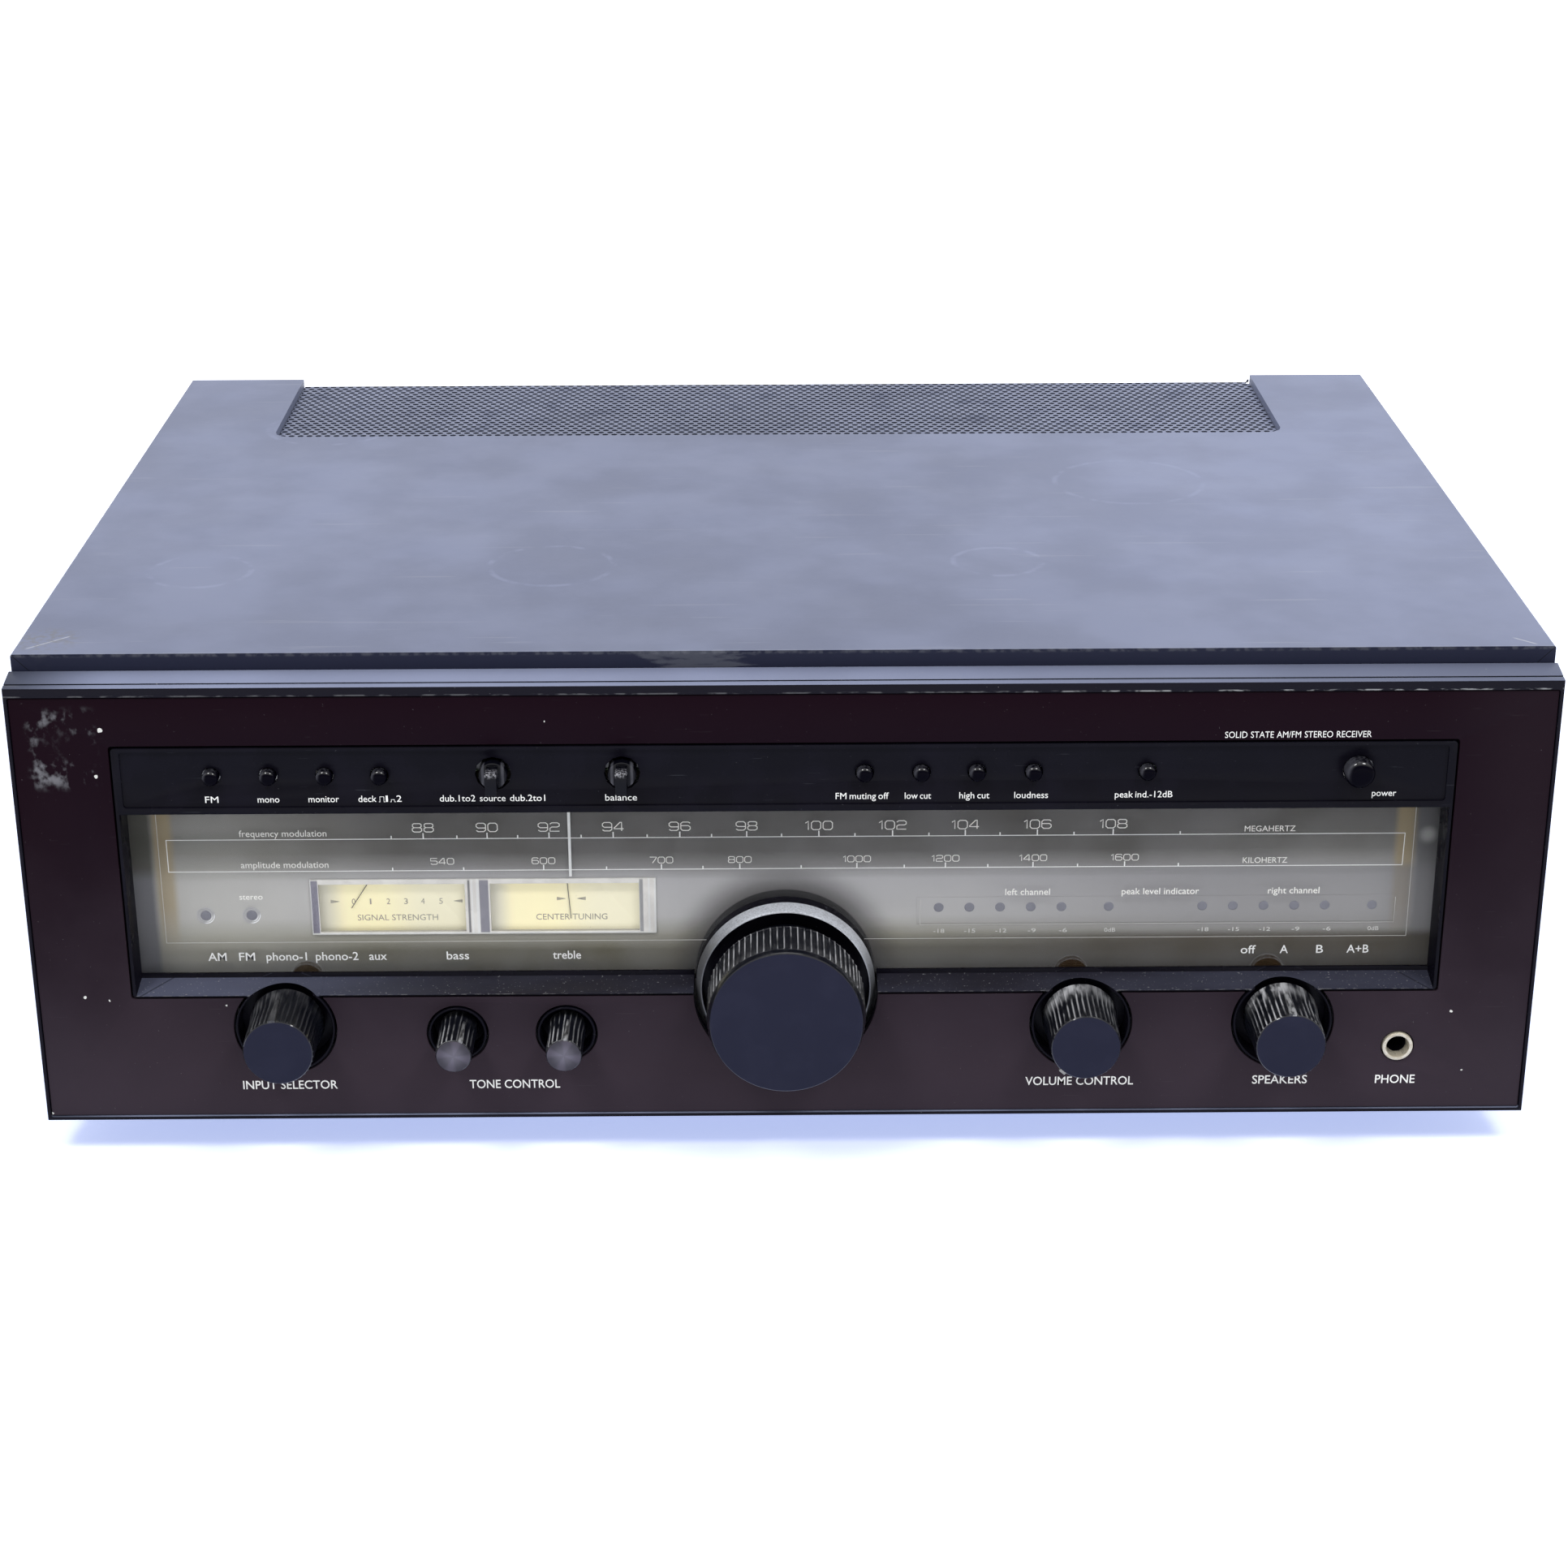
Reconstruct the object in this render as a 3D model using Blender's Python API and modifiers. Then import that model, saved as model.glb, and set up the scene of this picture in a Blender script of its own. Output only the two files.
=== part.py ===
"""Stereo receiver: a Blender model of its pieces, in metres, +Z up.

Places count from the front panel: Y back from the panel's face, Z up from its bottom edge.
The empty named receiver carries every piece and sets the origin under the middle of the whole.
"""

import math

import bmesh
import bpy

# Clearances and cuts
GAP = 0.0003
SHAFT_CLEARANCE = 0.0003
CUT = 0.002
JOIN = 0.0006

# Front panel and its frame; a step across is a 485th of its width, and a step up a 151.5th of its height
FRONT_WIDTH = 0.485
ACROSS = FRONT_WIDTH / 485
FRONT_HEIGHT = 0.1515
UP = FRONT_HEIGHT / 151.5
FRAME_DEPTH = 0.0108
FRAME_SIDE_BORDER = 0.0011
FRAME_BOTTOM_BORDER = 0.0013
FRAME_TOP_BORDER = 0.0032
LEDGE_RISE = 0.0019
LEDGE_GROOVE_AT = 0.0035
LEDGE_GROOVE_WIDTH = 0.0006
LEDGE_GROOVE_DEPTH = 0.0005
FRAME_FLANGE = 0.0045
FRAME_CORNER = 0.0008

# Front plate
PLATE_RECESS = 0.0005
PLATE_THICKNESS = 0.002

# Cabinet sleeve; a step back is a 340.9th of its depth
CABINET_INSET = 0.00085
CABINET_WIDTH = FRONT_WIDTH - 2 * CABINET_INSET
CABINET_ABOVE_PANEL = 0.0073
CABINET_HEIGHT = FRONT_HEIGHT + CABINET_ABOVE_PANEL
CABINET_REAR = 0.3409
BACK = CABINET_REAR / 340.9
CABINET_WALL = 0.0015
CABINET_EDGE = 0.0007
CABINET_LIP = 0.008
CABINET_LIP_DEPTH = 0.0015

# Vent grille in its notch
VENT_HALF_WIDTH = 195.5 * ACROSS
VENT_DEPTH = 0.0856
VENT_FRONT = CABINET_REAR - VENT_DEPTH
VENT_CORNER = 0.0065
VENT_SUNK = 0.003
VENT_THICKNESS = 0.0012
VENT_RIM = 0.0015
VENT_BAR = 0.009
VENT_OPENINGS_ACROSS = 12
VENT_OPENINGS_DEEP = 3

# Chassis
SHEET = 0.0012
BASE_FRONT = 0.0135
BASE_HEIGHT = 0.0015
SUB_FRONT_AT = 0.024
SUB_FRONT_TOP = 150 * UP
REAR_RECESS = 0.014
REAR_PANEL_AT = CABINET_REAR - REAR_RECESS
TERMINALS_PROUD = 0.0032

# Feet
FOOT_HEIGHT = 0.0132
FOOT_RADIUS = 0.016
FOOT_TOP_RADIUS = 0.014
FOOT_EDGE = 0.002
FOOT_X = 195 * ACROSS
FOOT_FRONT_Y = 55 * BACK
FOOT_REAR_Y = 290 * BACK

# Window, bezel and button strip
WINDOW_HALF_WIDTH = 211.5 * ACROSS
WINDOW_BOTTOM = 44 * UP
WINDOW_TOP = 131.85 * UP
WINDOW_CORNER = 0.001
BEZEL_GAP = 0.0007
BEZEL_FACE = 0.0003
BEZEL_RIM = 0.001
BEZEL_BACK_HALF_WIDTH = 214.5 * ACROSS
BEZEL_BACK_TOP = 134 * UP
BEZEL_BACK_BOTTOM = 42.5 * UP
BEZEL_LOWER_HALF_WIDTH = 184 * ACROSS
BEZEL_BELOW_WELLS = 0.00236
BEZEL_PANEL = 0.0022
STRIP_TOP_RIM = 0.0012
STRIP_BOTTOM = 111 * UP
STRIP_SIDE_RIM = 0.0025
STRIP_RECESS = 0.001
STRIP_BAR = 0.0022
STRIP_POCKET_WALL = 0.0025
SLOPE_RISE = 0.00175
SLOPE_EDGE = 0.0003
SLOPE_STEP = 0.0015
SLOPE_LIP = 0.0009
GLASS_FRONT = 0.0115
GLASS_THICKNESS = 0.0025
GLASS_OVERLAP = 0.002
BEZEL_REAR = 0.0159

# Dial
SCALE_THICKNESS = 0.0008
SCALE_TOP = 107.5 * UP
METER_FRAME_LEFT = -154 * ACROSS
METER_FRAME_RIGHT = -41.9 * ACROSS
METER_FRAME_BOTTOM = 59.4 * UP
METER_FRAME_TOP = 79 * UP
METER_FRAME_PROUD = 0.0007
METER_FACE_BOTTOM = 60.3 * UP
METER_FACE_TOP = 77.3 * UP
SIGNAL_FACE = (-151.3 * ACROSS, -103.9 * ACROSS)
TUNING_FACE = (-95.7 * ACROSS, -47.4 * ACROSS)
METER_FACE_GAP = 0.001
METER_DEPTH = 0.020
METER_MARGIN = 0.0022
METER_BELOW = 0.0018
METER_ABOVE_PIVOT = 0.005
NEEDLE_PIVOT_ABOVE = 11.7 * UP
NEEDLE_PIVOT_HEIGHT = METER_FACE_TOP + NEEDLE_PIVOT_ABOVE
NEEDLE_LENGTH = 24.8 * UP
NEEDLE_WIDTH = 0.0006
NEEDLE_THICKNESS = 0.0003
NEEDLE_HUB = 0.0018
NEEDLE_PIN = 0.0006
NEEDLE_PIN_LENGTH = 0.004
SIGNAL_NEEDLE_REST = math.radians(32)
TUNING_NEEDLE_REST = 0.0

# Peak lights
LED_BAR_LEFT = 43.7 * ACROSS
LED_BAR_RIGHT = 198 * ACROSS
LED_BAR_BOTTOM = 62.8 * UP
LED_BAR_TOP = 70.5 * UP
LED_BAR_FRONT = 0.0151
LED_BAR_REAR = 0.0186
LED_RADIUS = 0.00155
LED_PROUD = 0.0006
LED_HEIGHT = 67.7 * UP
LED_FIRST = (50 * ACROSS, 135.9 * ACROSS)
LED_STEP = 10 * ACROSS
LED_LAST_STEP = 15.4 * ACROSS
LEDS_IN_ROW = 5

# Pointer, its rail and the cord drive
POINTER_REST_X = -69.4 * ACROSS
POINTER_END_X = 126.5 * ACROSS
POINTER_WIDTH = 0.0009
POINTER_THICKNESS = 0.0005
POINTER_BOTTOM = 80 * UP
POINTER_BEFORE_SCALE = 0.0007
POINTER_HOOK = 0.0014
RAIL_RADIUS = 0.0015
RAIL_AT = 0.0205
RAIL_OVERHANG = 0.0105
RAIL_EAR = 0.0012
RAIL_EAR_HALF_HEIGHT = 0.0024
CARRIAGE_HALF_LENGTH = 0.0045
CARRIAGE_WALL = 0.001
CORD_RADIUS = 0.00035
CORD_CLEARANCE = 0.00045
CORD_GUIDE = 0.0011
CORD_AT = 0.020
CORD_SHIFT = 0.0016
CORD_START_AT = 0.0193
PULLEY_X = 150 * ACROSS
PULLEY_HEIGHT = 111 * UP
PULLEY_CORD_RADIUS = 0.0045
PULLEY_FLANGE = 0.0016
PULLEY_HALF_WIDTH = 0.0016
PULLEY_BORE = 0.0016
DRUM_ABOVE_DRIVE = 0.0066
DRUM_FLANGE = 0.0016
DRUM_FRONT = 0.018
DRUM_REAR = 0.0228
DRUM_FLANGE_THICKNESS = 0.0007
DRUM_SHAFT = 0.003
DRUM_HEIGHT = 78.2 * UP
PINION_RADIUS = 0.008
PINION_FRONT = 0.0335
PINION_THICKNESS = 0.0035
DRIVE_CORD_RADIUS = 0.005
DRIVE_HALF_WIDTH = 0.0022
DRIVE_FLANGE = 0.0012
DRIVE_FLANGE_THICKNESS = 0.0006
TUNING_SHAFT = 0.003
TUNING_SHAFT_REAR = 0.0432
FLYWHEEL_RADIUS = 0.020
FLYWHEEL_FRONT = 0.028
FLYWHEEL_THICKNESS = 0.012
FLYWHEEL_WEB = 0.004
FLYWHEEL_RIM = 0.005

# Tuning capacitor
GANG_GEAR_RATIO = 3.0332
GANG_GEAR_THICKNESS = 0.0025
GANG_FRONT = 0.0415
GANG_LENGTH = 0.055
GANG_HALF_WIDTH = 0.022
GANG_FLOOR_BELOW = 0.021
GANG_WALL_ABOVE = 0.006
GANG_WALL = 0.0015
GANG_SHAFT = 0.003
GANG_LEG = 0.006
ROTOR_RADIUS = 0.0175
ROTOR_BLADE = 0.0012
ROTOR_BLADES = 5
STATOR_BLADE = 0.001
STATOR_REACH = 0.013
STATOR_HALF_HEIGHT = 0.010

# Tuning knob and its collar
TUNING_HEIGHT = 45.1 * UP
TUNING_HOLE = 0.02983
TUNING_PROUD = 0.0219
TUNING_RADIUS = 0.0254
TUNING_BACK = -0.0035
TUNING_BAND = 0.0155
TUNING_FACE_RADIUS = 0.0245
TUNING_FLUTES = 36
TUNING_FLUTE_DEPTH = 0.0006
TUNING_NECK = 0.0215
TUNING_NECK_BACK = 0.0062
COLLAR_RADIUS = 0.0291
COLLAR_FRONT = 0.0025
COLLAR_BEVEL = 0.0015
COLLAR_BEVEL_LENGTH = 0.004
COLLAR_WALL = 0.0022
COLLAR_FLOOR_AT = 0.0092
COLLAR_BUSH = 0.0062

# Knobs in wells
MEDIUM_HEIGHT = 33.1 * UP
MEDIUM_HOLE = 0.01674
MEDIUM_RADIUS = 0.0122
MEDIUM_GRIP = 0.0114
MEDIUM_FACE_RADIUS = 0.011
MEDIUM_PROUD = 0.017
MEDIUM_FLUTES = 20
MEDIUM_FLUTE_DEPTH = 0.0004
MEDIUM_BAND = 0.012
INPUT_X = -162.5 * ACROSS
VOLUME_X = 96 * ACROSS
SPEAKERS_X = 161.7 * ACROSS
SMALL_HEIGHT = 30.7 * UP
SMALL_HOLE = 0.0101
SMALL_RADIUS = 0.0063
SMALL_GRIP = 0.0059
SMALL_FACE_RADIUS = 0.00555
SMALL_PROUD = 0.0155
SMALL_FLUTES = 12
SMALL_FLUTE_DEPTH = 0.0003
SMALL_BAND = 0.0115
BASS_X = -106.7 * ACROSS
TREBLE_X = -71.3 * ACROSS
KNOB_BACK = 0.0045
KNOB_CHAMFER = 0.0006
WELL_GAP = 0.0007
WELL_WALL = 0.0008
WELL_FLOOR_AT = 0.0092
WELL_REAR = 0.0112
KNOB_SHAFT = 0.003
KNOB_SHAFT_REAR = 0.036
RIDGE_WIDTH = 0.0014
RIDGE_PROUD = 0.0004

# Strip buttons and finger knobs
BUTTON_HEIGHT = 121.3 * UP
BUTTON_RADIUS = 0.00255
BUTTON_HOLE = 0.003
BUTTON_PROUD = 0.0017
BUTTON_BACK = 0.009
BUTTON_STEM = 0.0015
BUTTON_STEM_REAR = 0.034
BUTTON_TRAVEL = 0.003
BUTTON_EDGE = 0.0004
BUTTON_PLACES = {
    "muting_button": -180.2 * ACROSS,
    "mono_button": -162.3 * ACROSS,
    "monitor_one_button": -144.6 * ACROSS,
    "monitor_two_button": -127.4 * ACROSS,
    "fm_muting_button": 25 * ACROSS,
    "low_cut_button": 42.9 * ACROSS,
    "high_cut_button": 60.35 * ACROSS,
    "loudness_button": 78.2 * ACROSS,
    "peak_range_button": 114 * ACROSS,
}
POWER_X = 180.4 * ACROSS
POWER_RADIUS = 0.00463
POWER_HOLE = 0.005
POWER_PROUD = 0.004
FINGER_HEIGHT = 121.7 * UP
FINGER_PLACES = {"dubbing_knob": -91.7 * ACROSS, "balance_knob": -51.2 * ACROSS}
FINGER_HOLE = 0.0057
FINGER_RADIUS = 0.00445
FINGER_BAR = 0.0038
FINGER_PROUD = 0.0085
FINGER_DRUM_PROUD = 0.0008
FINGER_BACK = 0.009
FINGER_SHAFT = 0.0025

# Headphone socket
JACK_X = 199.8 * ACROSS
JACK_HEIGHT = 24.1 * UP
JACK_HOLE = 0.0054
JACK_BORE = 0.0032
JACK_BORE_DEPTH = 0.032
JACK_PROUD = 0.0002
JACK_COUNTERSINK = 0.0009
JACK_HALF_BODY = 0.0075
JACK_REAR = 0.038

# Controls and switches behind the sub-front
CONTROL_CAN = 0.0115
CONTROL_FRONT = 0.0256
CONTROL_REAR = 0.044
CONTROL_BOARD_REAR = 0.0456
CONTROL_BOARD_MARGIN = 0.0135
CONTROL_BOARD_BOTTOM = 16 * UP
CONTROL_BOARD_TOP = 42 * UP
SWITCH_BANK_HALF_HEIGHT = 0.0065
SWITCH_BANK_MARGIN = 0.008
SWITCH_BANK_REAR = 0.044
STEM_CLEARANCE = 0.0004

# Inside the case
TRANSFORMER_X = (-205 * ACROSS, -115 * ACROSS)
TRANSFORMER_Y = (100 * BACK, 172 * BACK)
TRANSFORMER_HEIGHT = 82 * UP
TRANSFORMER_COIL_Y = (90 * BACK, 182 * BACK)
TRANSFORMER_COIL_INSET = 0.014
TRANSFORMER_FOOT = 0.008
TRANSFORMER_FOOT_THICKNESS = 0.0025
BOARD_X = (-75 * ACROSS, 225 * ACROSS)
BOARD_Y = (110 * BACK, 235 * BACK)
BOARD_BOTTOM = 0.012
BOARD_THICKNESS = 0.0016
BOARD_POST = 0.003
BOARD_POST_INSET = 0.008
SINK_X = (-60 * ACROSS, 190 * ACROSS)
SINK_Y = (255 * BACK, 300 * BACK)
SINK_HEIGHT = 120 * UP
SINK_BASE = 0.006
SINK_FINS = 14
SINK_FIN = 0.003
CAPACITOR_X = (20 * ACROSS, 65 * ACROSS)
CAPACITOR_Y = 150 * BACK
CAPACITOR_RADIUS = 0.0175
CAPACITOR_HEIGHT = 62 * UP
CAPACITOR_EDGE = 0.0015

# Rear terminals
TERMINAL_PLATE = 0.002
PHONO_X = (30 * ACROSS, 140 * ACROSS)
PHONO_HEIGHTS = (60 * UP, 84 * UP)
PHONO_MARGIN = 0.011
PHONO_RADIUS = 0.0042
PHONO_STEP = 18 * ACROSS
PHONO_COLUMNS = 6
PHONO_BORE = 0.0016
SPEAKER_X = (-150 * ACROSS, -50 * ACROSS)
SPEAKER_BOTTOM = 40 * UP
SPEAKER_TOP = 72 * UP
SPEAKER_DEPTH = 0.012
SPEAKER_TABS = 4
SPEAKER_TAB = 0.010
SPEAKER_TAB_PROUD = 0.0035
SPEAKER_TAB_HEIGHT = 0.008
ANTENNA_X = (160 * ACROSS, 220 * ACROSS)
ANTENNA_BOTTOM = 86 * UP
ANTENNA_TOP = 104 * UP
ANTENNA_DEPTH = 0.006
ANTENNA_SCREWS = 4
ANTENNA_SCREW = 0.0035
ANTENNA_SCREW_PROUD = 0.004
INLET_X = (-215 * ACROSS, -183 * ACROSS)
INLET_BOTTOM = 30 * UP
INLET_TOP = 54 * UP
INLET_DEPTH = 0.013
INLET_WALL = 0.003
INLET_POCKET = 0.0105
INLET_PIN = 0.0012
INLET_PIN_LENGTH = 0.008
INLET_PIN_APART = 0.008
ROD_HINGE_X = 60 * ACROSS
ROD_LENGTH = 0.150
ROD_HEIGHT = 128 * UP
ROD_RADIUS = 0.005
ROD_ARM_HALF_HEIGHT = 0.006
ROD_ARM_RADIUS = 0.005
ROD_BEHIND_PANEL = 0.0096
ROD_AXIS_AT = REAR_PANEL_AT + ROD_BEHIND_PANEL
ROD_BORE = 0.0018
ROD_PIN = 0.0015
ROD_BRACKET_HALF_WIDTH = 0.006
ROD_BRACKET_THICKNESS = 0.0015

# The whole
TOTAL_DEPTH = TUNING_PROUD + CABINET_REAR + TERMINALS_PROUD
PANEL_Y = TUNING_PROUD - TOTAL_DEPTH / 2
ROUND_SIDES = 24
SMALL_SIDES = 12

PARTS = "stereo_receiver"
TOOLS = "cutters"

# Colour, roughness, metallic
PAINTED_SLATE = ((0.20, 0.23, 0.30), 0.55, 0.0)
NAVY_LACQUER = ((0.02, 0.025, 0.045), 0.35, 0.0)
DARK_PLATE = ((0.035, 0.026, 0.032), 0.45, 0.3)
BLACK_PLASTIC = ((0.012, 0.012, 0.016), 0.30, 0.0)
CLEAR_SHEET = ((0.75, 0.78, 0.80), 0.05, 0.0)
DIAL_GREY = ((0.28, 0.28, 0.30), 0.60, 0.0)
METER_CREAM = ((0.80, 0.74, 0.45), 0.60, 0.0)
NEEDLE_RED = ((0.45, 0.05, 0.03), 0.50, 0.0)
WHITE_PLASTIC = ((0.80, 0.80, 0.78), 0.45, 0.0)
WORN_ALUMINIUM = ((0.55, 0.56, 0.60), 0.35, 1.0)
STEEL = ((0.45, 0.45, 0.46), 0.40, 1.0)
PLATED_SHEET = ((0.55, 0.53, 0.45), 0.45, 1.0)
CORD_GREEN = ((0.10, 0.16, 0.10), 0.80, 0.0)
BOARD_GREEN = ((0.05, 0.16, 0.08), 0.55, 0.0)
RUBBER_BLACK = ((0.02, 0.02, 0.02), 0.85, 0.0)


def material(name, look):
    colour, roughness, metallic = look
    made = bpy.data.materials.new(name)
    made.use_nodes = True
    shader = made.node_tree.nodes["Principled BSDF"]
    shader.inputs["Base Color"].default_value = (*colour, 1)
    shader.inputs["Roughness"].default_value = roughness
    shader.inputs["Metallic"].default_value = metallic
    return made


def empty_scene():
    for thing in list(bpy.data.objects):
        bpy.data.objects.remove(thing, do_unlink=True)
    for name in (PARTS, TOOLS):
        collection = bpy.data.collections.new(name)
        bpy.context.scene.collection.children.link(collection)
    receiver = bpy.data.objects.new("receiver", None)
    receiver.location = (0, PANEL_Y, FOOT_HEIGHT)
    bpy.context.scene.collection.objects.link(receiver)


def place(name, mesh, at=(0, 0, 0), look=None):
    """An object of this mesh, carried by the receiver: a piece where it has a look, else a tool."""
    thing = bpy.data.objects.new(name, mesh)
    thing.parent = bpy.data.objects["receiver"]
    thing.location = at
    if look:
        bpy.data.collections[PARTS].objects.link(thing)
        mesh.materials.append(material(name, look))
    else:
        bpy.data.collections[TOOLS].objects.link(thing)
        thing.hide_render = True
        thing.display_type = "WIRE"
    return thing


def mesh_from(name, form):
    mesh = bpy.data.meshes.new(name)
    form.to_mesh(mesh)
    form.free()
    return mesh


def box(name, x, y, z, at=(0, 0, 0), look=None, edge=0, axis=1):
    """A box between pairs of places, its edges along one axis rounded where edge is given."""
    form = bmesh.new()
    made = bmesh.ops.create_cube(form, size=1)
    for vert in made["verts"]:
        vert.co.x = x[0] if vert.co.x < 0 else x[1]
        vert.co.y = y[0] if vert.co.y < 0 else y[1]
        vert.co.z = z[0] if vert.co.z < 0 else z[1]
    if edge:
        along = [e for e in form.edges if abs((e.verts[0].co - e.verts[1].co)[axis]) > e.calc_length() / 2]
        bmesh.ops.bevel(form, geom=along, offset=edge, segments=3, affect="EDGES", profile=0.5)
    return place(name, mesh_from(name, form), at, look)


def rod(name, radius, y, centre=(0, 0), look=None, sides=SMALL_SIDES, front_radius=None):
    """A cylinder, or a cone where front_radius is given, along Y. Its origin is on its axis."""
    form = bmesh.new()
    bmesh.ops.create_cone(
        form, cap_ends=True, segments=sides, radius1=radius,
        radius2=radius if front_radius is None else front_radius, depth=y[1] - y[0],
    )
    for vert in form.verts:
        vert.co = (vert.co.x, (y[0] + y[1]) / 2 - vert.co.z, vert.co.y)
    mesh = mesh_from(name, form)
    return place(name, mesh, (centre[0], 0, centre[1]), look)


def fluted(name, radius, depth, flutes, y, centre, look=None):
    """A grip with grooves along it: every other edge of a many-sided cylinder lies deeper."""
    form = bmesh.new()
    bmesh.ops.create_cone(
        form, cap_ends=True, segments=2 * flutes, radius1=radius, radius2=radius, depth=y[1] - y[0]
    )
    step = math.pi / flutes
    for vert in form.verts:
        turn = round(math.atan2(vert.co.y, vert.co.x) / step)
        share = 1 - depth / radius if turn % 2 else 1
        vert.co = (vert.co.x * share, (y[0] + y[1]) / 2 - vert.co.z, vert.co.y * share)
    mesh = mesh_from(name, form)
    return place(name, mesh, (centre[0], 0, centre[1]), look)


def turned(name, profile, centre=(0, 0), look=None, sides=ROUND_SIDES, ring=False):
    """A turned piece with its axis along Y: pairs of radius and place, from the front backwards."""
    mesh = outline_mesh(name, [(radius, 0, -y) for radius, y in profile], ring)
    thing = place(name, mesh, (centre[0], 0, centre[1]), look)
    thing.rotation_euler.x = math.pi / 2
    spin(thing, sides)
    return thing


def standing(name, profile, at, look, sides=ROUND_SIDES):
    """A turned piece that stands on its base: pairs of radius and height, from the top down."""
    mesh = outline_mesh(name, [(radius, 0, height) for radius, height in profile], False)
    thing = place(name, mesh, at, look)
    spin(thing, sides)
    return thing


def outline_mesh(name, points, ring):
    mesh = bpy.data.meshes.new(name)
    edges = [(n, n + 1) for n in range(len(points) - 1)]
    if ring:
        edges.append((len(points) - 1, 0))
    mesh.from_pydata(points, edges, [])
    return mesh


def spin(thing, sides):
    screw = thing.modifiers.new("spin", "SCREW")
    screw.steps = sides
    screw.render_steps = sides
    screw.use_merge_vertices = True
    screw.merge_threshold = 0.00001
    screw.use_smooth_shade = True


def slab(name, outline, x, look=None):
    """A prism along X whose section is a list of pairs of Y and Z."""
    form = bmesh.new()
    verts = [form.verts.new((x[0], y, z)) for y, z in outline]
    face = form.faces.new(verts)
    pushed = bmesh.ops.extrude_face_region(form, geom=[face])
    moved = [part for part in pushed["geom"] if isinstance(part, bmesh.types.BMVert)]
    bmesh.ops.translate(form, verts=moved, vec=(x[1] - x[0], 0, 0))
    bmesh.ops.recalc_face_normals(form, faces=form.faces)
    return place(name, mesh_from(name, form), look=look)


def combine(target, operation, tools):
    """Cuts the tools out of the target, or joins them to it, in one Boolean."""
    group = bpy.data.collections.new(f"{target.name}_{operation.lower()}")
    bpy.data.collections[TOOLS].children.link(group)
    for tool in tools:
        for collection in list(tool.users_collection):
            collection.objects.unlink(tool)
        group.objects.link(tool)
        tool.hide_render = True
        tool.display_type = "WIRE"
    change = target.modifiers.new(operation.lower(), "BOOLEAN")
    change.operation = operation
    change.operand_type = "COLLECTION"
    change.collection = group
    change.solver = "EXACT"
    return target


def cut(target, *tools):
    return combine(target, "DIFFERENCE", tools)


def join(target, *tools):
    return combine(target, "UNION", tools)


def span(middle, half):
    return (middle - half, middle + half)


FRAME_TOP_INSIDE = FRONT_HEIGHT - FRAME_TOP_BORDER
FRAME_HALF_INSIDE = FRONT_WIDTH / 2 - FRAME_SIDE_BORDER
PLATE_REAR = PLATE_RECESS + PLATE_THICKNESS
BEHIND_PLATE = PLATE_REAR + GAP
CABINET_FRONT = FRAME_DEPTH + GAP
CABINET_HALF_INSIDE = CABINET_WIDTH / 2 - CABINET_WALL
VENT_TOP = CABINET_HEIGHT - VENT_SUNK
VENT_BOTTOM = VENT_TOP - VENT_THICKNESS
BASE_TOP = BASE_HEIGHT + SHEET
ON_BASE = BASE_TOP + GAP
SUB_FRONT_REAR = SUB_FRONT_AT + SHEET
REAR_PANEL_REAR = REAR_PANEL_AT + SHEET
BEHIND_REAR = REAR_PANEL_REAR + GAP
REARMOST = CABINET_REAR + TERMINALS_PROUD

WINDOW_HALF_INSIDE = WINDOW_HALF_WIDTH - BEZEL_GAP - BEZEL_RIM
SLOPE_BOTTOM = WINDOW_BOTTOM + BEZEL_GAP + SLOPE_EDGE
LIP_TOP = SLOPE_BOTTOM + SLOPE_RISE + SLOPE_STEP
BEZEL_LOWER_BOTTOM = MEDIUM_HEIGHT - MEDIUM_HOLE - BEZEL_BELOW_WELLS
BAR_BOTTOM = STRIP_BOTTOM - STRIP_BAR
GLASS_REAR = GLASS_FRONT + GLASS_THICKNESS
GLASS_HALF_WIDTH = WINDOW_HALF_INSIDE + GLASS_OVERLAP
GLASS_BOTTOM = LIP_TOP - GLASS_OVERLAP
GLASS_TOP = BAR_BOTTOM + GLASS_OVERLAP
SCALE_FRONT = BEZEL_REAR + GAP
SCALE_REAR = SCALE_FRONT + SCALE_THICKNESS
METER_FRONT = SCALE_REAR + METER_FACE_GAP
STRIP_FACE = BEZEL_FACE + STRIP_RECESS
STRIP_PANEL_REAR = STRIP_FACE + BEZEL_PANEL

DRUM_CORD_RADIUS = DRUM_HEIGHT - TUNING_HEIGHT - DRUM_ABOVE_DRIVE
CORD_LIFT = CORD_RADIUS + CORD_CLEARANCE
SHAFT_HOLE = TUNING_SHAFT + 4 * SHAFT_CLEARANCE
KNOB_BORE_FRONT = -(TUNING_PROUD - TUNING_BAND / 2 + KNOB_CHAMFER)
PULLEYS = {"left_pulley": -PULLEY_X, "right_pulley": PULLEY_X}
RAIL_HALF_LENGTH = POINTER_END_X + RAIL_OVERHANG
GEAR_RADIUS = PINION_RADIUS * GANG_GEAR_RATIO
GANG_X = PINION_RADIUS + GEAR_RADIUS + GAP

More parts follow.
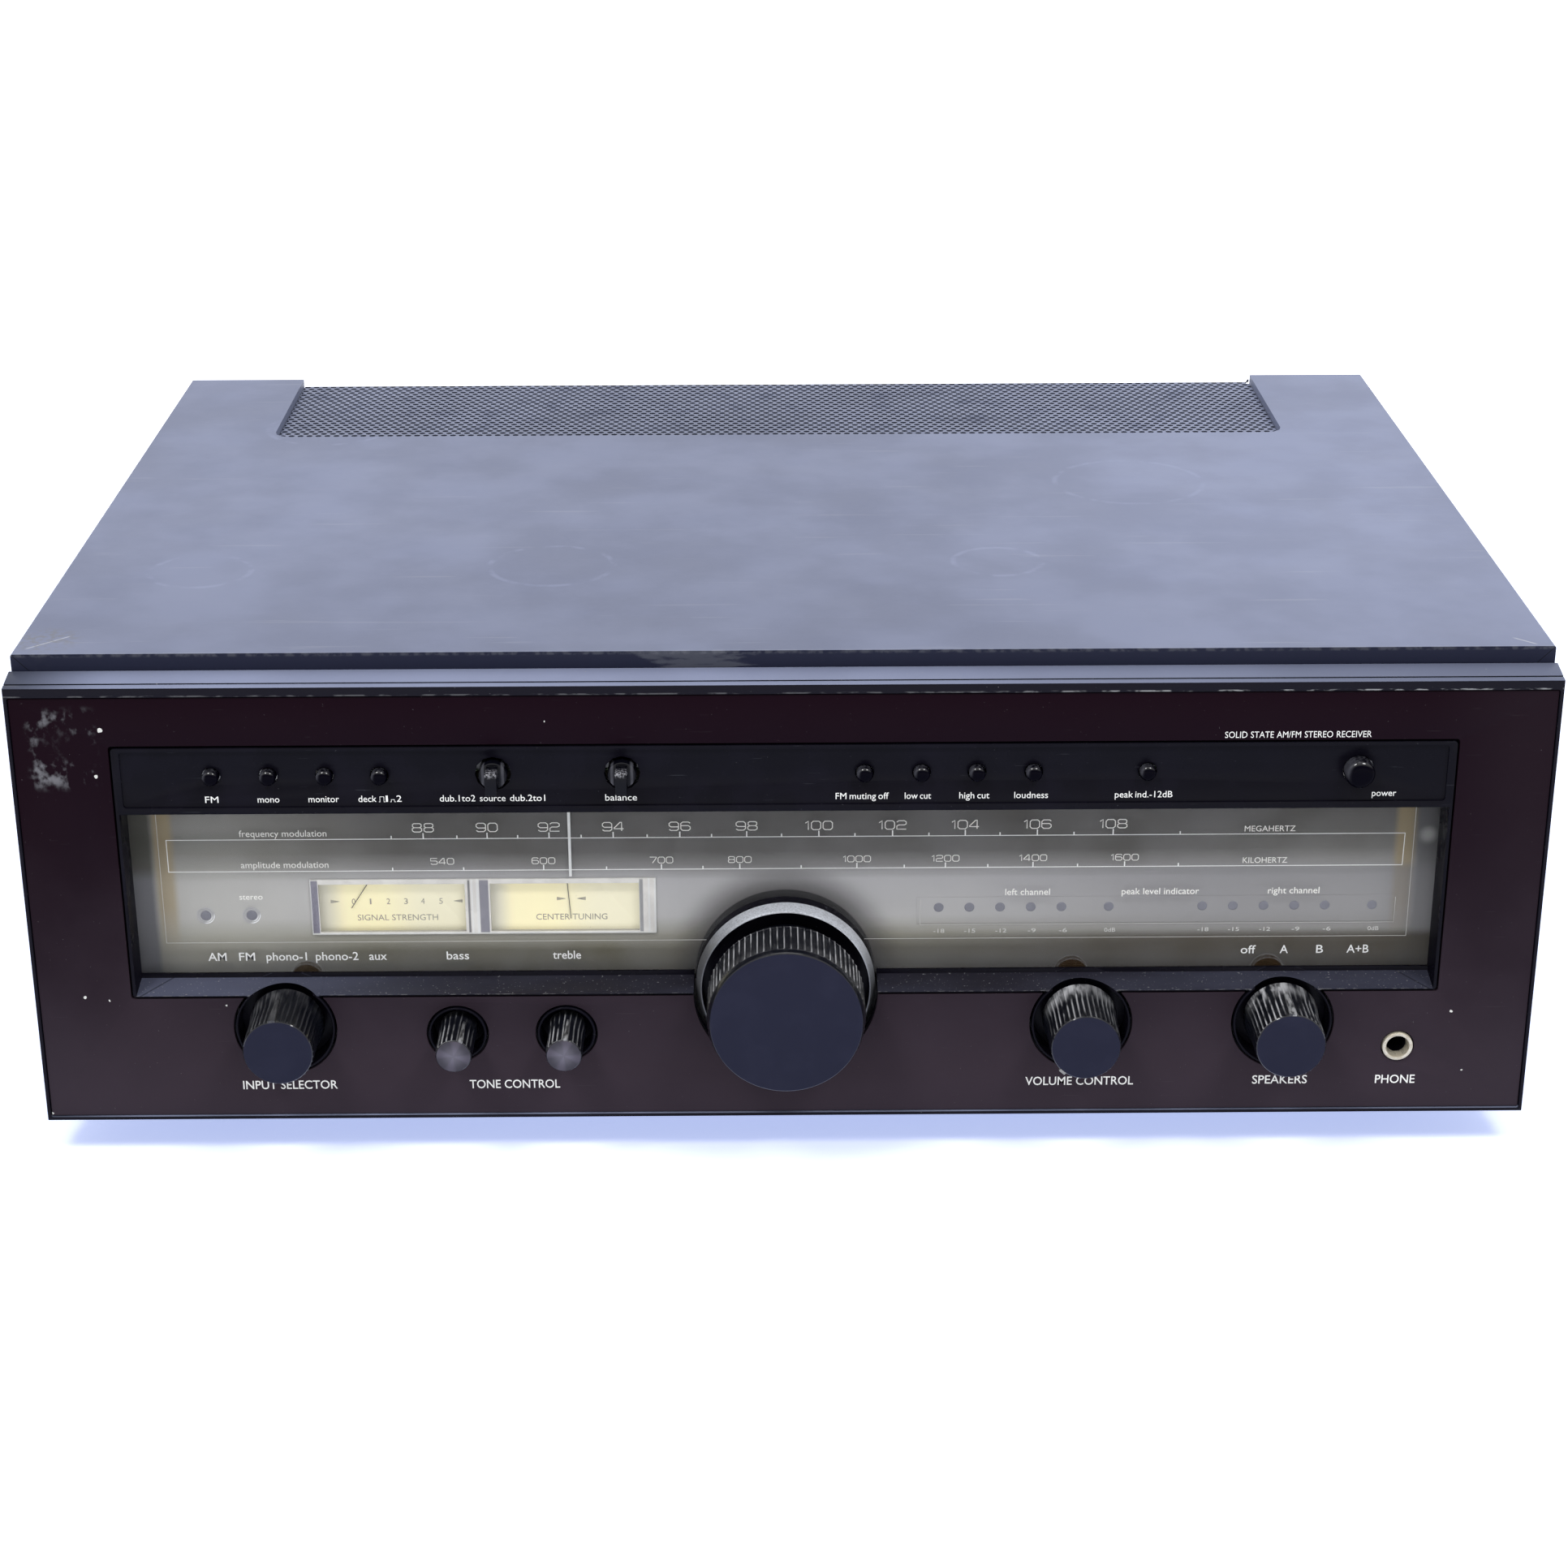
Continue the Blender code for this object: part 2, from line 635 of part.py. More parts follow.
MEDIUM_KNOBS = {"input_knob": INPUT_X, "volume_knob": VOLUME_X, "speakers_knob": SPEAKERS_X}
SMALL_KNOBS = {"bass_knob": BASS_X, "treble_knob": TREBLE_X}
KNOB_TURNS = {
    "input_knob": math.radians(-7),
    "bass_knob": math.radians(25),
    "treble_knob": math.radians(7),
    "volume_knob": math.radians(-140),
    "speakers_knob": 0.0,
}
CONTROL_PLACES = [(x, MEDIUM_HEIGHT) for x in MEDIUM_KNOBS.values()]
CONTROL_PLACES += [(x, SMALL_HEIGHT) for x in SMALL_KNOBS.values()]
STEM_PLACES = [(x, BUTTON_HEIGHT) for x in (*BUTTON_PLACES.values(), POWER_X)]
FINGER_CENTRES = [(x, FINGER_HEIGHT) for x in FINGER_PLACES.values()]


def both_ways(half):
    return (-half, half)


def vertical_box(name, x, y, half, z):
    """A small square post."""
    return box(name, span(x, half), span(y, half), z)


def crossbar(name, radius, x, centre, look=None, sides=SMALL_SIDES):
    """A cylinder along X, centred on a pair of Y and Z."""
    form = bmesh.new()
    bmesh.ops.create_cone(
        form, cap_ends=True, segments=sides, radius1=radius, radius2=radius, depth=x[1] - x[0]
    )
    for vert in form.verts:
        vert.co = (vert.co.z + (x[0] + x[1]) / 2, vert.co.x, vert.co.y)
    return place(name, mesh_from(name, form), (0, *centre), look)


def cabinet():
    half = CABINET_WIDTH / 2
    sleeve = box(
        "cabinet", both_ways(half), (CABINET_FRONT, CABINET_REAR), (0, CABINET_HEIGHT),
        look=PAINTED_SLATE, edge=CABINET_EDGE,
    )
    inside = box(
        "cabinet_inside", both_ways(CABINET_HALF_INSIDE),
        (CABINET_FRONT + CABINET_LIP_DEPTH, CABINET_REAR + CUT), (-CUT, CABINET_HEIGHT - CABINET_WALL),
    )
    mouth = box(
        "cabinet_mouth", both_ways(half - CABINET_LIP),
        (CABINET_FRONT - CUT, CABINET_FRONT + CABINET_LIP_DEPTH + CUT),
        (-CUT, CABINET_HEIGHT - CABINET_LIP),
    )
    cut(sleeve, inside, mouth)
    rim_half = VENT_HALF_WIDTH + VENT_RIM
    rim = box(
        "vent_rim", both_ways(rim_half), (VENT_FRONT - VENT_RIM, CABINET_REAR),
        (VENT_BOTTOM, CABINET_HEIGHT - CABINET_WALL / 2),
    )
    join(sleeve, rim)
    notch = box(
        "vent_notch", both_ways(VENT_HALF_WIDTH), (VENT_FRONT, CABINET_REAR + VENT_CORNER + CUT),
        (VENT_BOTTOM - CUT, CABINET_HEIGHT + CUT), edge=VENT_CORNER, axis=2,
    )
    notch_change = sleeve.modifiers.new("notch", "BOOLEAN")
    notch_change.object = notch
    notch_change.solver = "EXACT"


def vent_grille():
    """A plate with a plain grid of openings, in the place of its fine mesh."""
    half = VENT_HALF_WIDTH - GAP
    front = VENT_FRONT + GAP
    grille = box(
        "vent_grille", both_ways(half), (front, CABINET_REAR + VENT_CORNER + CUT), (VENT_BOTTOM, VENT_TOP),
        look=DARK_PLATE, edge=VENT_CORNER, axis=2,
    )
    through = (VENT_BOTTOM - CUT, VENT_TOP + CUT)
    beyond = box(
        "grille_end", both_ways(VENT_HALF_WIDTH + CUT),
        (CABINET_REAR, CABINET_REAR + VENT_CORNER + 2 * CUT), through,
    )
    across = (2 * half - VENT_BAR) / VENT_OPENINGS_ACROSS
    deep = (CABINET_REAR - front - VENT_BAR) / VENT_OPENINGS_DEEP
    corners = [
        (n * across - half, front + m * deep)
        for n in range(VENT_OPENINGS_ACROSS)
        for m in range(VENT_OPENINGS_DEEP)
    ]
    openings = [
        box("grille_opening", (x + VENT_BAR, x + across), (y + VENT_BAR, y + deep), through)
        for x, y in corners
    ]
    cut(grille, beyond, *openings)


def front_frame():
    width = both_ways(FRONT_WIDTH / 2)
    outline = [(0, 0), (FRAME_DEPTH, 0), (FRAME_DEPTH, FRONT_HEIGHT + LEDGE_RISE), (0, FRONT_HEIGHT)]
    frame = slab("front_frame", outline, width, NAVY_LACQUER)
    recess = box(
        "frame_recess", both_ways(FRAME_HALF_INSIDE), (-CUT, BEHIND_PLATE),
        (FRAME_BOTTOM_BORDER, FRAME_TOP_INSIDE), edge=FRAME_CORNER,
    )
    opening = box(
        "frame_opening", both_ways(FRAME_HALF_INSIDE - FRAME_FLANGE), (0, FRAME_DEPTH + CUT),
        (FRAME_BOTTOM_BORDER + FRAME_FLANGE, FRAME_TOP_INSIDE - FRAME_FLANGE),
    )
    ledge = FRONT_HEIGHT + LEDGE_RISE * LEDGE_GROOVE_AT / FRAME_DEPTH
    groove = box(
        "ledge_groove", both_ways(FRONT_WIDTH / 2 + CUT),
        (LEDGE_GROOVE_AT, LEDGE_GROOVE_AT + LEDGE_GROOVE_WIDTH),
        (ledge - LEDGE_GROOVE_DEPTH, ledge + CUT),
    )
    cut(frame, recess, opening, groove)


def front_plate():
    through = (PLATE_RECESS - CUT, PLATE_REAR + CUT)
    plate = box(
        "front_plate", both_ways(FRAME_HALF_INSIDE - GAP), (PLATE_RECESS, PLATE_REAR),
        (FRAME_BOTTOM_BORDER + GAP, FRAME_TOP_INSIDE - GAP), look=DARK_PLATE, edge=FRAME_CORNER,
    )
    window = box(
        "plate_window", both_ways(WINDOW_HALF_WIDTH), through, (WINDOW_BOTTOM, WINDOW_TOP),
        edge=WINDOW_CORNER,
    )
    holes = [rod("plate_tuning_hole", TUNING_HOLE, through, (0, TUNING_HEIGHT), sides=2 * ROUND_SIDES)]
    for x in MEDIUM_KNOBS.values():
        holes.append(rod("plate_well_hole", MEDIUM_HOLE, through, (x, MEDIUM_HEIGHT), sides=ROUND_SIDES))
    for x in SMALL_KNOBS.values():
        holes.append(rod("plate_small_hole", SMALL_HOLE, through, (x, SMALL_HEIGHT), sides=ROUND_SIDES))
    jack = (JACK_X, JACK_HEIGHT)
    holes.append(rod("plate_jack_hole", JACK_HOLE, through, jack, sides=ROUND_SIDES))
    cut(plate, window, *holes)


def window_bezel():
    front_half = WINDOW_HALF_WIDTH - BEZEL_GAP
    bezel = box(
        "window_bezel", both_ways(front_half), (BEZEL_FACE, BEHIND_PLATE + JOIN),
        (WINDOW_BOTTOM + BEZEL_GAP, WINDOW_TOP - BEZEL_GAP), look=BLACK_PLASTIC, edge=WINDOW_CORNER,
    )
    back = box(
        "bezel_back", both_ways(BEZEL_BACK_HALF_WIDTH), (BEHIND_PLATE, BEZEL_REAR),
        (BEZEL_BACK_BOTTOM, BEZEL_BACK_TOP),
    )
    lower = box(
        "bezel_lower", both_ways(BEZEL_LOWER_HALF_WIDTH), (BEHIND_PLATE, BEHIND_PLATE + BEZEL_PANEL),
        (BEZEL_LOWER_BOTTOM, BEZEL_BACK_BOTTOM + JOIN),
    )
    join(bezel, back, lower)
    cut(bezel, *bezel_openings())
    join(bezel, *well_cups())
    cut(bezel, *well_bores())


def bezel_openings():
    before = BEZEL_FACE - CUT
    behind = BEZEL_REAR + CUT
    lip_front = GLASS_FRONT - GAP - SLOPE_LIP
    outline = [
        (before, SLOPE_BOTTOM), (BEZEL_FACE, SLOPE_BOTTOM), (lip_front, SLOPE_BOTTOM + SLOPE_RISE),
        (lip_front, LIP_TOP), (behind, LIP_TOP), (behind, BAR_BOTTOM), (before, BAR_BOTTOM),
    ]
    tools = [slab("bezel_window", outline, both_ways(WINDOW_HALF_INSIDE))]
    tools.append(box(
        "glass_seat", both_ways(GLASS_HALF_WIDTH + GAP), (GLASS_FRONT - GAP, behind),
        (GLASS_BOTTOM - GAP, GLASS_TOP + GAP),
    ))
    tools.append(box(
        "strip_recess", both_ways(WINDOW_HALF_WIDTH - BEZEL_GAP - STRIP_SIDE_RIM), (before, STRIP_FACE),
        (STRIP_BOTTOM, WINDOW_TOP - BEZEL_GAP - STRIP_TOP_RIM), edge=WINDOW_CORNER,
    ))
    tools.append(box(
        "strip_pocket", both_ways(BEZEL_BACK_HALF_WIDTH - STRIP_POCKET_WALL), (STRIP_PANEL_REAR, behind),
        (GLASS_TOP + STRIP_POCKET_WALL, BEZEL_BACK_TOP - STRIP_POCKET_WALL),
    ))
    tools.append(rod(
        "bezel_tuning_hole", TUNING_HOLE, (before, behind), (0, TUNING_HEIGHT), sides=2 * ROUND_SIDES
    ))
    holes = [(x, BUTTON_HEIGHT, BUTTON_HOLE) for x in BUTTON_PLACES.values()]
    holes += [(x, FINGER_HEIGHT, FINGER_HOLE) for x in FINGER_PLACES.values()]
    holes.append((POWER_X, BUTTON_HEIGHT, POWER_HOLE))
    for x, height, radius in holes:
        tools.append(rod("strip_hole", radius, (before, STRIP_PANEL_REAR + CUT), (x, height)))
    return tools


def wells():
    """Each knob's well: place across, height and outer radius."""
    places = [(x, MEDIUM_HEIGHT, MEDIUM_HOLE - WELL_GAP) for x in MEDIUM_KNOBS.values()]
    return places + [(x, SMALL_HEIGHT, SMALL_HOLE - WELL_GAP) for x in SMALL_KNOBS.values()]


def well_cups():
    return [
        rod("well_cup", radius, (BEZEL_FACE, WELL_REAR), (x, height), sides=ROUND_SIDES)
        for x, height, radius in wells()
    ]


def well_bores():
    tools = []
    for x, height, radius in wells():
        bore = (BEZEL_FACE - CUT, WELL_FLOOR_AT)
        tools.append(rod("well_bore", radius - WELL_WALL, bore, (x, height), sides=ROUND_SIDES))
        hole = (WELL_FLOOR_AT - CUT, WELL_REAR + CUT)
        tools.append(rod("well_shaft_hole", SHAFT_HOLE, hole, (x, height)))
    return tools


def dial_window():
    sheet = box(
        "dial_window", both_ways(GLASS_HALF_WIDTH), (GLASS_FRONT, GLASS_REAR), (GLASS_BOTTOM, GLASS_TOP),
        look=CLEAR_SHEET,
    )
    cut(sheet, rod("window_notch", SHAFT_HOLE, (GLASS_FRONT - CUT, GLASS_REAR + CUT), (0, TUNING_HEIGHT)))


def dial_scale():
    scale = box(
        "dial_scale", both_ways(BEZEL_BACK_HALF_WIDTH), (SCALE_FRONT, SCALE_REAR),
        (BEZEL_BACK_BOTTOM, SCALE_TOP), look=DIAL_GREY,
    )
    frame = box(
        "meter_frame", (METER_FRAME_LEFT, METER_FRAME_RIGHT),
        (SCALE_FRONT - METER_FRAME_PROUD, SCALE_FRONT + SCALE_THICKNESS / 2),
        (METER_FRAME_BOTTOM, METER_FRAME_TOP),
    )
    join(scale, frame)
    through = (SCALE_FRONT - METER_FRAME_PROUD - CUT, SCALE_REAR + CUT)
    openings = [
        box("face_opening", face, through, (METER_FACE_BOTTOM, METER_FACE_TOP))
        for face in (SIGNAL_FACE, TUNING_FACE)
    ]
    openings.append(box(
        "light_opening", (LED_BAR_LEFT - GAP, LED_BAR_RIGHT + GAP), through,
        (LED_BAR_BOTTOM - GAP, LED_BAR_TOP + GAP),
    ))
    openings.append(rod("scale_notch", SHAFT_HOLE, through, (0, TUNING_HEIGHT)))
    cut(scale, *openings)


def face_middle(face):
    return (face[0] + face[1]) / 2


def meters():
    for name, face in (("signal_meter", SIGNAL_FACE), ("tuning_meter", TUNING_FACE)):
        meter = box(
            name, (face[0] - METER_MARGIN, face[1] + METER_MARGIN), (METER_FRONT, METER_FRONT + METER_DEPTH),
            (METER_FACE_BOTTOM - METER_BELOW, NEEDLE_PIVOT_HEIGHT + METER_ABOVE_PIVOT), look=METER_CREAM,
        )
        depth = (METER_FRONT - CUT, METER_FRONT + NEEDLE_PIN_LENGTH + NEEDLE_PIN)
        pivot = (face_middle(face), NEEDLE_PIVOT_HEIGHT)
        cut(meter, rod("needle_bore", NEEDLE_PIN + SHAFT_CLEARANCE, depth, pivot))


def needles():
    front = METER_FRONT - GAP - NEEDLE_THICKNESS
    for name, face, rest in (
        ("signal_needle", SIGNAL_FACE, SIGNAL_NEEDLE_REST),
        ("tuning_needle", TUNING_FACE, TUNING_NEEDLE_REST),
    ):
        pivot = (face_middle(face), NEEDLE_PIVOT_HEIGHT)
        needle = rod(name, NEEDLE_HUB, (front, front + NEEDLE_THICKNESS), pivot, NEEDLE_RED)
        needle.rotation_euler.y = rest
        blade = box(
            "needle_blade", both_ways(NEEDLE_WIDTH / 2), (front, front + NEEDLE_THICKNESS),
            (-NEEDLE_LENGTH, 0), at=(pivot[0], 0, pivot[1]),
        )
        blade.rotation_euler.y = rest
        pin = rod(
            "needle_pin", NEEDLE_PIN, (front + NEEDLE_THICKNESS / 2, METER_FRONT + NEEDLE_PIN_LENGTH), pivot
        )
        join(needle, blade, pin)


def led_places():
    places = []
    for first in LED_FIRST:
        places += [first + n * LED_STEP for n in range(LEDS_IN_ROW)]
        places.append(places[-1] + LED_LAST_STEP)
    return places


def led_bar():
    bar = box(
        "led_bar", (LED_BAR_LEFT, LED_BAR_RIGHT), (LED_BAR_FRONT, LED_BAR_REAR),
        (LED_BAR_BOTTOM, LED_BAR_TOP), look=BLACK_PLASTIC,
    )
    lights = (LED_BAR_FRONT - LED_PROUD, LED_BAR_FRONT + LED_PROUD)
    join(bar, *[rod("light", LED_RADIUS, lights, (x, LED_HEIGHT)) for x in led_places()])


def dial_pointer():
    """The blade hangs before the scale from a carriage that slides on the rail behind it."""
    blade_front = SCALE_FRONT - POINTER_BEFORE_SCALE - POINTER_THICKNESS
    hook_bottom = SCALE_TOP + POINTER_BEFORE_SCALE
    hook_top = hook_bottom + POINTER_HOOK
    at = (POINTER_REST_X, 0, 0)
    pointer = box(
        "dial_pointer", both_ways(POINTER_WIDTH / 2), (blade_front, blade_front + POINTER_THICKNESS),
        (POINTER_BOTTOM, hook_top), at=at, look=WHITE_PLASTIC,
    )
    reach = RAIL_RADIUS + SHAFT_CLEARANCE + CARRIAGE_WALL
    hook = box(
        "pointer_hook", both_ways(CARRIAGE_HALF_LENGTH / 2), (blade_front, RAIL_AT),
        (hook_bottom, hook_top), at=at,
    )
    carriage = box(
        "pointer_carriage", both_ways(CARRIAGE_HALF_LENGTH), span(RAIL_AT, reach),
        span(PULLEY_HEIGHT, reach), at=at,
    )
    cord_height = PULLEY_HEIGHT + PULLEY_CORD_RADIUS
    clip = box(
        "cord_clip", both_ways(CARRIAGE_HALF_LENGTH / 2), span(CORD_AT, CORD_LIFT + CORD_GUIDE),
        (PULLEY_HEIGHT + reach - JOIN, cord_height + CORD_LIFT + CORD_GUIDE), at=at,
    )
    join(pointer, hook, carriage, clip)
    along = (POINTER_REST_X - CARRIAGE_HALF_LENGTH - CUT, POINTER_REST_X + CARRIAGE_HALF_LENGTH + CUT)
    rail_hole = crossbar("rail_hole", RAIL_RADIUS + SHAFT_CLEARANCE, along, (RAIL_AT, PULLEY_HEIGHT))
    cord_hole = crossbar("cord_hole", CORD_LIFT, along, (CORD_AT, cord_height))
    cut(pointer, rail_hole, cord_hole)


def pointer_rail():
    crossbar(
        "pointer_rail", RAIL_RADIUS, both_ways(RAIL_HALF_LENGTH + RAIL_EAR), (RAIL_AT, PULLEY_HEIGHT), STEEL
    )


def pulleys():
    floor = PULLEY_CORD_RADIUS - CORD_LIFT
    flange = floor + PULLEY_FLANGE
    front, rear = span(CORD_AT, PULLEY_HALF_WIDTH)
    lip = PULLEY_HALF_WIDTH / 4
    throat = PULLEY_HALF_WIDTH / 3
    profile = [
        (flange, front), (flange, front + lip), (floor, CORD_AT - throat), (floor, CORD_AT + throat),
        (flange, rear - lip), (flange, rear), (PULLEY_BORE, rear), (PULLEY_BORE, front),
    ]
    for name, x in PULLEYS.items():
        turned(name, profile, (x, PULLEY_HEIGHT), BLACK_PLASTIC, SMALL_SIDES, ring=True)


def dial_drum():
    floor = DRUM_CORD_RADIUS - CORD_LIFT
    flange = floor + DRUM_FLANGE
    front_lip = DRUM_FRONT + DRUM_FLANGE_THICKNESS
    rear_lip = DRUM_REAR - DRUM_FLANGE_THICKNESS
    pinion_rear = PINION_FRONT + PINION_THICKNESS
    profile = [
        (0, DRUM_FRONT), (flange, DRUM_FRONT), (flange, front_lip), (floor, front_lip),
        (floor, rear_lip), (flange, rear_lip), (flange, DRUM_REAR), (DRUM_SHAFT, DRUM_REAR),
        (DRUM_SHAFT, PINION_FRONT), (PINION_RADIUS, PINION_FRONT), (PINION_RADIUS, pinion_rear),
        (0, pinion_rear),
    ]
    turned("dial_drum", profile, (0, DRUM_HEIGHT), WHITE_PLASTIC)


def tuning_flywheel():
    """The tuning shaft: inside the knob in front, then the cord's seat, then the flywheel."""
    floor = DRIVE_CORD_RADIUS - CORD_LIFT
    flange = floor + DRIVE_FLANGE
    front, rear = span(CORD_AT + CORD_SHIFT / 2, DRIVE_HALF_WIDTH)
    wheel_rear = FLYWHEEL_FRONT + FLYWHEEL_THICKNESS
    rim_inside = FLYWHEEL_RADIUS - FLYWHEEL_RIM
    profile = [
        (0, KNOB_BORE_FRONT + GAP), (TUNING_SHAFT, KNOB_BORE_FRONT + GAP), (TUNING_SHAFT, front),
        (flange, front), (flange, front + DRIVE_FLANGE_THICKNESS), (floor, front + DRIVE_FLANGE_THICKNESS),
        (floor, rear - DRIVE_FLANGE_THICKNESS), (flange, rear - DRIVE_FLANGE_THICKNESS), (flange, rear),
        (TUNING_SHAFT, rear), (TUNING_SHAFT, wheel_rear - FLYWHEEL_WEB),
        (rim_inside, wheel_rear - FLYWHEEL_WEB), (rim_inside, FLYWHEEL_FRONT),
        (FLYWHEEL_RADIUS, FLYWHEEL_FRONT), (FLYWHEEL_RADIUS, wheel_rear), (TUNING_SHAFT, wheel_rear),
        (TUNING_SHAFT, TUNING_SHAFT_REAR), (0, TUNING_SHAFT_REAR),
    ]
    turned("tuning_flywheel", profile, (0, TUNING_HEIGHT), STEEL)


def contact(wheel, heading):
    """Where a belt with this heading touches a wheel, as a complex number: across plus height."""
    centre, radius, sense = wheel[:3]
    return centre - 1j * sense * radius * heading


def heading_between(first, second):
    offset = first[1] * first[2] - second[1] * second[2]
    reach = second[0] - first[0]
    straight = math.sqrt(abs(reach) ** 2 - offset ** 2)
    return reach * complex(straight, offset) / abs(reach) ** 2


def wrapped(wheel, start, end, turns, step):
    """Points along the arc from one contact to the other, in the wheel's own sense."""
    centre, radius, sense = wheel[:3]
    first = math.atan2((start - centre).imag, (start - centre).real)
    last = math.atan2((end - centre).imag, (end - centre).real)
    sweep = ((last - first) * sense) % math.tau + turns * math.tau
    count = max(2, round(sweep / step))
    angles = [first + sense * sweep * n / count for n in range(count + 1)]
    return [centre + radius * complex(math.cos(a), math.sin(a)) for a in angles]


def cord_route():
    """Places of the dial cord while the pointer moves right: drum, left pulley, right pulley, shaft, drum.

    A sense of 1 is anticlockwise from the front. Each wheel has its own step along the arc.
    """
    drum = (complex(0, DRUM_HEIGHT), DRUM_CORD_RADIUS, 1)
    left = (complex(-PULLEY_X, PULLEY_HEIGHT), PULLEY_CORD_RADIUS, -1)
    right = (complex(PULLEY_X, PULLEY_HEIGHT), PULLEY_CORD_RADIUS, -1)
    shaft = (complex(0, TUNING_HEIGHT), DRIVE_CORD_RADIUS, -1)
    wheels = [drum, left, right, shaft, drum]
    headings = [heading_between(a, b) for a, b in zip(wheels, wheels[1:])]
    leaving_drum = contact(drum, headings[0])
    begin = drum[0] + (leaving_drum - drum[0]) * complex(0, -1)
    finish = drum[0] + (contact(drum, headings[3]) - drum[0]) * complex(-1, 0)
    fine, coarse = math.radians(12), math.radians(30)
    arcs = [
        (wrapped(drum, begin, leaving_drum, 0, fine), CORD_START_AT, CORD_AT),
        (
            wrapped(left, contact(left, headings[0]), contact(left, headings[1]), 0, coarse),
            CORD_AT, CORD_AT,
        ),
        (
            wrapped(right, contact(right, headings[1]), contact(right, headings[2]), 0, coarse),
            CORD_AT, CORD_AT,
        ),
        (
            wrapped(shaft, contact(shaft, headings[2]), contact(shaft, headings[3]), 1, coarse),
            CORD_AT, CORD_AT + CORD_SHIFT,
        ),
        (
            wrapped(drum, contact(drum, headings[3]), finish, 0, fine),
            CORD_AT + CORD_SHIFT, CORD_AT + CORD_SHIFT,
        ),
    ]
    points = []
    for arc, first, last in arcs:
        for n, place_on in enumerate(arc):
            depth = first + (last - first) * n / (len(arc) - 1)
            points.append((place_on.real, depth, place_on.imag))
    return points


def dial_cord():
    curve = bpy.data.curves.new("dial_cord", "CURVE")
    curve.dimensions = "3D"
    curve.bevel_depth = CORD_RADIUS
    curve.bevel_resolution = 2
    curve.use_fill_caps = True
    route = cord_route()
    spline = curve.splines.new("POLY")
    spline.points.add(len(route) - 1)
    for point, place_on in zip(spline.points, route):
        point.co = (*place_on, 1)
    place("dial_cord", curve, look=CORD_GREEN)


def gang_frame():
    """The tuning capacitor's open box, its fixed blades on the left wall, on two side legs."""
    rear = GANG_FRONT + GANG_LENGTH
    floor = DRUM_HEIGHT - GANG_FLOOR_BELOW
    top = DRUM_HEIGHT + GANG_WALL_ABOVE
    inner = GANG_HALF_WIDTH - GANG_WALL
    frame = box(
        "gang_frame", span(GANG_X, GANG_HALF_WIDTH), (GANG_FRONT, rear), (floor, top), look=PLATED_SHEET
    )
    inside = box(
        "gang_inside", span(GANG_X, inner), (GANG_FRONT + GANG_WALL, rear - GANG_WALL),
        (floor + GANG_WALL, top + CUT),
    )
    bore = rod(
        "gang_bore", GANG_SHAFT + SHAFT_CLEARANCE, (GANG_FRONT - CUT, rear + CUT), (GANG_X, DRUM_HEIGHT)
    )
    cut(frame, inside, bore)
    wall = GANG_X - inner
    additions = [
        box(
            "stator_blade", (wall - GANG_WALL / 2, wall + STATOR_REACH), span(y, STATOR_BLADE / 2),
            span(DRUM_HEIGHT - STATOR_HALF_HEIGHT / 2, STATOR_HALF_HEIGHT),
        )
        for y in blade_places(ROTOR_BLADES - 1)
    ]
    leg_y = (GANG_FRONT + 2 * GANG_LEG, rear - GANG_LEG)
    for side in (-1, 1):
        outer = GANG_X + side * GANG_HALF_WIDTH
        leg_x = sorted((outer, outer - side * GANG_WALL))
        additions.append(box("gang_leg", leg_x, leg_y, (ON_BASE, floor + GANG_WALL)))
    join(frame, *additions)


def blade_places(count):
    """Evenly spaced places along the capacitor; one fewer lie midway between the others."""
    pitch = (GANG_LENGTH - 2 * GANG_WALL) / (ROTOR_BLADES + 1)
    middle = GANG_FRONT + GANG_LENGTH / 2
    return [middle + (n - (count - 1) / 2) * pitch for n in range(count)]


def gang_rotor():
    gear = span(PINION_FRONT + PINION_THICKNESS / 2, GANG_GEAR_THICKNESS / 2)
    end = GANG_FRONT + GANG_LENGTH + GANG_WALL
    profile = [
        (0, gear[0]), (GEAR_RADIUS, gear[0]), (GEAR_RADIUS, gear[1]), (GANG_SHAFT, gear[1]),
        (GANG_SHAFT, end), (0, end),
    ]
    centre = (GANG_X, DRUM_HEIGHT)
    rotor = turned("gang_rotor", profile, centre, PLATED_SHEET)
    blades = []
    for y in blade_places(ROTOR_BLADES):
        blade = rod("rotor_blade", ROTOR_RADIUS, span(y, ROTOR_BLADE / 2), centre, sides=ROUND_SIDES)
        half = box(
            "rotor_half", (-ROTOR_RADIUS - CUT, 0), span(y, ROTOR_BLADE), both_ways(ROTOR_RADIUS + CUT),
            at=(GANG_X, 0, DRUM_HEIGHT),
        )
        blades.append(cut(blade, half))
    join(rotor, *blades)


def tuning_knob():
    centre = (0, TUNING_HEIGHT)
    band_front = TUNING_BACK - TUNING_BAND
    knob = fluted(
        "tuning_knob", TUNING_RADIUS, TUNING_FLUTE_DEPTH, TUNING_FLUTES, (band_front, TUNING_BACK), centre,
        BLACK_PLASTIC,
    )
    shoulder = TUNING_RADIUS - TUNING_FLUTE_DEPTH / 2
    face = rod(
        "tuning_face", shoulder, (-TUNING_PROUD, band_front + JOIN), centre, sides=2 * ROUND_SIDES,
        front_radius=TUNING_FACE_RADIUS,
    )
    neck = rod("tuning_neck", TUNING_NECK, (TUNING_BACK - JOIN, TUNING_NECK_BACK), centre, sides=ROUND_SIDES)
    join(knob, face, neck)
    bore = (KNOB_BORE_FRONT, TUNING_NECK_BACK + CUT)
    cut(knob, rod("tuning_bore", TUNING_SHAFT + SHAFT_CLEARANCE, bore, centre))


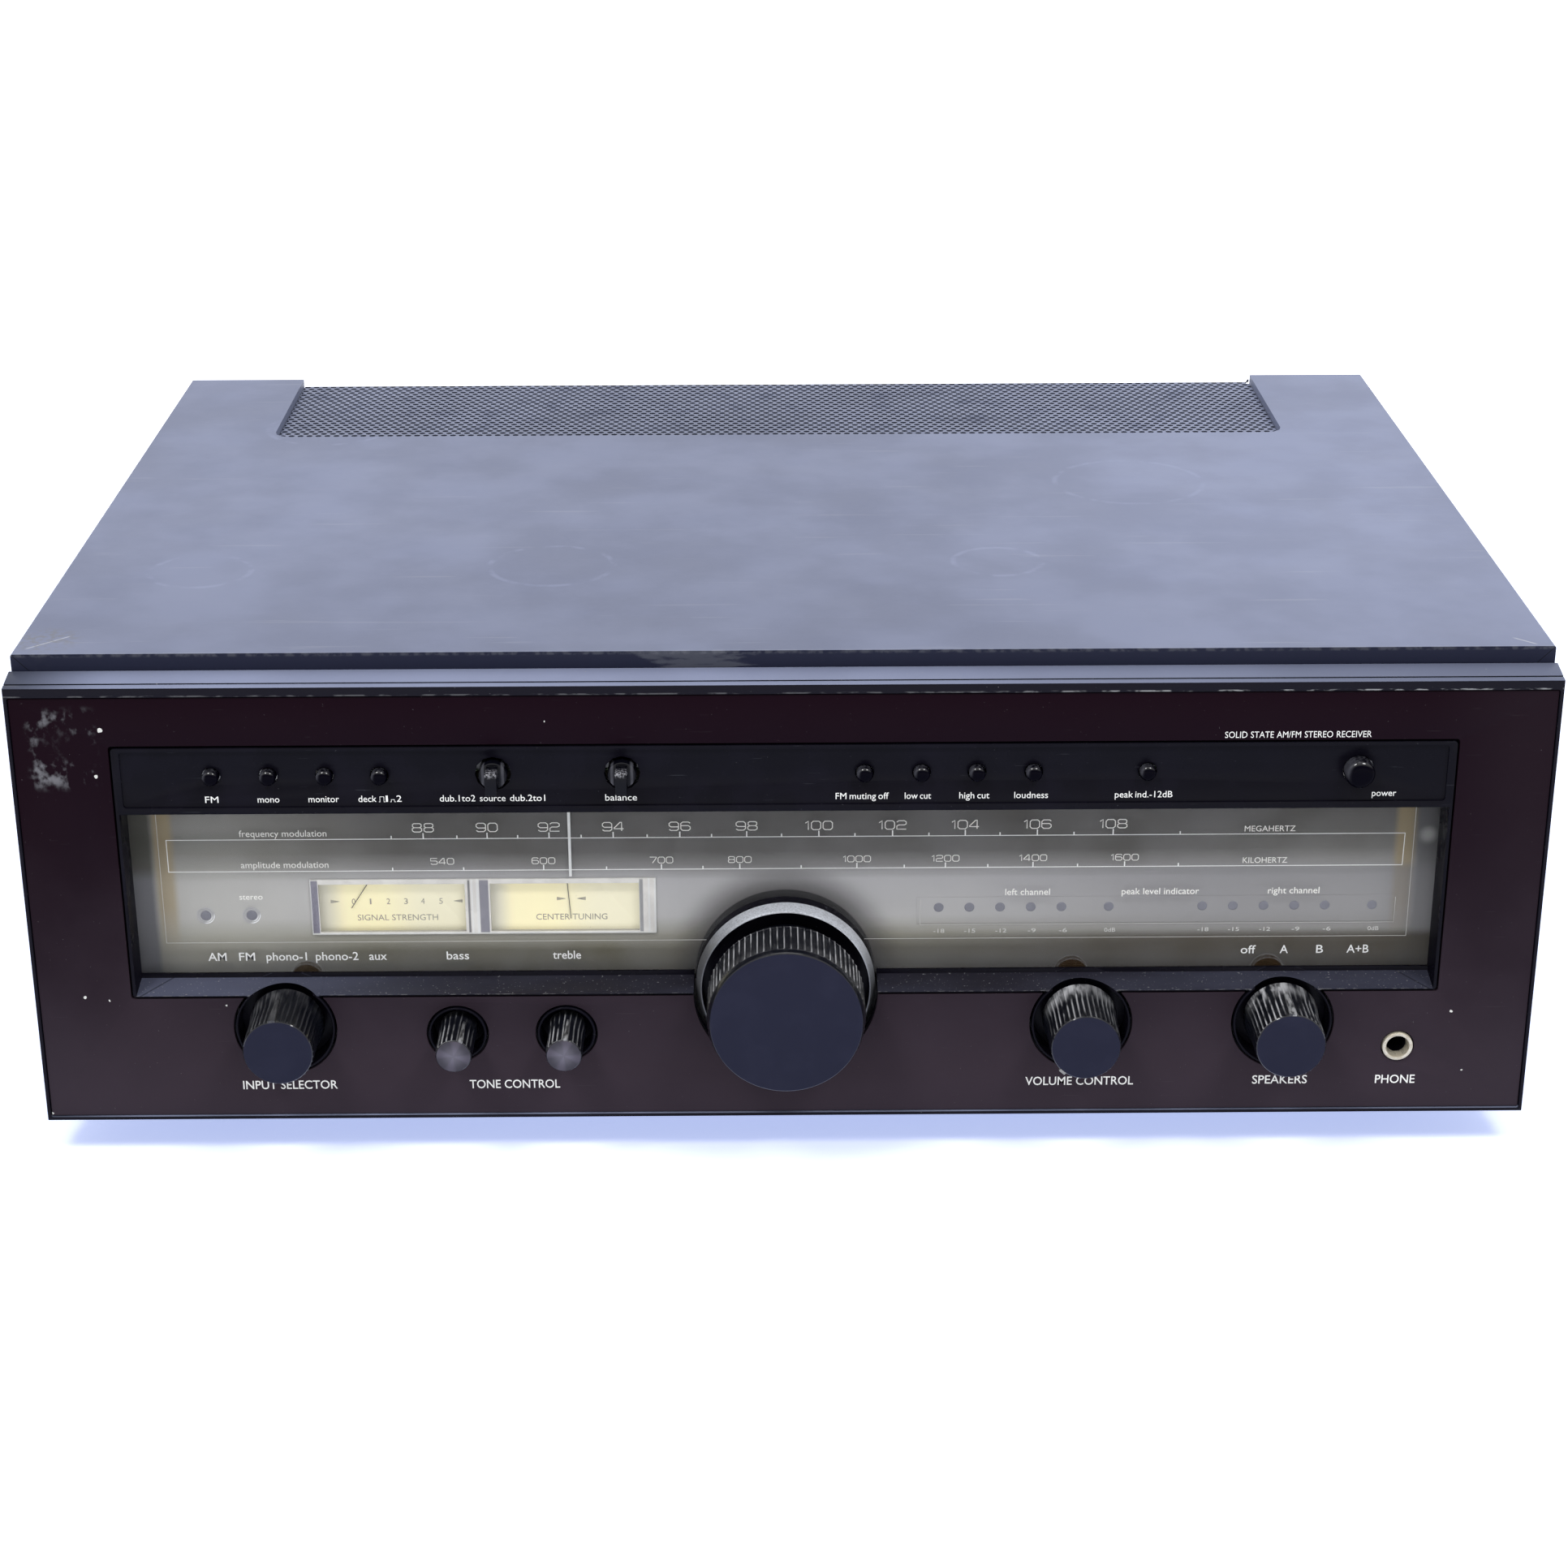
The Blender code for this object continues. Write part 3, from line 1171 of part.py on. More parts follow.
def tuning_collar():
    inner = COLLAR_RADIUS - COLLAR_WALL
    rim = COLLAR_RADIUS - COLLAR_BEVEL
    rear = GLASS_FRONT - GAP
    profile = [
        (rim, COLLAR_FRONT), (COLLAR_RADIUS, COLLAR_FRONT + COLLAR_BEVEL_LENGTH), (COLLAR_RADIUS, rear),
        (COLLAR_BUSH, rear), (COLLAR_BUSH, COLLAR_FLOOR_AT), (inner, COLLAR_FLOOR_AT), (inner, COLLAR_FRONT),
    ]
    turned("tuning_collar", profile, (0, TUNING_HEIGHT), WORN_ALUMINIUM, 2 * ROUND_SIDES, ring=True)


def well_knob(name, centre, sizes):
    """A fluted grip on a wider skirt, with its shaft and the pale ridge that shows its setting."""
    radius, grip, face, proud, band, flutes, depth = sizes
    band_rear = -proud + KNOB_CHAMFER + band
    knob = fluted(name, grip, depth, flutes, (-proud + KNOB_CHAMFER, band_rear), centre, BLACK_PLASTIC)
    chamfer = rod(
        "knob_face", grip - depth, (-proud, -proud + KNOB_CHAMFER + JOIN), centre, sides=ROUND_SIDES,
        front_radius=face,
    )
    skirt = rod(
        "knob_skirt", radius, (band_rear - JOIN, KNOB_BACK), centre, sides=ROUND_SIDES, front_radius=grip
    )
    shaft = rod("knob_shaft", KNOB_SHAFT, (KNOB_BACK - JOIN, KNOB_SHAFT_REAR), centre)
    ridge = box(
        "knob_ridge", both_ways(RIDGE_WIDTH / 2), (-proud + KNOB_CHAMFER, band_rear),
        (grip - depth - JOIN, grip + RIDGE_PROUD), at=(centre[0], 0, centre[1]),
    )
    ridge.rotation_euler.y = KNOB_TURNS[name]
    join(knob, chamfer, skirt, shaft, ridge)


def well_knobs():
    medium = (
        MEDIUM_RADIUS, MEDIUM_GRIP, MEDIUM_FACE_RADIUS, MEDIUM_PROUD, MEDIUM_BAND, MEDIUM_FLUTES,
        MEDIUM_FLUTE_DEPTH,
    )
    small = (
        SMALL_RADIUS, SMALL_GRIP, SMALL_FACE_RADIUS, SMALL_PROUD, SMALL_BAND, SMALL_FLUTES,
        SMALL_FLUTE_DEPTH,
    )
    for name, x in MEDIUM_KNOBS.items():
        well_knob(name, (x, MEDIUM_HEIGHT), medium)
    for name, x in SMALL_KNOBS.items():
        well_knob(name, (x, SMALL_HEIGHT), small)


def finger_knobs():
    half = FINGER_BAR / 2
    reach = math.sqrt(FINGER_RADIUS ** 2 - half ** 2) - GAP
    for name, x in FINGER_PLACES.items():
        centre = (x, FINGER_HEIGHT)
        knob = rod(name, FINGER_RADIUS, (-FINGER_DRUM_PROUD, FINGER_BACK), centre, BLACK_PLASTIC)
        bar = box(
            "finger_bar", both_ways(half), (-FINGER_PROUD, -FINGER_DRUM_PROUD + JOIN), both_ways(reach),
            at=(x, 0, FINGER_HEIGHT),
        )
        shaft = rod("finger_shaft", FINGER_SHAFT, (FINGER_BACK - JOIN, BUTTON_STEM_REAR), centre)
        join(knob, bar, shaft)


def push_button(name, x, radius, proud):
    edge = BUTTON_EDGE
    profile = [
        (0, -proud), (radius - edge, -proud), (radius, edge - proud), (radius, BUTTON_BACK),
        (BUTTON_STEM, BUTTON_BACK), (BUTTON_STEM, BUTTON_STEM_REAR), (0, BUTTON_STEM_REAR),
    ]
    turned(name, profile, (x, BUTTON_HEIGHT), BLACK_PLASTIC, SMALL_SIDES)


def push_buttons():
    for name, x in BUTTON_PLACES.items():
        push_button(name, x, BUTTON_RADIUS, BUTTON_PROUD)
    push_button("power_button", POWER_X, POWER_RADIUS, POWER_PROUD)


def phone_jack():
    centre = (JACK_X, JACK_HEIGHT)
    socket = box(
        "phone_jack", span(JACK_X, JACK_HALF_BODY), (BEHIND_PLATE, JACK_REAR),
        span(JACK_HEIGHT, JACK_HALF_BODY), look=BLACK_PLASTIC,
    )
    join(socket, rod(
        "jack_nose", JACK_HOLE - GAP, (-JACK_PROUD, BEHIND_PLATE + JOIN), centre, sides=ROUND_SIDES
    ))
    bore = rod("jack_bore", JACK_BORE, (-JACK_PROUD - CUT, JACK_BORE_DEPTH), centre, sides=ROUND_SIDES)
    mouth = rod(
        "jack_mouth", JACK_BORE, (-JACK_PROUD - GAP, JACK_COUNTERSINK), centre, sides=ROUND_SIDES,
        front_radius=JACK_BORE + JACK_COUNTERSINK,
    )
    cut(socket, bore, mouth)


def control_bank():
    board = box(
        "control_bank", (INPUT_X - CONTROL_BOARD_MARGIN, SPEAKERS_X + CONTROL_BOARD_MARGIN),
        (CONTROL_REAR, CONTROL_BOARD_REAR), (CONTROL_BOARD_BOTTOM, CONTROL_BOARD_TOP), look=BOARD_GREEN,
    )
    cans = (CONTROL_FRONT, CONTROL_REAR + JOIN)
    join(board, *[rod("control_can", CONTROL_CAN, cans, centre) for centre in CONTROL_PLACES])
    bores = (CONTROL_FRONT - CUT, KNOB_SHAFT_REAR + JOIN)
    cut(board, *[rod("control_bore", KNOB_SHAFT + SHAFT_CLEARANCE, bores, c) for c in CONTROL_PLACES])


def switch_bank():
    bank = box(
        "switch_bank", (min(BUTTON_PLACES.values()) - SWITCH_BANK_MARGIN, POWER_X + SWITCH_BANK_MARGIN),
        (CONTROL_FRONT, SWITCH_BANK_REAR), span(BUTTON_HEIGHT, SWITCH_BANK_HALF_HEIGHT), look=PLATED_SHEET,
    )
    depth = (CONTROL_FRONT - CUT, BUTTON_STEM_REAR + BUTTON_TRAVEL + JOIN)
    bores = [rod("stem_bore", BUTTON_STEM + STEM_CLEARANCE, depth, c) for c in STEM_PLACES]
    bores += [rod("finger_bore", FINGER_SHAFT + SHAFT_CLEARANCE, depth, c) for c in FINGER_CENTRES]
    cut(bank, *bores)


def sub_front():
    """The plate behind the dial: it carries the rail, the pulleys, the meters and every shaft."""
    plate = box(
        "sub_front", both_ways(CABINET_HALF_INSIDE - GAP), (SUB_FRONT_AT, SUB_FRONT_REAR),
        (ON_BASE, SUB_FRONT_TOP), look=PLATED_SHEET,
    )
    inside_plate = SUB_FRONT_AT + SHEET / 2
    studs = (CORD_AT - PULLEY_HALF_WIDTH - GAP, inside_plate)
    additions = [
        rod("pulley_stud", PULLEY_BORE - SHAFT_CLEARANCE, studs, (x, PULLEY_HEIGHT))
        for x in PULLEYS.values()
    ]
    for side in (-1, 1):
        ear_x = sorted((side * RAIL_HALF_LENGTH, side * (RAIL_HALF_LENGTH + RAIL_EAR)))
        additions.append(box(
            "rail_ear", ear_x, (RAIL_AT - RAIL_EAR_HALF_HEIGHT, inside_plate),
            span(PULLEY_HEIGHT, RAIL_EAR_HALF_HEIGHT),
        ))
    join(plate, *additions)
    cut(plate, *sub_front_holes())


def sub_front_holes():
    through = (SUB_FRONT_AT - CUT, SUB_FRONT_REAR + CUT)
    tools = [rod("stem_hole", BUTTON_STEM + STEM_CLEARANCE, through, c) for c in STEM_PLACES]
    tools += [rod("finger_shaft_hole", FINGER_SHAFT + SHAFT_CLEARANCE, through, c) for c in FINGER_CENTRES]
    shafts = [*CONTROL_PLACES, (0, TUNING_HEIGHT), (0, DRUM_HEIGHT)]
    tools += [rod("shaft_hole", KNOB_SHAFT + SHAFT_CLEARANCE, through, centre) for centre in shafts]
    for face in (SIGNAL_FACE, TUNING_FACE):
        tools.append(box(
            "meter_opening", (face[0] - METER_MARGIN - GAP, face[1] + METER_MARGIN + GAP), through,
            (METER_FACE_BOTTOM - METER_BELOW - GAP, NEEDLE_PIVOT_HEIGHT + METER_ABOVE_PIVOT + GAP),
        ))
    tools.append(box(
        "jack_opening", span(JACK_X, JACK_HALF_BODY + GAP), through,
        span(JACK_HEIGHT, JACK_HALF_BODY + GAP),
    ))
    rail_y = (RAIL_AT, PULLEY_HEIGHT)
    half = RAIL_HALF_LENGTH + RAIL_EAR + CUT
    tools.append(crossbar("rail_ear_hole", RAIL_RADIUS + SHAFT_CLEARANCE, both_ways(half), rail_y))
    return tools


def chassis_base():
    box(
        "chassis_base", both_ways(CABINET_HALF_INSIDE - GAP), (BASE_FRONT, CABINET_REAR - SHEET),
        (BASE_HEIGHT, BASE_TOP), look=PLATED_SHEET,
    )


def feet():
    top = BASE_HEIGHT - GAP
    profile = [
        (0, top), (FOOT_TOP_RADIUS, top), (FOOT_RADIUS, FOOT_EDGE - FOOT_HEIGHT),
        (FOOT_RADIUS - FOOT_EDGE, -FOOT_HEIGHT), (0, -FOOT_HEIGHT),
    ]
    for end, y in (("front", FOOT_FRONT_Y), ("rear", FOOT_REAR_Y)):
        for side, x in (("left", -FOOT_X), ("right", FOOT_X)):
            standing(f"{end}_{side}_foot", profile, (x, y, 0), RUBBER_BLACK, 2 * SMALL_SIDES)


def power_transformer():
    top = ON_BASE + TRANSFORMER_HEIGHT
    inset = TRANSFORMER_COIL_INSET
    core = box("power_transformer", TRANSFORMER_X, TRANSFORMER_Y, (ON_BASE, top), look=STEEL)
    coil = box(
        "transformer_coil", (TRANSFORMER_X[0] + inset, TRANSFORMER_X[1] - inset), TRANSFORMER_COIL_Y,
        (ON_BASE + inset, top - inset), edge=TRANSFORMER_FOOT_THICKNESS,
    )
    flange = box(
        "transformer_foot", (TRANSFORMER_X[0] - TRANSFORMER_FOOT, TRANSFORMER_X[1] + TRANSFORMER_FOOT),
        TRANSFORMER_Y, (ON_BASE, ON_BASE + TRANSFORMER_FOOT_THICKNESS),
    )
    join(core, coil, flange)


def main_board():
    board = box(
        "main_board", BOARD_X, BOARD_Y, (BOARD_BOTTOM, BOARD_BOTTOM + BOARD_THICKNESS), look=BOARD_GREEN
    )
    inset = BOARD_POST_INSET
    posts = [
        vertical_box("board_post", x, y, BOARD_POST, (ON_BASE, BOARD_BOTTOM + BOARD_THICKNESS / 2))
        for x in (BOARD_X[0] + inset, BOARD_X[1] - inset)
        for y in (BOARD_Y[0] + inset, BOARD_Y[1] - inset)
    ]
    join(board, *posts)


def filter_capacitors():
    bottom = BOARD_BOTTOM + BOARD_THICKNESS + GAP
    top = bottom + CAPACITOR_HEIGHT
    edge = CAPACITOR_EDGE
    profile = [
        (0, top), (CAPACITOR_RADIUS - edge, top), (CAPACITOR_RADIUS, top - edge),
        (CAPACITOR_RADIUS, bottom), (0, bottom),
    ]
    for side, x in zip(("left", "right"), CAPACITOR_X):
        standing(f"{side}_filter_capacitor", profile, (x, CAPACITOR_Y, 0), NAVY_LACQUER)


def heat_sink():
    sink = box("heat_sink", SINK_X, SINK_Y, (ON_BASE, ON_BASE + SINK_BASE), look=WORN_ALUMINIUM)
    pitch = (SINK_X[1] - SINK_X[0] - SINK_FIN) / (SINK_FINS - 1)
    join(sink, *[
        box(
            "sink_fin", (SINK_X[0] + n * pitch, SINK_X[0] + n * pitch + SINK_FIN), SINK_Y,
            (ON_BASE, ON_BASE + SINK_HEIGHT),
        )
        for n in range(SINK_FINS)
    ])


def rear_panel():
    """The rear plate, with the two ears and the pin of the rod antenna."""
    panel = box(
        "rear_panel", both_ways(CABINET_HALF_INSIDE - GAP), (REAR_PANEL_AT, REAR_PANEL_REAR),
        (ON_BASE, VENT_BOTTOM - GAP), look=PLATED_SHEET,
    )
    gap = ROD_ARM_HALF_HEIGHT + GAP
    ear_x = span(ROD_HINGE_X, ROD_BRACKET_HALF_WIDTH)
    ear_y = (REAR_PANEL_AT + SHEET / 2, ROD_AXIS_AT + ROD_BRACKET_HALF_WIDTH / 2)
    ears = [
        box("rod_ear", ear_x, ear_y, (ROD_HEIGHT + gap, ROD_HEIGHT + gap + ROD_BRACKET_THICKNESS)),
        box("rod_ear", ear_x, ear_y, (ROD_HEIGHT - gap - ROD_BRACKET_THICKNESS, ROD_HEIGHT - gap)),
    ]
    reach = gap + ROD_BRACKET_THICKNESS / 2
    pin = upright_rod("rod_pin", ROD_PIN, (ROD_HINGE_X, ROD_AXIS_AT), span(ROD_HEIGHT, reach))
    join(panel, *ears, pin)


def upright_rod(name, radius, centre, z, look=None, sides=SMALL_SIDES):
    """A cylinder along Z, centred on a pair of X and Y. Its origin is on its axis."""
    form = bmesh.new()
    bmesh.ops.create_cone(
        form, cap_ends=True, segments=sides, radius1=radius, radius2=radius, depth=z[1] - z[0]
    )
    bmesh.ops.translate(form, verts=form.verts, vec=(0, 0, (z[0] + z[1]) / 2))
    return place(name, mesh_from(name, form), (*centre, 0), look)


def am_antenna():
    arm = upright_rod(
        "am_antenna", ROD_ARM_RADIUS, (ROD_HINGE_X, ROD_AXIS_AT), span(ROD_HEIGHT, ROD_ARM_HALF_HEIGHT),
        BLACK_PLASTIC,
    )
    along = (ROD_HINGE_X - ROD_LENGTH, ROD_HINGE_X)
    ferrite = crossbar("ferrite_rod", ROD_RADIUS, along, (ROD_AXIS_AT, ROD_HEIGHT))
    join(arm, ferrite)
    reach = ROD_ARM_HALF_HEIGHT + CUT
    cut(arm, upright_rod("rod_bore", ROD_BORE, (ROD_HINGE_X, ROD_AXIS_AT), span(ROD_HEIGHT, reach)))


def phono_sockets():
    plate = (BEHIND_REAR, BEHIND_REAR + TERMINAL_PLATE)
    sockets = box(
        "phono_sockets", PHONO_X, plate, (PHONO_HEIGHTS[0] - PHONO_MARGIN, PHONO_HEIGHTS[1] + PHONO_MARGIN),
        look=BLACK_PLASTIC,
    )
    middle = (PHONO_X[0] + PHONO_X[1]) / 2
    first = middle - PHONO_STEP * (PHONO_COLUMNS - 1) / 2
    places = [(first + n * PHONO_STEP, z) for n in range(PHONO_COLUMNS) for z in PHONO_HEIGHTS]
    shells = (plate[1] - JOIN, REARMOST)
    join(sockets, *[rod("phono_shell", PHONO_RADIUS, shells, centre) for centre in places])
    bores = (plate[1] + TERMINAL_PLATE, REARMOST + CUT)
    cut(sockets, *[rod("phono_bore", PHONO_BORE, bores, c, sides=SMALL_SIDES // 2) for c in places])


def speaker_terminals():
    block = (BEHIND_REAR, BEHIND_REAR + SPEAKER_DEPTH)
    terminals = box("speaker_terminals", SPEAKER_X, block, (SPEAKER_BOTTOM, SPEAKER_TOP), look=BLACK_PLASTIC)
    pitch = (SPEAKER_X[1] - SPEAKER_X[0]) / SPEAKER_TABS
    proud = (block[1] - JOIN, block[1] + SPEAKER_TAB_PROUD - TERMINAL_PLATE)
    quarter = (SPEAKER_TOP - SPEAKER_BOTTOM) / 4
    join(terminals, *[
        box(
            "speaker_tab", span(SPEAKER_X[0] + pitch * (n + 1 / 2), SPEAKER_TAB / 2), proud,
            span(height, SPEAKER_TAB_HEIGHT / 2),
        )
        for n in range(SPEAKER_TABS)
        for height in (SPEAKER_BOTTOM + quarter, SPEAKER_TOP - quarter)
    ])


def antenna_terminals():
    block = (BEHIND_REAR, BEHIND_REAR + ANTENNA_DEPTH)
    terminals = box("antenna_terminals", ANTENNA_X, block, (ANTENNA_BOTTOM, ANTENNA_TOP), look=BLACK_PLASTIC)
    pitch = (ANTENNA_X[1] - ANTENNA_X[0]) / ANTENNA_SCREWS
    heads = (block[1] - JOIN, block[1] + ANTENNA_SCREW_PROUD)
    height = (ANTENNA_BOTTOM + ANTENNA_TOP) / 2
    join(terminals, *[
        rod("antenna_screw", ANTENNA_SCREW, heads, (ANTENNA_X[0] + pitch * (n + 1 / 2), height))
        for n in range(ANTENNA_SCREWS)
    ])


def mains_inlet():
    rear = BEHIND_REAR + INLET_DEPTH
    inlet = box("mains_inlet", INLET_X, (BEHIND_REAR, rear), (INLET_BOTTOM, INLET_TOP), look=BLACK_PLASTIC)
    wall = INLET_WALL
    floor = rear - INLET_POCKET
    cut(inlet, box(
        "inlet_pocket", (INLET_X[0] + wall, INLET_X[1] - wall), (floor, rear + CUT),
        (INLET_BOTTOM + wall, INLET_TOP - wall),
    ))
    middle = (INLET_X[0] + INLET_X[1]) / 2
    height = (INLET_BOTTOM + INLET_TOP) / 2
    join(inlet, *[
        rod("inlet_pin", INLET_PIN, (floor - JOIN, floor + INLET_PIN_LENGTH), (x, height))
        for x in span(middle, INLET_PIN_APART / 2)
    ])


def main():
    empty_scene()
    cabinet()
    vent_grille()
    front_frame()
    front_plate()
    window_bezel()
    dial_window()
    dial_scale()
    meters()
    needles()
    led_bar()
    dial_pointer()
    pointer_rail()
    pulleys()
    dial_drum()
    tuning_flywheel()
    dial_cord()
    gang_frame()
    gang_rotor()
    tuning_knob()
    tuning_collar()
    well_knobs()
    finger_knobs()
    push_buttons()
    phone_jack()
    control_bank()
    switch_bank()
    sub_front()
    chassis_base()
    feet()
    power_transformer()
    main_board()
    filter_capacitors()
    heat_sink()
    rear_panel()
    am_antenna()
    phono_sockets()
    speaker_terminals()
    antenna_terminals()
    mains_inlet()
    bpy.context.view_layer.update()


main()
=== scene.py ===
"""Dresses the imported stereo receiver: detailed pieces, worn finishes, lettering, studio and camera.

Places are given from the front panel in millimetres: X across from its middle, Y back from its face
and Z up from its bottom edge.
"""

import math

import bmesh
import bpy
from mathutils import Matrix, Vector


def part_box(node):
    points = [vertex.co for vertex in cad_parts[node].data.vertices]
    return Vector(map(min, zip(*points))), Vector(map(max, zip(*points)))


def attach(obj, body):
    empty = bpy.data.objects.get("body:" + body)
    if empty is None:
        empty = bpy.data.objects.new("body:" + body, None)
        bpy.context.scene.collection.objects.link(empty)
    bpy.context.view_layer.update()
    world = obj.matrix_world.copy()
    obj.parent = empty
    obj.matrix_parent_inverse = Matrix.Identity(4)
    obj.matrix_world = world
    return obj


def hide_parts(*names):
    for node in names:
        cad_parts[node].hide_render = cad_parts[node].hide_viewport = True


bl_info = {
    "name": "Stereo receiver",
    "version": (1, 0, 0),
    "blender": (4, 5, 0),
    "location": "3D View > Sidebar > Receiver",
    "description": "Dresses the packed stereo receiver with detailed pieces and worn finishes",
    "category": "Object",
}

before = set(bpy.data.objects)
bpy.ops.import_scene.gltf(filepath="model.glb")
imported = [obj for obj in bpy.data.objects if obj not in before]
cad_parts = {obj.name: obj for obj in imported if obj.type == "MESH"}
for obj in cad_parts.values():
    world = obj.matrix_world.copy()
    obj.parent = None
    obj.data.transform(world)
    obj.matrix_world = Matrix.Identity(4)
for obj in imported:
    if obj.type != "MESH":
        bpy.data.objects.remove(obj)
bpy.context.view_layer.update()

MM = 0.001
PANEL_FACE = -161.1
PANEL_FOOT = 13.2
CABINET_TOP = 158.8
CABINET_HALF = 241.6
MEDIUM_WELLS = {"input_knob": -162.5, "volume_knob": 96.0, "speakers_knob": 161.7}
SMALL_WELLS = {"bass_knob": -106.7, "treble_knob": -71.3}
MEDIUM_UP = 33.1
SMALL_UP = 30.7
TUNING_AT = (0, 45.1)
TUNING_RADIUS = 25.4
INDICATOR_UP = 66.3
BUTTON_UP = 121.3
POWER_AT = (180.4, 121.3)
FINGERS = {"dubbing_knob": -91.7, "balance_knob": -51.2}
FINGER_UP = 121.7
JACK_AT = (199.8, 24.1)


def spot(x, y, z):
    """World place, in metres, of a place given from the front panel in millimetres."""
    return Vector((x, y + PANEL_FACE, z + PANEL_FOOT)) * MM


def depth_at(y):
    """World Y, in metres, of a depth behind the panel's face in millimetres."""
    return (y + PANEL_FACE) * MM


def length(name, about, default):
    return bpy.props.FloatProperty(name=name, description=about, default=default, unit="LENGTH", precision=5)


def colour(name, about, default):
    return bpy.props.FloatVectorProperty(
        name=name, description=about, default=default, subtype="COLOR", size=3, min=0, max=1
    )


def count(name, about, default):
    return bpy.props.IntProperty(name=name, description=about, default=default, min=3)


class ReceiverSizes(bpy.types.PropertyGroup):
    """Sizes of the visible pieces."""

    hole_pitch: length("Hole pitch", "Distance between the grille's holes along a row", 0.0035)
    hole_radius: length("Hole radius", "Radius of a hole in the grille", 0.00125)
    moulding_edge: length("Moulding edge", "Rounding along the edges of moulded pieces", 0.00018)
    print_thickness: length("Print thickness", "How far printed words stand off their plate", 0.00004)
    plate_letters: length("Plate letters", "Height of the capitals on the front plate", 0.0030)
    tuning_flutes: count("Tuning flutes", "Flutes round the tuning knob", 72)
    knob_flutes: count("Knob flutes", "Flutes round each knob in a large well", 40)
    small_knob_flutes: count("Small knob flutes", "Flutes round each tone knob", 20)


class ReceiverColours(bpy.types.PropertyGroup):
    """Colours of the finishes, as a plain light shows them."""

    slate: colour("Slate enamel", "Cabinet sleeve", (0.198, 0.219, 0.315))
    navy: colour("Navy lacquer", "Frame round the front and the sleeve's front edge", (0.0075, 0.0068, 0.012))
    plate_top: colour("Plate, top", "Front plate near its top edge", (0.0060, 0.0008, 0.0040))
    plate_bottom: colour("Plate, bottom", "Front plate near its bottom edge", (0.039, 0.0285, 0.039))
    moulding: colour("Black moulding", "Bezel and button strip", (0.0040, 0.0036, 0.0068))
    knob: colour("Knob plastic", "Knobs", (0.005, 0.0055, 0.009))
    silver: colour("Worn silver", "Ring round the tuning knob", (0.50, 0.52, 0.56))
    meter: colour("Meter cream", "Faces of the two meters", (0.86, 0.81, 0.60))
    ink: colour("Faded ink", "Printing on the meters", (0.25, 0.235, 0.20))
    print: colour("White print", "Words and lines", (0.90, 0.89, 0.85))
    lens: colour("Lamp lens", "Unlit lamps behind the window", (0.17, 0.17, 0.20))
    jack: colour("Socket ring", "Ring of the headphone socket", (0.80, 0.74, 0.60))


def sizes():
    return bpy.context.scene.receiver_sizes


def colours():
    return bpy.context.scene.receiver_colours


class Value:
    """An output of a node that adds, multiplies and is raised to a power as a number is."""

    def __init__(self, nodes, socket):
        self.nodes = nodes
        self.socket = socket

    def maths(self, operation, first, second=0.0):
        return self.nodes.node("ShaderNodeMath", {"operation": operation}, {0: first, 1: second})

    def __add__(self, other):
        return self.maths("ADD", self, other)

    def __sub__(self, other):
        return self.maths("SUBTRACT", self, other)

    def __rsub__(self, other):
        return self.maths("SUBTRACT", other, self)

    def __mul__(self, other):
        return self.maths("MULTIPLY", self, other)

    def __truediv__(self, other):
        return self.maths("DIVIDE", self, other)

    def __pow__(self, other):
        return self.maths("POWER", self, other)

    def __abs__(self):
        return self.maths("ABSOLUTE", self)


class Nodes:
    """A node tree that is built up node by node."""

    def __init__(self, tree):
        self.tree = tree

    def fill(self, socket, value):
        if isinstance(value, Value):
            self.tree.links.new(value.socket, socket)
        elif socket.type == "RGBA":
            socket.default_value = (*value[:3], 1)
        else:
            socket.default_value = value

    def node(self, kind, settings=None, inputs=None, output=0):
        """Adds a node, its settings first, then the values or links of its sockets."""
        made = self.tree.nodes.new(kind)
        for name, value in (settings or {}).items():
            if name == "stops":
                for _ in value[2:]:
                    made.color_ramp.elements.new(1)
                for element, (place, shade) in zip(made.color_ramp.elements, value):
                    element.position = place
                    element.color = (*shade, 1)
            else:
                setattr(made, name, value)
        for name, value in (inputs or {}).items():
            self.fill(made.inputs[name], value)
        return Value(self, made.outputs[output])

    def seen(self):
        """1 where the camera looks at it straight, by a reflection or through something clear."""
        shown = self.node("ShaderNodeLightPath", output="Is Camera Ray")
        for ray in ("Is Glossy Ray", "Is Transmission Ray"):
            also = self.node("ShaderNodeLightPath", output=ray)
            shown = self.node("ShaderNodeMath", {"operation": "MAXIMUM"}, {0: shown, 1: also})
        return shown


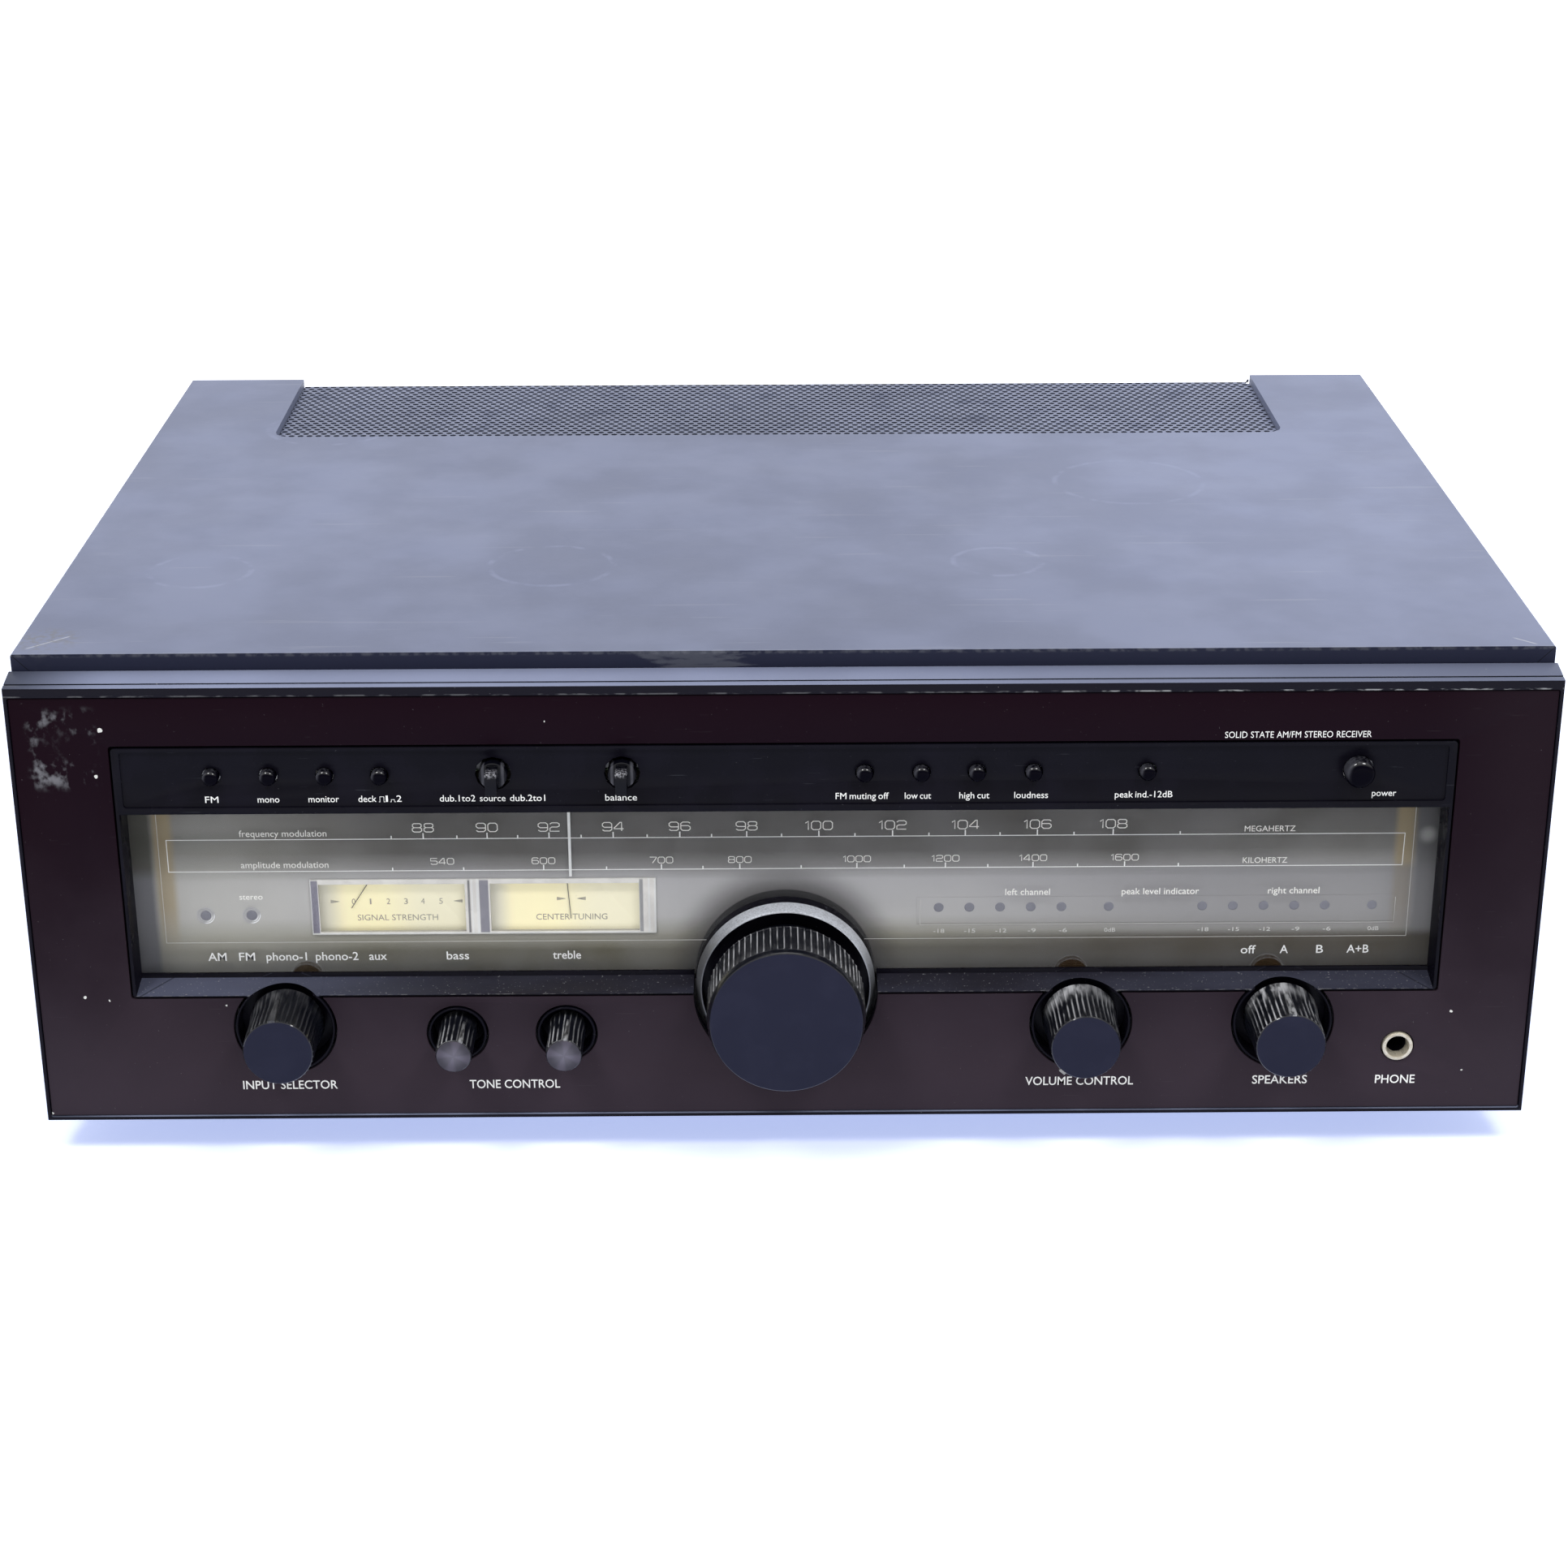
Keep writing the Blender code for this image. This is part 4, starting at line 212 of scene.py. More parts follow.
class Finish(Nodes):
    """A material with one main shader, whose colour is built up in shade, layer by layer."""

    def __init__(self, name, **constants):
        self.material = bpy.data.materials.new(name)
        self.material.use_nodes = True
        super().__init__(self.material.node_tree)
        self.shader = self.tree.nodes["Principled BSDF"]
        self.shade = None
        self.set(**constants)

    def set(self, **values):
        """Sets sockets of the main shader, named with _ for each space."""
        for name, value in values.items():
            self.fill(self.shader.inputs[name.replace("_", " ")], value)

    def object_place(self):
        return self.node("ShaderNodeTexCoord", output="Object")

    def places(self):
        """The x, y and z of the surface, in millimetres from the front panel."""
        place = self.object_place()
        x, y, z = (self.node("ShaderNodeSeparateXYZ", None, {0: place}, n) for n in range(3))
        return x / MM, y / MM - PANEL_FACE, z / MM - PANEL_FOOT

    def noise(self, grain, detail=3.0, stretch=(1, 1, 1), shift=0.0):
        """Cloudy noise whose features are about one grain, in millimetres, across."""
        scale = [share / (grain * MM) for share in stretch]
        mapped = self.node("ShaderNodeMapping", None, {
            "Vector": self.object_place(), "Location": (shift,) * 3, "Scale": scale,
        })
        return self.node("ShaderNodeTexNoise", None, {"Vector": mapped, "Scale": 1.0, "Detail": detail})

    def patches(self, low, high, *noise, **more):
        """Noise that is 0 below the low level and 1 above the high one."""
        return self.spread(self.noise(*noise, **more), low, high)

    def rings(self, away, density, detail=3.0):
        """Fine turned rings by the distance from a middle."""
        inputs = {"W": away * density, "Scale": 1.0, "Detail": detail}
        return self.node("ShaderNodeTexNoise", {"noise_dimensions": "1D"}, inputs)

    def ramp(self, value, low, high, top=1.0):
        """From 0 at low straight up to the top at high."""
        return self.node("ShaderNodeMapRange", None, {
            "Value": value, "From Min": low, "From Max": high, "To Max": top,
        })

    def spread(self, value, low, high):
        """0 below low, 1 above high, and smooth between them; the other way round where low is higher."""
        ends = (0.0, 1.0) if low < high else (1.0, 0.0)
        return self.node("ShaderNodeMapRange", {"interpolation_type": "SMOOTHSTEP"}, {
            "Value": value, "From Min": min(low, high), "From Max": max(low, high),
            "To Min": ends[0], "To Max": ends[1],
        })

    def blend(self, share, first, second):
        return self.node("ShaderNodeMix", {"data_type": "RGBA"}, {0: share, 6: first, 7: second}, 2)

    def over(self, share, shade):
        """Lays a colour over what is there, by a share from 0 to 1."""
        self.shade = self.blend(share, self.shade, shade)

    def disc(self, x, z, centre, radius, soft):
        """1 within a radius of a centre, fading out over the soft width."""
        return self.spread(distance(x, z, centre), radius + soft, radius)

    def line(self, value, middle, outer, inner):
        """1 within the inner distance of a middle and 0 past the outer one."""
        return self.spread(abs(value - middle), outer, inner)

    def normal(self, axis):
        facing = self.node("ShaderNodeNewGeometry", output="Normal")
        return self.node("ShaderNodeSeparateXYZ", None, {0: facing}, axis)

    def done(self, roughness=None, relief=None, **others):
        """Sets what was built up; the relief is a height from 0 to 1, a depth and a strength."""
        self.set(Base_Color=self.shade, **others)
        if roughness is not None:
            self.set(Roughness=roughness)
        if relief:
            height, depth, strength = relief
            self.set(Normal=self.node("ShaderNodeBump", None, {
                "Height": height, "Distance": depth * MM, "Strength": strength,
            }))
        return self


def distance(x, z, centre):
    """How far the surface lies from a centre, seen along the third axis."""
    return ((x - centre[0]) ** 2 + (z - centre[1]) ** 2) ** 0.5


def tone(shade, factor):
    return tuple(min(1.0, part * factor) for part in shade)


FINISHES = {}


def finish_once(make):
    """Keeps the material that a function makes, so that like pieces share it."""
    def kept(*facts):
        key = (make.__name__, *facts)
        if key not in FINISHES:
            FINISHES[key] = make(*facts).material
        return FINISHES[key]
    return kept


RING_MARKS = (((-175, 268), 24), ((-196, 92), 17), ((-78, 96), 21), ((73, 98), 15), ((128, 190), 27))
CHIPS = (
    ((-213.4, 137.4), 0.7), ((-216.0, 121.8), 0.5), ((-226.4, 44.7), 0.4), ((-218.6, 43.5), 0.3),
    ((216.4, 36.6), 0.45), ((-241.0, 2.4), 0.4), ((221.5, 15.0), 0.2), ((143.3, 134.6), 0.2),
    ((-181.0, 41.5), 0.25), ((-75.0, 139.5), 0.15),
)
# Tones of the dial plate by height: olive at its foot, pale in the middle, and a painted shadow of the strip
# that darkens its upper part.
DIAL_TONES_AND_SHADE = (
    (0.0, (0.060, 0.053, 0.032)), (0.16, (0.105, 0.094, 0.057)), (0.235, (0.31, 0.297, 0.238)),
    (0.33, (0.50, 0.49, 0.485)), (0.52, (0.47, 0.46, 0.47)), (0.585, (0.25, 0.242, 0.238)),
    (0.66, (0.105, 0.099, 0.091)), (0.85, (0.084, 0.078, 0.073)), (1.0, (0.066, 0.061, 0.062)),
)


def slate_tone(finish, x, y):
    """The sleeve's enamel: soft mottling, smudges and faint rings from things stood on it."""
    slate = colours().slate
    mottle = finish.patches(0.32, 0.68, 38, 5)
    left, right, middle = (
        finish.blend(mottle, tone(slate, low), tone(slate, high))
        for low, high in ((0.88, 1.06), (1.06, 1.26), (0.76, 0.94))
    )
    # Paler towards both sides and darkest in the middle of the top.
    finish.shade = finish.blend(finish.ramp(x, -240.0, 240.0), left, right)
    finish.over(finish.line(x, -20, 180, 30) * 0.8, middle)
    finish.over(finish.noise(2.6, 3) * 0.12, tone(slate, 1.35))
    # Darker towards the front of the top.
    finish.over(finish.spread(y, 150, 20) * finish.spread(y, 10.5, 11.5) * 0.2, tone(slate, 0.4))
    for centre, radius in RING_MARKS:
        ring = finish.line(distance(x, y, centre), radius, 1.6, 0.3)
        finish.over(ring * finish.patches(0.42, 0.6, 9, 4, shift=radius) * 0.22, tone(slate, 1.7))


@finish_once
def slate_enamel():
    """Enamel over the sleeve, its front-facing edge painted navy as painted shade, rubbed pale along the
    folds.
    """
    finish = Finish("slate_enamel", Specular_IOR_Level=0.1)
    x, y, z = finish.places()
    slate_tone(finish, x, y)
    # Painted shade: faces turned to the front are painted navy.
    front_edge = finish.spread(finish.normal(1), -0.5, -0.9)
    finish.over(front_edge, (0.0150, 0.0170, 0.036))
    seam = finish.line(abs(x) - (z - CABINET_TOP), CABINET_HALF, 0.22, 0.08)
    finish.over(seam * front_edge, (0.002, 0.002, 0.003))
    fold = finish.spread(z, 157.9, 158.7) * finish.spread(abs(x), 240.7, 241.5)
    finish.over(fold * finish.patches(0.5, 0.66, 3.2, 6) * 0.7, (0.42, 0.43, 0.46))
    finish.over(finish.patches(0.66, 0.69, 16, 8, (0.25, 6, 1), 3.0) * 0.1, (0.5, 0.52, 0.56))
    rim = finish.spread(y, 12.4, 11.6) * finish.spread(z, 157.4, 158.2)
    finish.over(rim * finish.patches(0.42, 0.6, 3, 6) * 0.1, (0.46, 0.47, 0.5))
    for (across, back), lean, reach in (((-232, 22), 1, 9), ((233, 16), -1, 5)):
        along = abs((x - across) * lean + (y - back)) / 1.414
        off = abs((x - across) - (y - back) * lean) / 1.414
        scratch = finish.spread(off, 0.5, 0.15) * finish.spread(along, reach, reach - 2)
        finish.over(scratch * 0.6, (0.5, 0.51, 0.55))
    dust = finish.disc(x, y, (-233, 24), 5, 9) * finish.patches(0.4, 0.65, 2.2, 6)
    finish.over(dust * 0.5, (0.16, 0.155, 0.14))
    return finish.done(finish.noise(30, 4) * 0.2 + 0.36, (finish.noise(0.7, 2), 0.03, 0.5))


@finish_once
def navy_lacquer():
    """The front frame: near-black navy, its upward ledge painted slate as a painted reflection of the sky."""
    finish = Finish("navy_lacquer", Specular_IOR_Level=0.06)
    x, y, z = finish.places()
    slate = colours().slate
    slate_tone(finish, x, y)
    # Painted reflection of the sky on the ledge: paler slate, darker towards the right and at the far left
    # end.
    finish.over(0.35, tone(slate, 1.3))
    finish.over(finish.spread(x, -60, 230) * 0.62, tone(slate, 0.35))
    finish.over(finish.spread(x, -205, -243), tone(slate, 0.3))
    # Upward faces keep the painted slate; the others take the navy.
    finish.shade = finish.blend(finish.spread(finish.normal(2), 0.3, 0.75), colours().navy, finish.shade)
    groove = finish.line(y, 2.6, 0.42, 0.28) * finish.spread(z, 150.2, 150.9)
    finish.over(groove * 0.9, (0.004, 0.005, 0.008))
    edge = finish.line(z, 148.75, 0.35, 0.1) * finish.spread(y, 2.0, 0.6)
    chips = finish.patches(0.46, 0.6, 1.6, 6, (0.35, 1, 1))
    finish.over(edge * chips * (finish.spread(x, 40, 130) * 0.5 + 0.2), (0.40, 0.41, 0.43))
    finish.over(finish.patches(0.73, 0.77, 0.9, 2, shift=5.0) * 0.5, (0.3, 0.3, 0.31))
    return finish.done(finish.noise(14, 4) * 0.25 + 0.28, (finish.noise(0.6, 2), 0.02, 0.4))


@finish_once
def plate_paint():
    """The front plate: brown-black, paler towards its foot by a painted reflection of the floor, with old
    residue, chips and dust.
    """
    finish = Finish("plate_paint", Specular_IOR_Level=0.05)
    x, _, z = finish.places()
    top, bottom = colours().plate_top, colours().plate_bottom
    # Painted reflection of the floor: paler towards the foot, less so near the ends. The plate is also paler
    # towards its right border.
    ends = finish.spread(abs(x), 200, 232) * finish.spread(z, 20, 60)
    finish.shade = finish.blend(finish.spread(z, 118, -10) * (1 - ends * 0.5), top, bottom)
    finish.over(finish.spread(x, 195, 240) * 0.22, tone(bottom, 0.85))
    cloud = finish.patches(0.35, 0.7, 26, 5)
    finish.over(cloud * finish.spread(z, 130, 40) * 0.12, tone(bottom, 1.5))
    residue = finish.line(x, -225.8, 12, 8) * finish.line(z, 131, 15, 10)
    hollow = 1 - finish.disc(x, z, (-227, 133), 4, 5) * 0.85
    flecks = finish.patches(0.52, 0.7, 4.2, 9, (1, 1, 0.8), 1.7)
    finish.over(residue * hollow * flecks * 0.7, (0.22, 0.22, 0.245))
    for place, radius in CHIPS:
        shape = finish.noise(1.1, 4, shift=place[0]) * 0.9 - 0.45
        finish.over(finish.disc(x + shape, z + shape, place, radius, 0.18), (0.72, 0.72, 0.70))
    finish.over(finish.patches(0.75, 0.79, 0.8, 2, shift=2.0) * 0.3, (0.2, 0.19, 0.2))
    finish.over(finish.patches(0.70, 0.72, 5, 8, (0.25, 1, 8), 7.0) * 0.05, (0.2, 0.19, 0.2))
    return finish.done(finish.noise(20, 4) * 0.18 + 0.36, (finish.noise(0.5, 2), 0.01, 0.3))


@finish_once
def black_moulding():
    """Glossy black moulding with dust in its corners and hair scratches."""
    finish = Finish("black_moulding", Specular_IOR_Level=0.05)
    x, _, _ = finish.places()
    black = colours().moulding
    cloud = finish.patches(0.4, 0.72, 18, 5)
    finish.shade = finish.blend(cloud * finish.spread(x, 215, 60) * 0.5, black, tone(black, 2.0))
    finish.over(finish.patches(0.73, 0.77, 0.75, 3, shift=4.0) * 0.4, (0.16, 0.16, 0.18))
    finish.over(finish.patches(0.70, 0.72, 5, 8, (0.25, 1, 8), 9.0) * 0.12, (0.16, 0.17, 0.2))
    return finish.done(cloud * 0.16 + 0.22, (finish.noise(0.9, 3), 0.012, 0.5))


@finish_once
def slope_moulding():
    """The sloped sill under the window: its upward faces painted blue-grey as a painted reflection of the sky,
    paler at the left.
    """
    finish = Finish("slope_moulding", Specular_IOR_Level=0.1)
    x, y, _ = finish.places()
    smear = finish.patches(0.35, 0.7, 14, 6, (0.3, 1, 1))
    pale = finish.spread(x, -80, -200) * 0.8 + smear * 0.16 + finish.spread(x, 60, 200) * 0.3
    finish.shade = finish.blend(pale, (0.015, 0.014, 0.021), (0.080, 0.086, 0.130))
    mitre = finish.spread(abs((208.5 - abs(x)) - (y - 0.3) * 0.9), 0.6, 0.2)
    finish.over(mitre * 0.6, (0.006, 0.006, 0.008))
    finish.over(finish.patches(0.66, 0.72, 0.7, 3, shift=3.0) * 0.6, (0.3, 0.3, 0.31))
    front = finish.spread(y, 0.9, 0.4) * finish.patches(0.5, 0.62, 2.2, 5, shift=9.0)
    finish.over(front * 0.5, (0.2, 0.2, 0.21))
    return finish.done(smear * 0.2 + 0.3, (finish.noise(0.8, 3), 0.015, 0.5))


@finish_once
def knob_plastic(across, up, radius, wear_and_glint):
    """Dark knob plastic, its flutes' crests pale on the upper side: rubbed to grey, with a painted highlight
    there.
    """
    finish = Finish("knob_plastic", Specular_IOR_Level=0.1)
    x, y, z = finish.places()
    large = radius == TUNING_RADIUS
    away = distance(x, z, (across, up))
    if not large:
        away = away - finish.ramp(y, -4.2, 4.5, 0.75)
    rub_and_glint = finish.spread(away, radius - 0.45, radius - 0.08)
    # Painted highlight: the crests are paler on the upper side, where the light falls.
    upper = finish.spread(z - up, 0.1 * radius, (0.5 if large else 0.8) * radius)
    rub_and_glint = rub_and_glint * upper * finish.patches(0.34, 0.6, 2.6, 6, (1, 0.3, 1))
    # On the smaller knobs the painted highlight is weaker on the right side.
    if not large:
        rub_and_glint = rub_and_glint * (finish.spread(x - across, 0.25 * radius, -0.2 * radius) * 0.6 + 0.4)
    finish.shade = finish.blend(rub_and_glint * wear_and_glint, colours().knob, (0.60, 0.60, 0.62))
    finish.over(finish.patches(0.5, 0.75, 3.0, 5, shift=6.0) * upper * wear_and_glint * 0.1, (0.2, 0.2, 0.21))
    coat = finish.spread(y, -14, -16) * 0.6
    return finish.done(rub_and_glint * 0.1 + 0.3, (finish.noise(0.4, 3), 0.012, 0.4), Coat_Weight=coat)


@finish_once
def rubbed_ridge(wear_and_glint):
    """A knob's pointer line, rubbed to a scratchy pale grey."""
    finish = Finish("rubbed_ridge", Specular_IOR_Level=0.4, Roughness=0.4)
    scratch = finish.patches(0.36, 0.64, 1.2, 6, (1, 0.3, 1)) * wear_and_glint
    finish.shade = finish.blend(scratch, (0.022, 0.022, 0.026), (0.36, 0.36, 0.37))
    return finish.done(relief=(scratch, 0.02, 0.4))


@finish_once
def button_plastic():
    """Glossy black buttons with a little dust lying on their upper side and a painted highlight on their left
    side.
    """
    finish = Finish("button_plastic", Specular_IOR_Level=0.02, Coat_Roughness=0.05)
    upward = finish.normal(2)
    dust = finish.spread(upward, 0.5, 0.95) * finish.patches(0.35, 0.7, 0.9, 5)
    finish.shade = finish.blend(dust * 0.3, (0.0015, 0.0012, 0.004), (0.14, 0.14, 0.16))
    # Painted highlight: faces turned to the left are paler.
    lit_crescent = finish.spread(finish.normal(0), -0.2, -0.7) * finish.spread(upward, -0.4, 0.2)
    finish.over(lit_crescent * 0.4, (0.12, 0.12, 0.145))
    coat = finish.spread(upward, 0.3, 0.6) * finish.spread(upward, 0.97, 0.85)
    return finish.done(dust * 0.3 + 0.12, (finish.noise(0.8, 3), 0.01, 0.3), Coat_Weight=coat)


@finish_once
def finger_plastic(across):
    """A finger knob's glossy black, with a painted reflection as a pale sheen down the hollow beside its bar
    and a painted highlight along the bar's top.
    """
    finish = Finish("finger_plastic", Specular_IOR_Level=0.1, Coat_Roughness=0.06)
    x, y, z = finish.places()
    # Painted reflection: a pale band beside the bar.
    sheen = finish.line(abs(x - across), 3.1, 0.75, 0.15) * finish.spread(y, -1.4, -0.6)
    streak = finish.noise(0.9, 3, (1, 1, 0.25))
    finish.shade = finish.blend(sheen * streak * 0.9, (0.002, 0.002, 0.0045), (0.16, 0.16, 0.19))
    # Rubbed and painted highlight along the top of the bar.
    rub_and_glint = finish.spread(z, 123.6, 125.0) * finish.patches(0.42, 0.6, 0.7, 4) * finish.spread(y, -3, -7)
    finish.over(rub_and_glint * 0.8, (0.30, 0.30, 0.33))
    return finish.done(streak * 0.1 + 0.14, Coat_Weight=finish.spread(finish.normal(2), 0.1, 0.4))


@finish_once
def knob_face(across, up):
    """The flat front of a knob: fine turned rings round its own middle."""
    finish = Finish("knob_face", Specular_IOR_Level=0.12)
    x, _, z = finish.places()
    rings = finish.rings(distance(x, z, (across, up)), 5)
    worn = finish.patches(0.4, 0.7, 9, 5)
    finish.shade = finish.blend(rings * 0.5 + worn * 0.3, (0.008, 0.009, 0.024), (0.015, 0.016, 0.036))
    return finish.done(rings * 0.14 + 0.32, (rings, 0.012, 0.5))


@finish_once
def spun_face(across, up):
    """A spun aluminium insert with painted glints that run out from its middle."""
    finish = Finish("spun_face")
    x, _, z = finish.places()
    away = distance(x, z, (across, up))
    # Painted glints in four bright spokes round the middle.
    angle = finish.node("ShaderNodeMath", {"operation": "ARCTAN2"}, {0: z - up, 1: x - across})
    waves = finish.node("ShaderNodeMath", {"operation": "COSINE"}, {0: angle * 4 + 0.9})
    glint_rays = finish.spread(waves, -0.4, 1.0)
    rings = finish.rings(away, 9)
    finish.shade = finish.blend(glint_rays * 0.65, (0.030, 0.026, 0.033), (0.095, 0.083, 0.100))
    finish.over(rings * 0.25, (0.05, 0.05, 0.06))
    finish.over(finish.spread(away, 5.2, 0.4) * 0.4, (0.21, 0.195, 0.225))
    return finish.done(rings * 0.15 + 0.3, (rings, 0.01, 0.4), Metallic=glint_rays * 0.2 + 0.6)


@finish_once
def worn_silver():
    """The ring round the tuning knob: dull silver, stained and scratched, with painted shade over all but its
    upper part.
    """
    finish = Finish("worn_silver")
    x, _, z = finish.places()
    rings = finish.rings(distance(x, z, TUNING_AT), 12, 2.0)
    stain = finish.patches(0.42, 0.68, 5, 6)
    pits = finish.patches(0.62, 0.70, 0.8, 4, shift=8.0)
    grit = finish.patches(0.36, 0.64, 0.55, 3, shift=2.0)
    finish.shade = finish.blend(stain * 0.3 + grit * 0.35, tone(colours().silver, 1.15), (0.20, 0.20, 0.22))
    finish.over(pits * 0.5, (0.12, 0.12, 0.13))
    # Painted shade: dark everywhere but the upper part of the ring.
    finish.over(finish.spread(z - TUNING_AT[1] + x * 0.2, 24, 6) * 0.9, (0.05, 0.05, 0.055))
    roughness = stain * 0.25 + rings * 0.1 + 0.28
    return finish.done(roughness, (rings + pits * 0.5, 0.015, 0.5), Metallic=0.2 - stain * 0.1)


@finish_once
def clear_acrylic():
    """The window's clear sheet: dusty and hazy, with a stain over each medium well."""
    finish = Finish("clear_acrylic", IOR=1.49, Specular_IOR_Level=0.12)
    x, _, z = finish.places()
    haze = finish.patches(0.3, 0.75, 22, 5)
    specks = finish.patches(0.71, 0.75, 0.8, 3, shift=11.0)
    marks = finish.disc(x, z, (-156.2, 45.7), 4.7, 0.9)
    marks = marks + finish.disc(x, z, (93.6, 45.7), 5.0, 0.8) + finish.disc(x, z, (157.7, 45.7), 5.0, 0.8)
    finish.shade = finish.blend(marks, (0.50, 0.51, 0.54), (0.040, 0.024, 0.012))
    stains = marks * (finish.patches(0.3, 0.55, 2.4, 5) * 0.4 + 0.6)
    alpha = haze * 0.03 + specks * 0.2 + finish.spread(z, 56, 49) * 0.03 + stains * 0.55 + 0.015
    return finish.done(haze * 0.12 + 0.08, (finish.noise(30, 2), 0.05, 0.2), Alpha=alpha)


@finish_once
def dial_paint():
    """The printed dial plate: olive at its foot, amber by its ends, with painted shadows, glow and highlight.
    """
    finish = Finish("dial_paint", Specular_IOR_Level=0.15, Roughness=0.6)
    x, _, z = finish.places()
    height = finish.ramp(z, 42.0, 112.0)
    finish.shade = finish.node("ShaderNodeValToRGB", {"stops": DIAL_TONES_AND_SHADE}, {"Fac": height})
    # Painted glow in the upper part, brighter towards the ends.
    glow = finish.spread(abs(x), 110, 192) * finish.spread(z, 110, 80)
    amber = finish.line(abs(x), 200.5, 4.5, 1.5) * finish.spread(z, 50, 70)
    # The left end's painted shade: dark above, blue-grey below.
    depth = finish.blend(finish.spread(z, 84, 78), (0.060, 0.058, 0.046), (0.15, 0.15, 0.175))
    away = distance(x, z, TUNING_AT)
    for share, shade in (
        (finish.patches(0.3, 0.7, 30, 4) * 0.12, (0.5, 0.5, 0.53)),
        (glow * finish.spread(x, 0, -170) * 0.3 + glow * 0.12, (0.53, 0.52, 0.46)),
        (finish.spread(x, -110, -190) * finish.spread(z, 92, 98) * 0.32, (0.5, 0.49, 0.46)),
        (amber * 0.7, (0.40, 0.31, 0.165)),
        # Painted shade at both ends.
        (finish.spread(x, -202.8, -205.5) * 0.85, depth),
        (finish.spread(x, 203, 206) * 0.7, (0.13, 0.13, 0.14)),
        # A small painted highlight at the right end.
        (finish.disc(x, z, (207.8, 92.5), 0.5, 3.5) * 0.6, (0.55, 0.55, 0.53)),
        (finish.spread(x, 0, 150) * finish.spread(z, 84, 80) * 0.68, (0.20, 0.195, 0.205)),
        (finish.spread(x, 10, 130) * finish.spread(z, 60, 56) * 0.85, (0.040, 0.029, 0.011)),
        # Painted shadow round the tuning ring.
        (finish.spread(away, 41, 28) * 0.8, (0.05, 0.045, 0.045)),
        (finish.spread(away, 29.5, 29.0) * 0.9, (0.012, 0.011, 0.012)),
    ):
        finish.over(share, shade)
    return finish.done()


@finish_once
def meter_frame_plastic():
    """The clear frame round the meters, with painted shadows and glints standing for its upright walls."""
    finish = Finish("meter_frame_plastic", Specular_IOR_Level=0.3)
    x, _, z = finish.places()
    cloud = finish.patches(0.35, 0.7, 7, 4)
    finish.shade = finish.blend(cloud, (0.70, 0.675, 0.64), (0.80, 0.775, 0.735))
    tall = finish.spread(z, 59.6, 60.2) * finish.spread(z, 79.2, 78.4)
    for middle, half, dark in ((-152.9, 1.3, (0.15, 0.14, 0.20)), (-102.6, 0.3, (0.13, 0.125, 0.13)),
                               (-97.7, 1.4, (0.17, 0.165, 0.21)), (-46.7, 0.5, (0.25, 0.25, 0.26))):
        finish.over(finish.line(x, middle, half + 0.25, half - 0.1) * tall * 0.9, dark)
    for middle, half in ((-153.9, 0.1), (-99.75, 0.3), (-101.6, 0.12), (-44.2, 0.15), (-42.2, 0.2)):
        finish.over(finish.line(x, middle, half + 0.25, half) * 0.8, (0.78, 0.78, 0.77))
    for up, share in ((59.75, 0.75), (78.8, 0.25)):
        finish.over(finish.line(z, up, 0.4, 0.1) * share, (0.75, 0.75, 0.72))
    return finish.done(cloud * 0.15 + 0.2, (finish.noise(1.2, 2), 0.008, 0.3))


@finish_once
def meter_cream():
    """A meter's face, yellowed and warmest in its middle, with a painted glow, greyer bands at its left and
    painted shade under its upper edge.
    """
    cream = colours().meter
    # The small emission is a painted glow.
    finish = Finish("meter_cream", Specular_IOR_Level=0.2, Roughness=0.6, Emission_Strength=0.22,
                    Emission_Color=tone(cream, 0.9))
    x, _, z = finish.places()
    warm = finish.line(x, -137, 20, 3) + finish.line(x, -82, 22, 3)
    finish.shade = finish.blend(warm, cream, (0.97, 0.88, 0.54))
    finish.over((finish.line(x, -152.5, 11, 1) + finish.line(x, -96.5, 9, 1)) * 0.8, (0.44, 0.44, 0.43))
    finish.over(finish.spread(z, 76.5, 79) * 0.35, (0.42, 0.41, 0.38))
    return finish.done(relief=(finish.noise(0.8, 2), 0.006, 0.3))


@finish_once
def white_print():
    """Printed words and lines, thinned here and there."""
    finish = Finish("white_print", Roughness=0.55, Specular_IOR_Level=0.2)
    white = colours().print
    finish.shade = finish.blend(finish.patches(0.6, 0.74, 1.1, 4) * 0.3, white, tone(white, 0.5))
    return finish.done()


@finish_once
def bright_print():
    """The crisp white words."""
    finish = Finish("bright_print", Roughness=0.5, Specular_IOR_Level=0.2)
    thin = finish.patches(0.62, 0.74, 0.9, 3)
    finish.shade = finish.blend(thin * 0.25, (0.93, 0.93, 0.92), (0.58, 0.58, 0.58))
    return finish.done()


@finish_once
def indicator_rim(across):
    """A lamp hole's rim, with a painted highlight at its lower right only."""
    finish = Finish("indicator_rim", Roughness=0.35, Specular_IOR_Level=0.4)
    x, _, z = finish.places()
    lit = finish.spread((x - across) - (z - INDICATOR_UP), 1.6, 3.2)
    finish.shade = finish.blend(lit, (0.44, 0.435, 0.46), (0.88, 0.88, 0.90))
    return finish.done()


@finish_once
def socket_ring():
    """Cream-silver plating of the headphone socket's ring."""
    finish = Finish("socket_ring")
    stain = finish.patches(0.4, 0.7, 2.2, 5)
    finish.shade = finish.blend(stain * 0.6, tone(colours().jack, 0.72), (0.36, 0.30, 0.22))
    return finish.done(stain * 0.2 + 0.24, Metallic=0.55 - stain * 0.2)


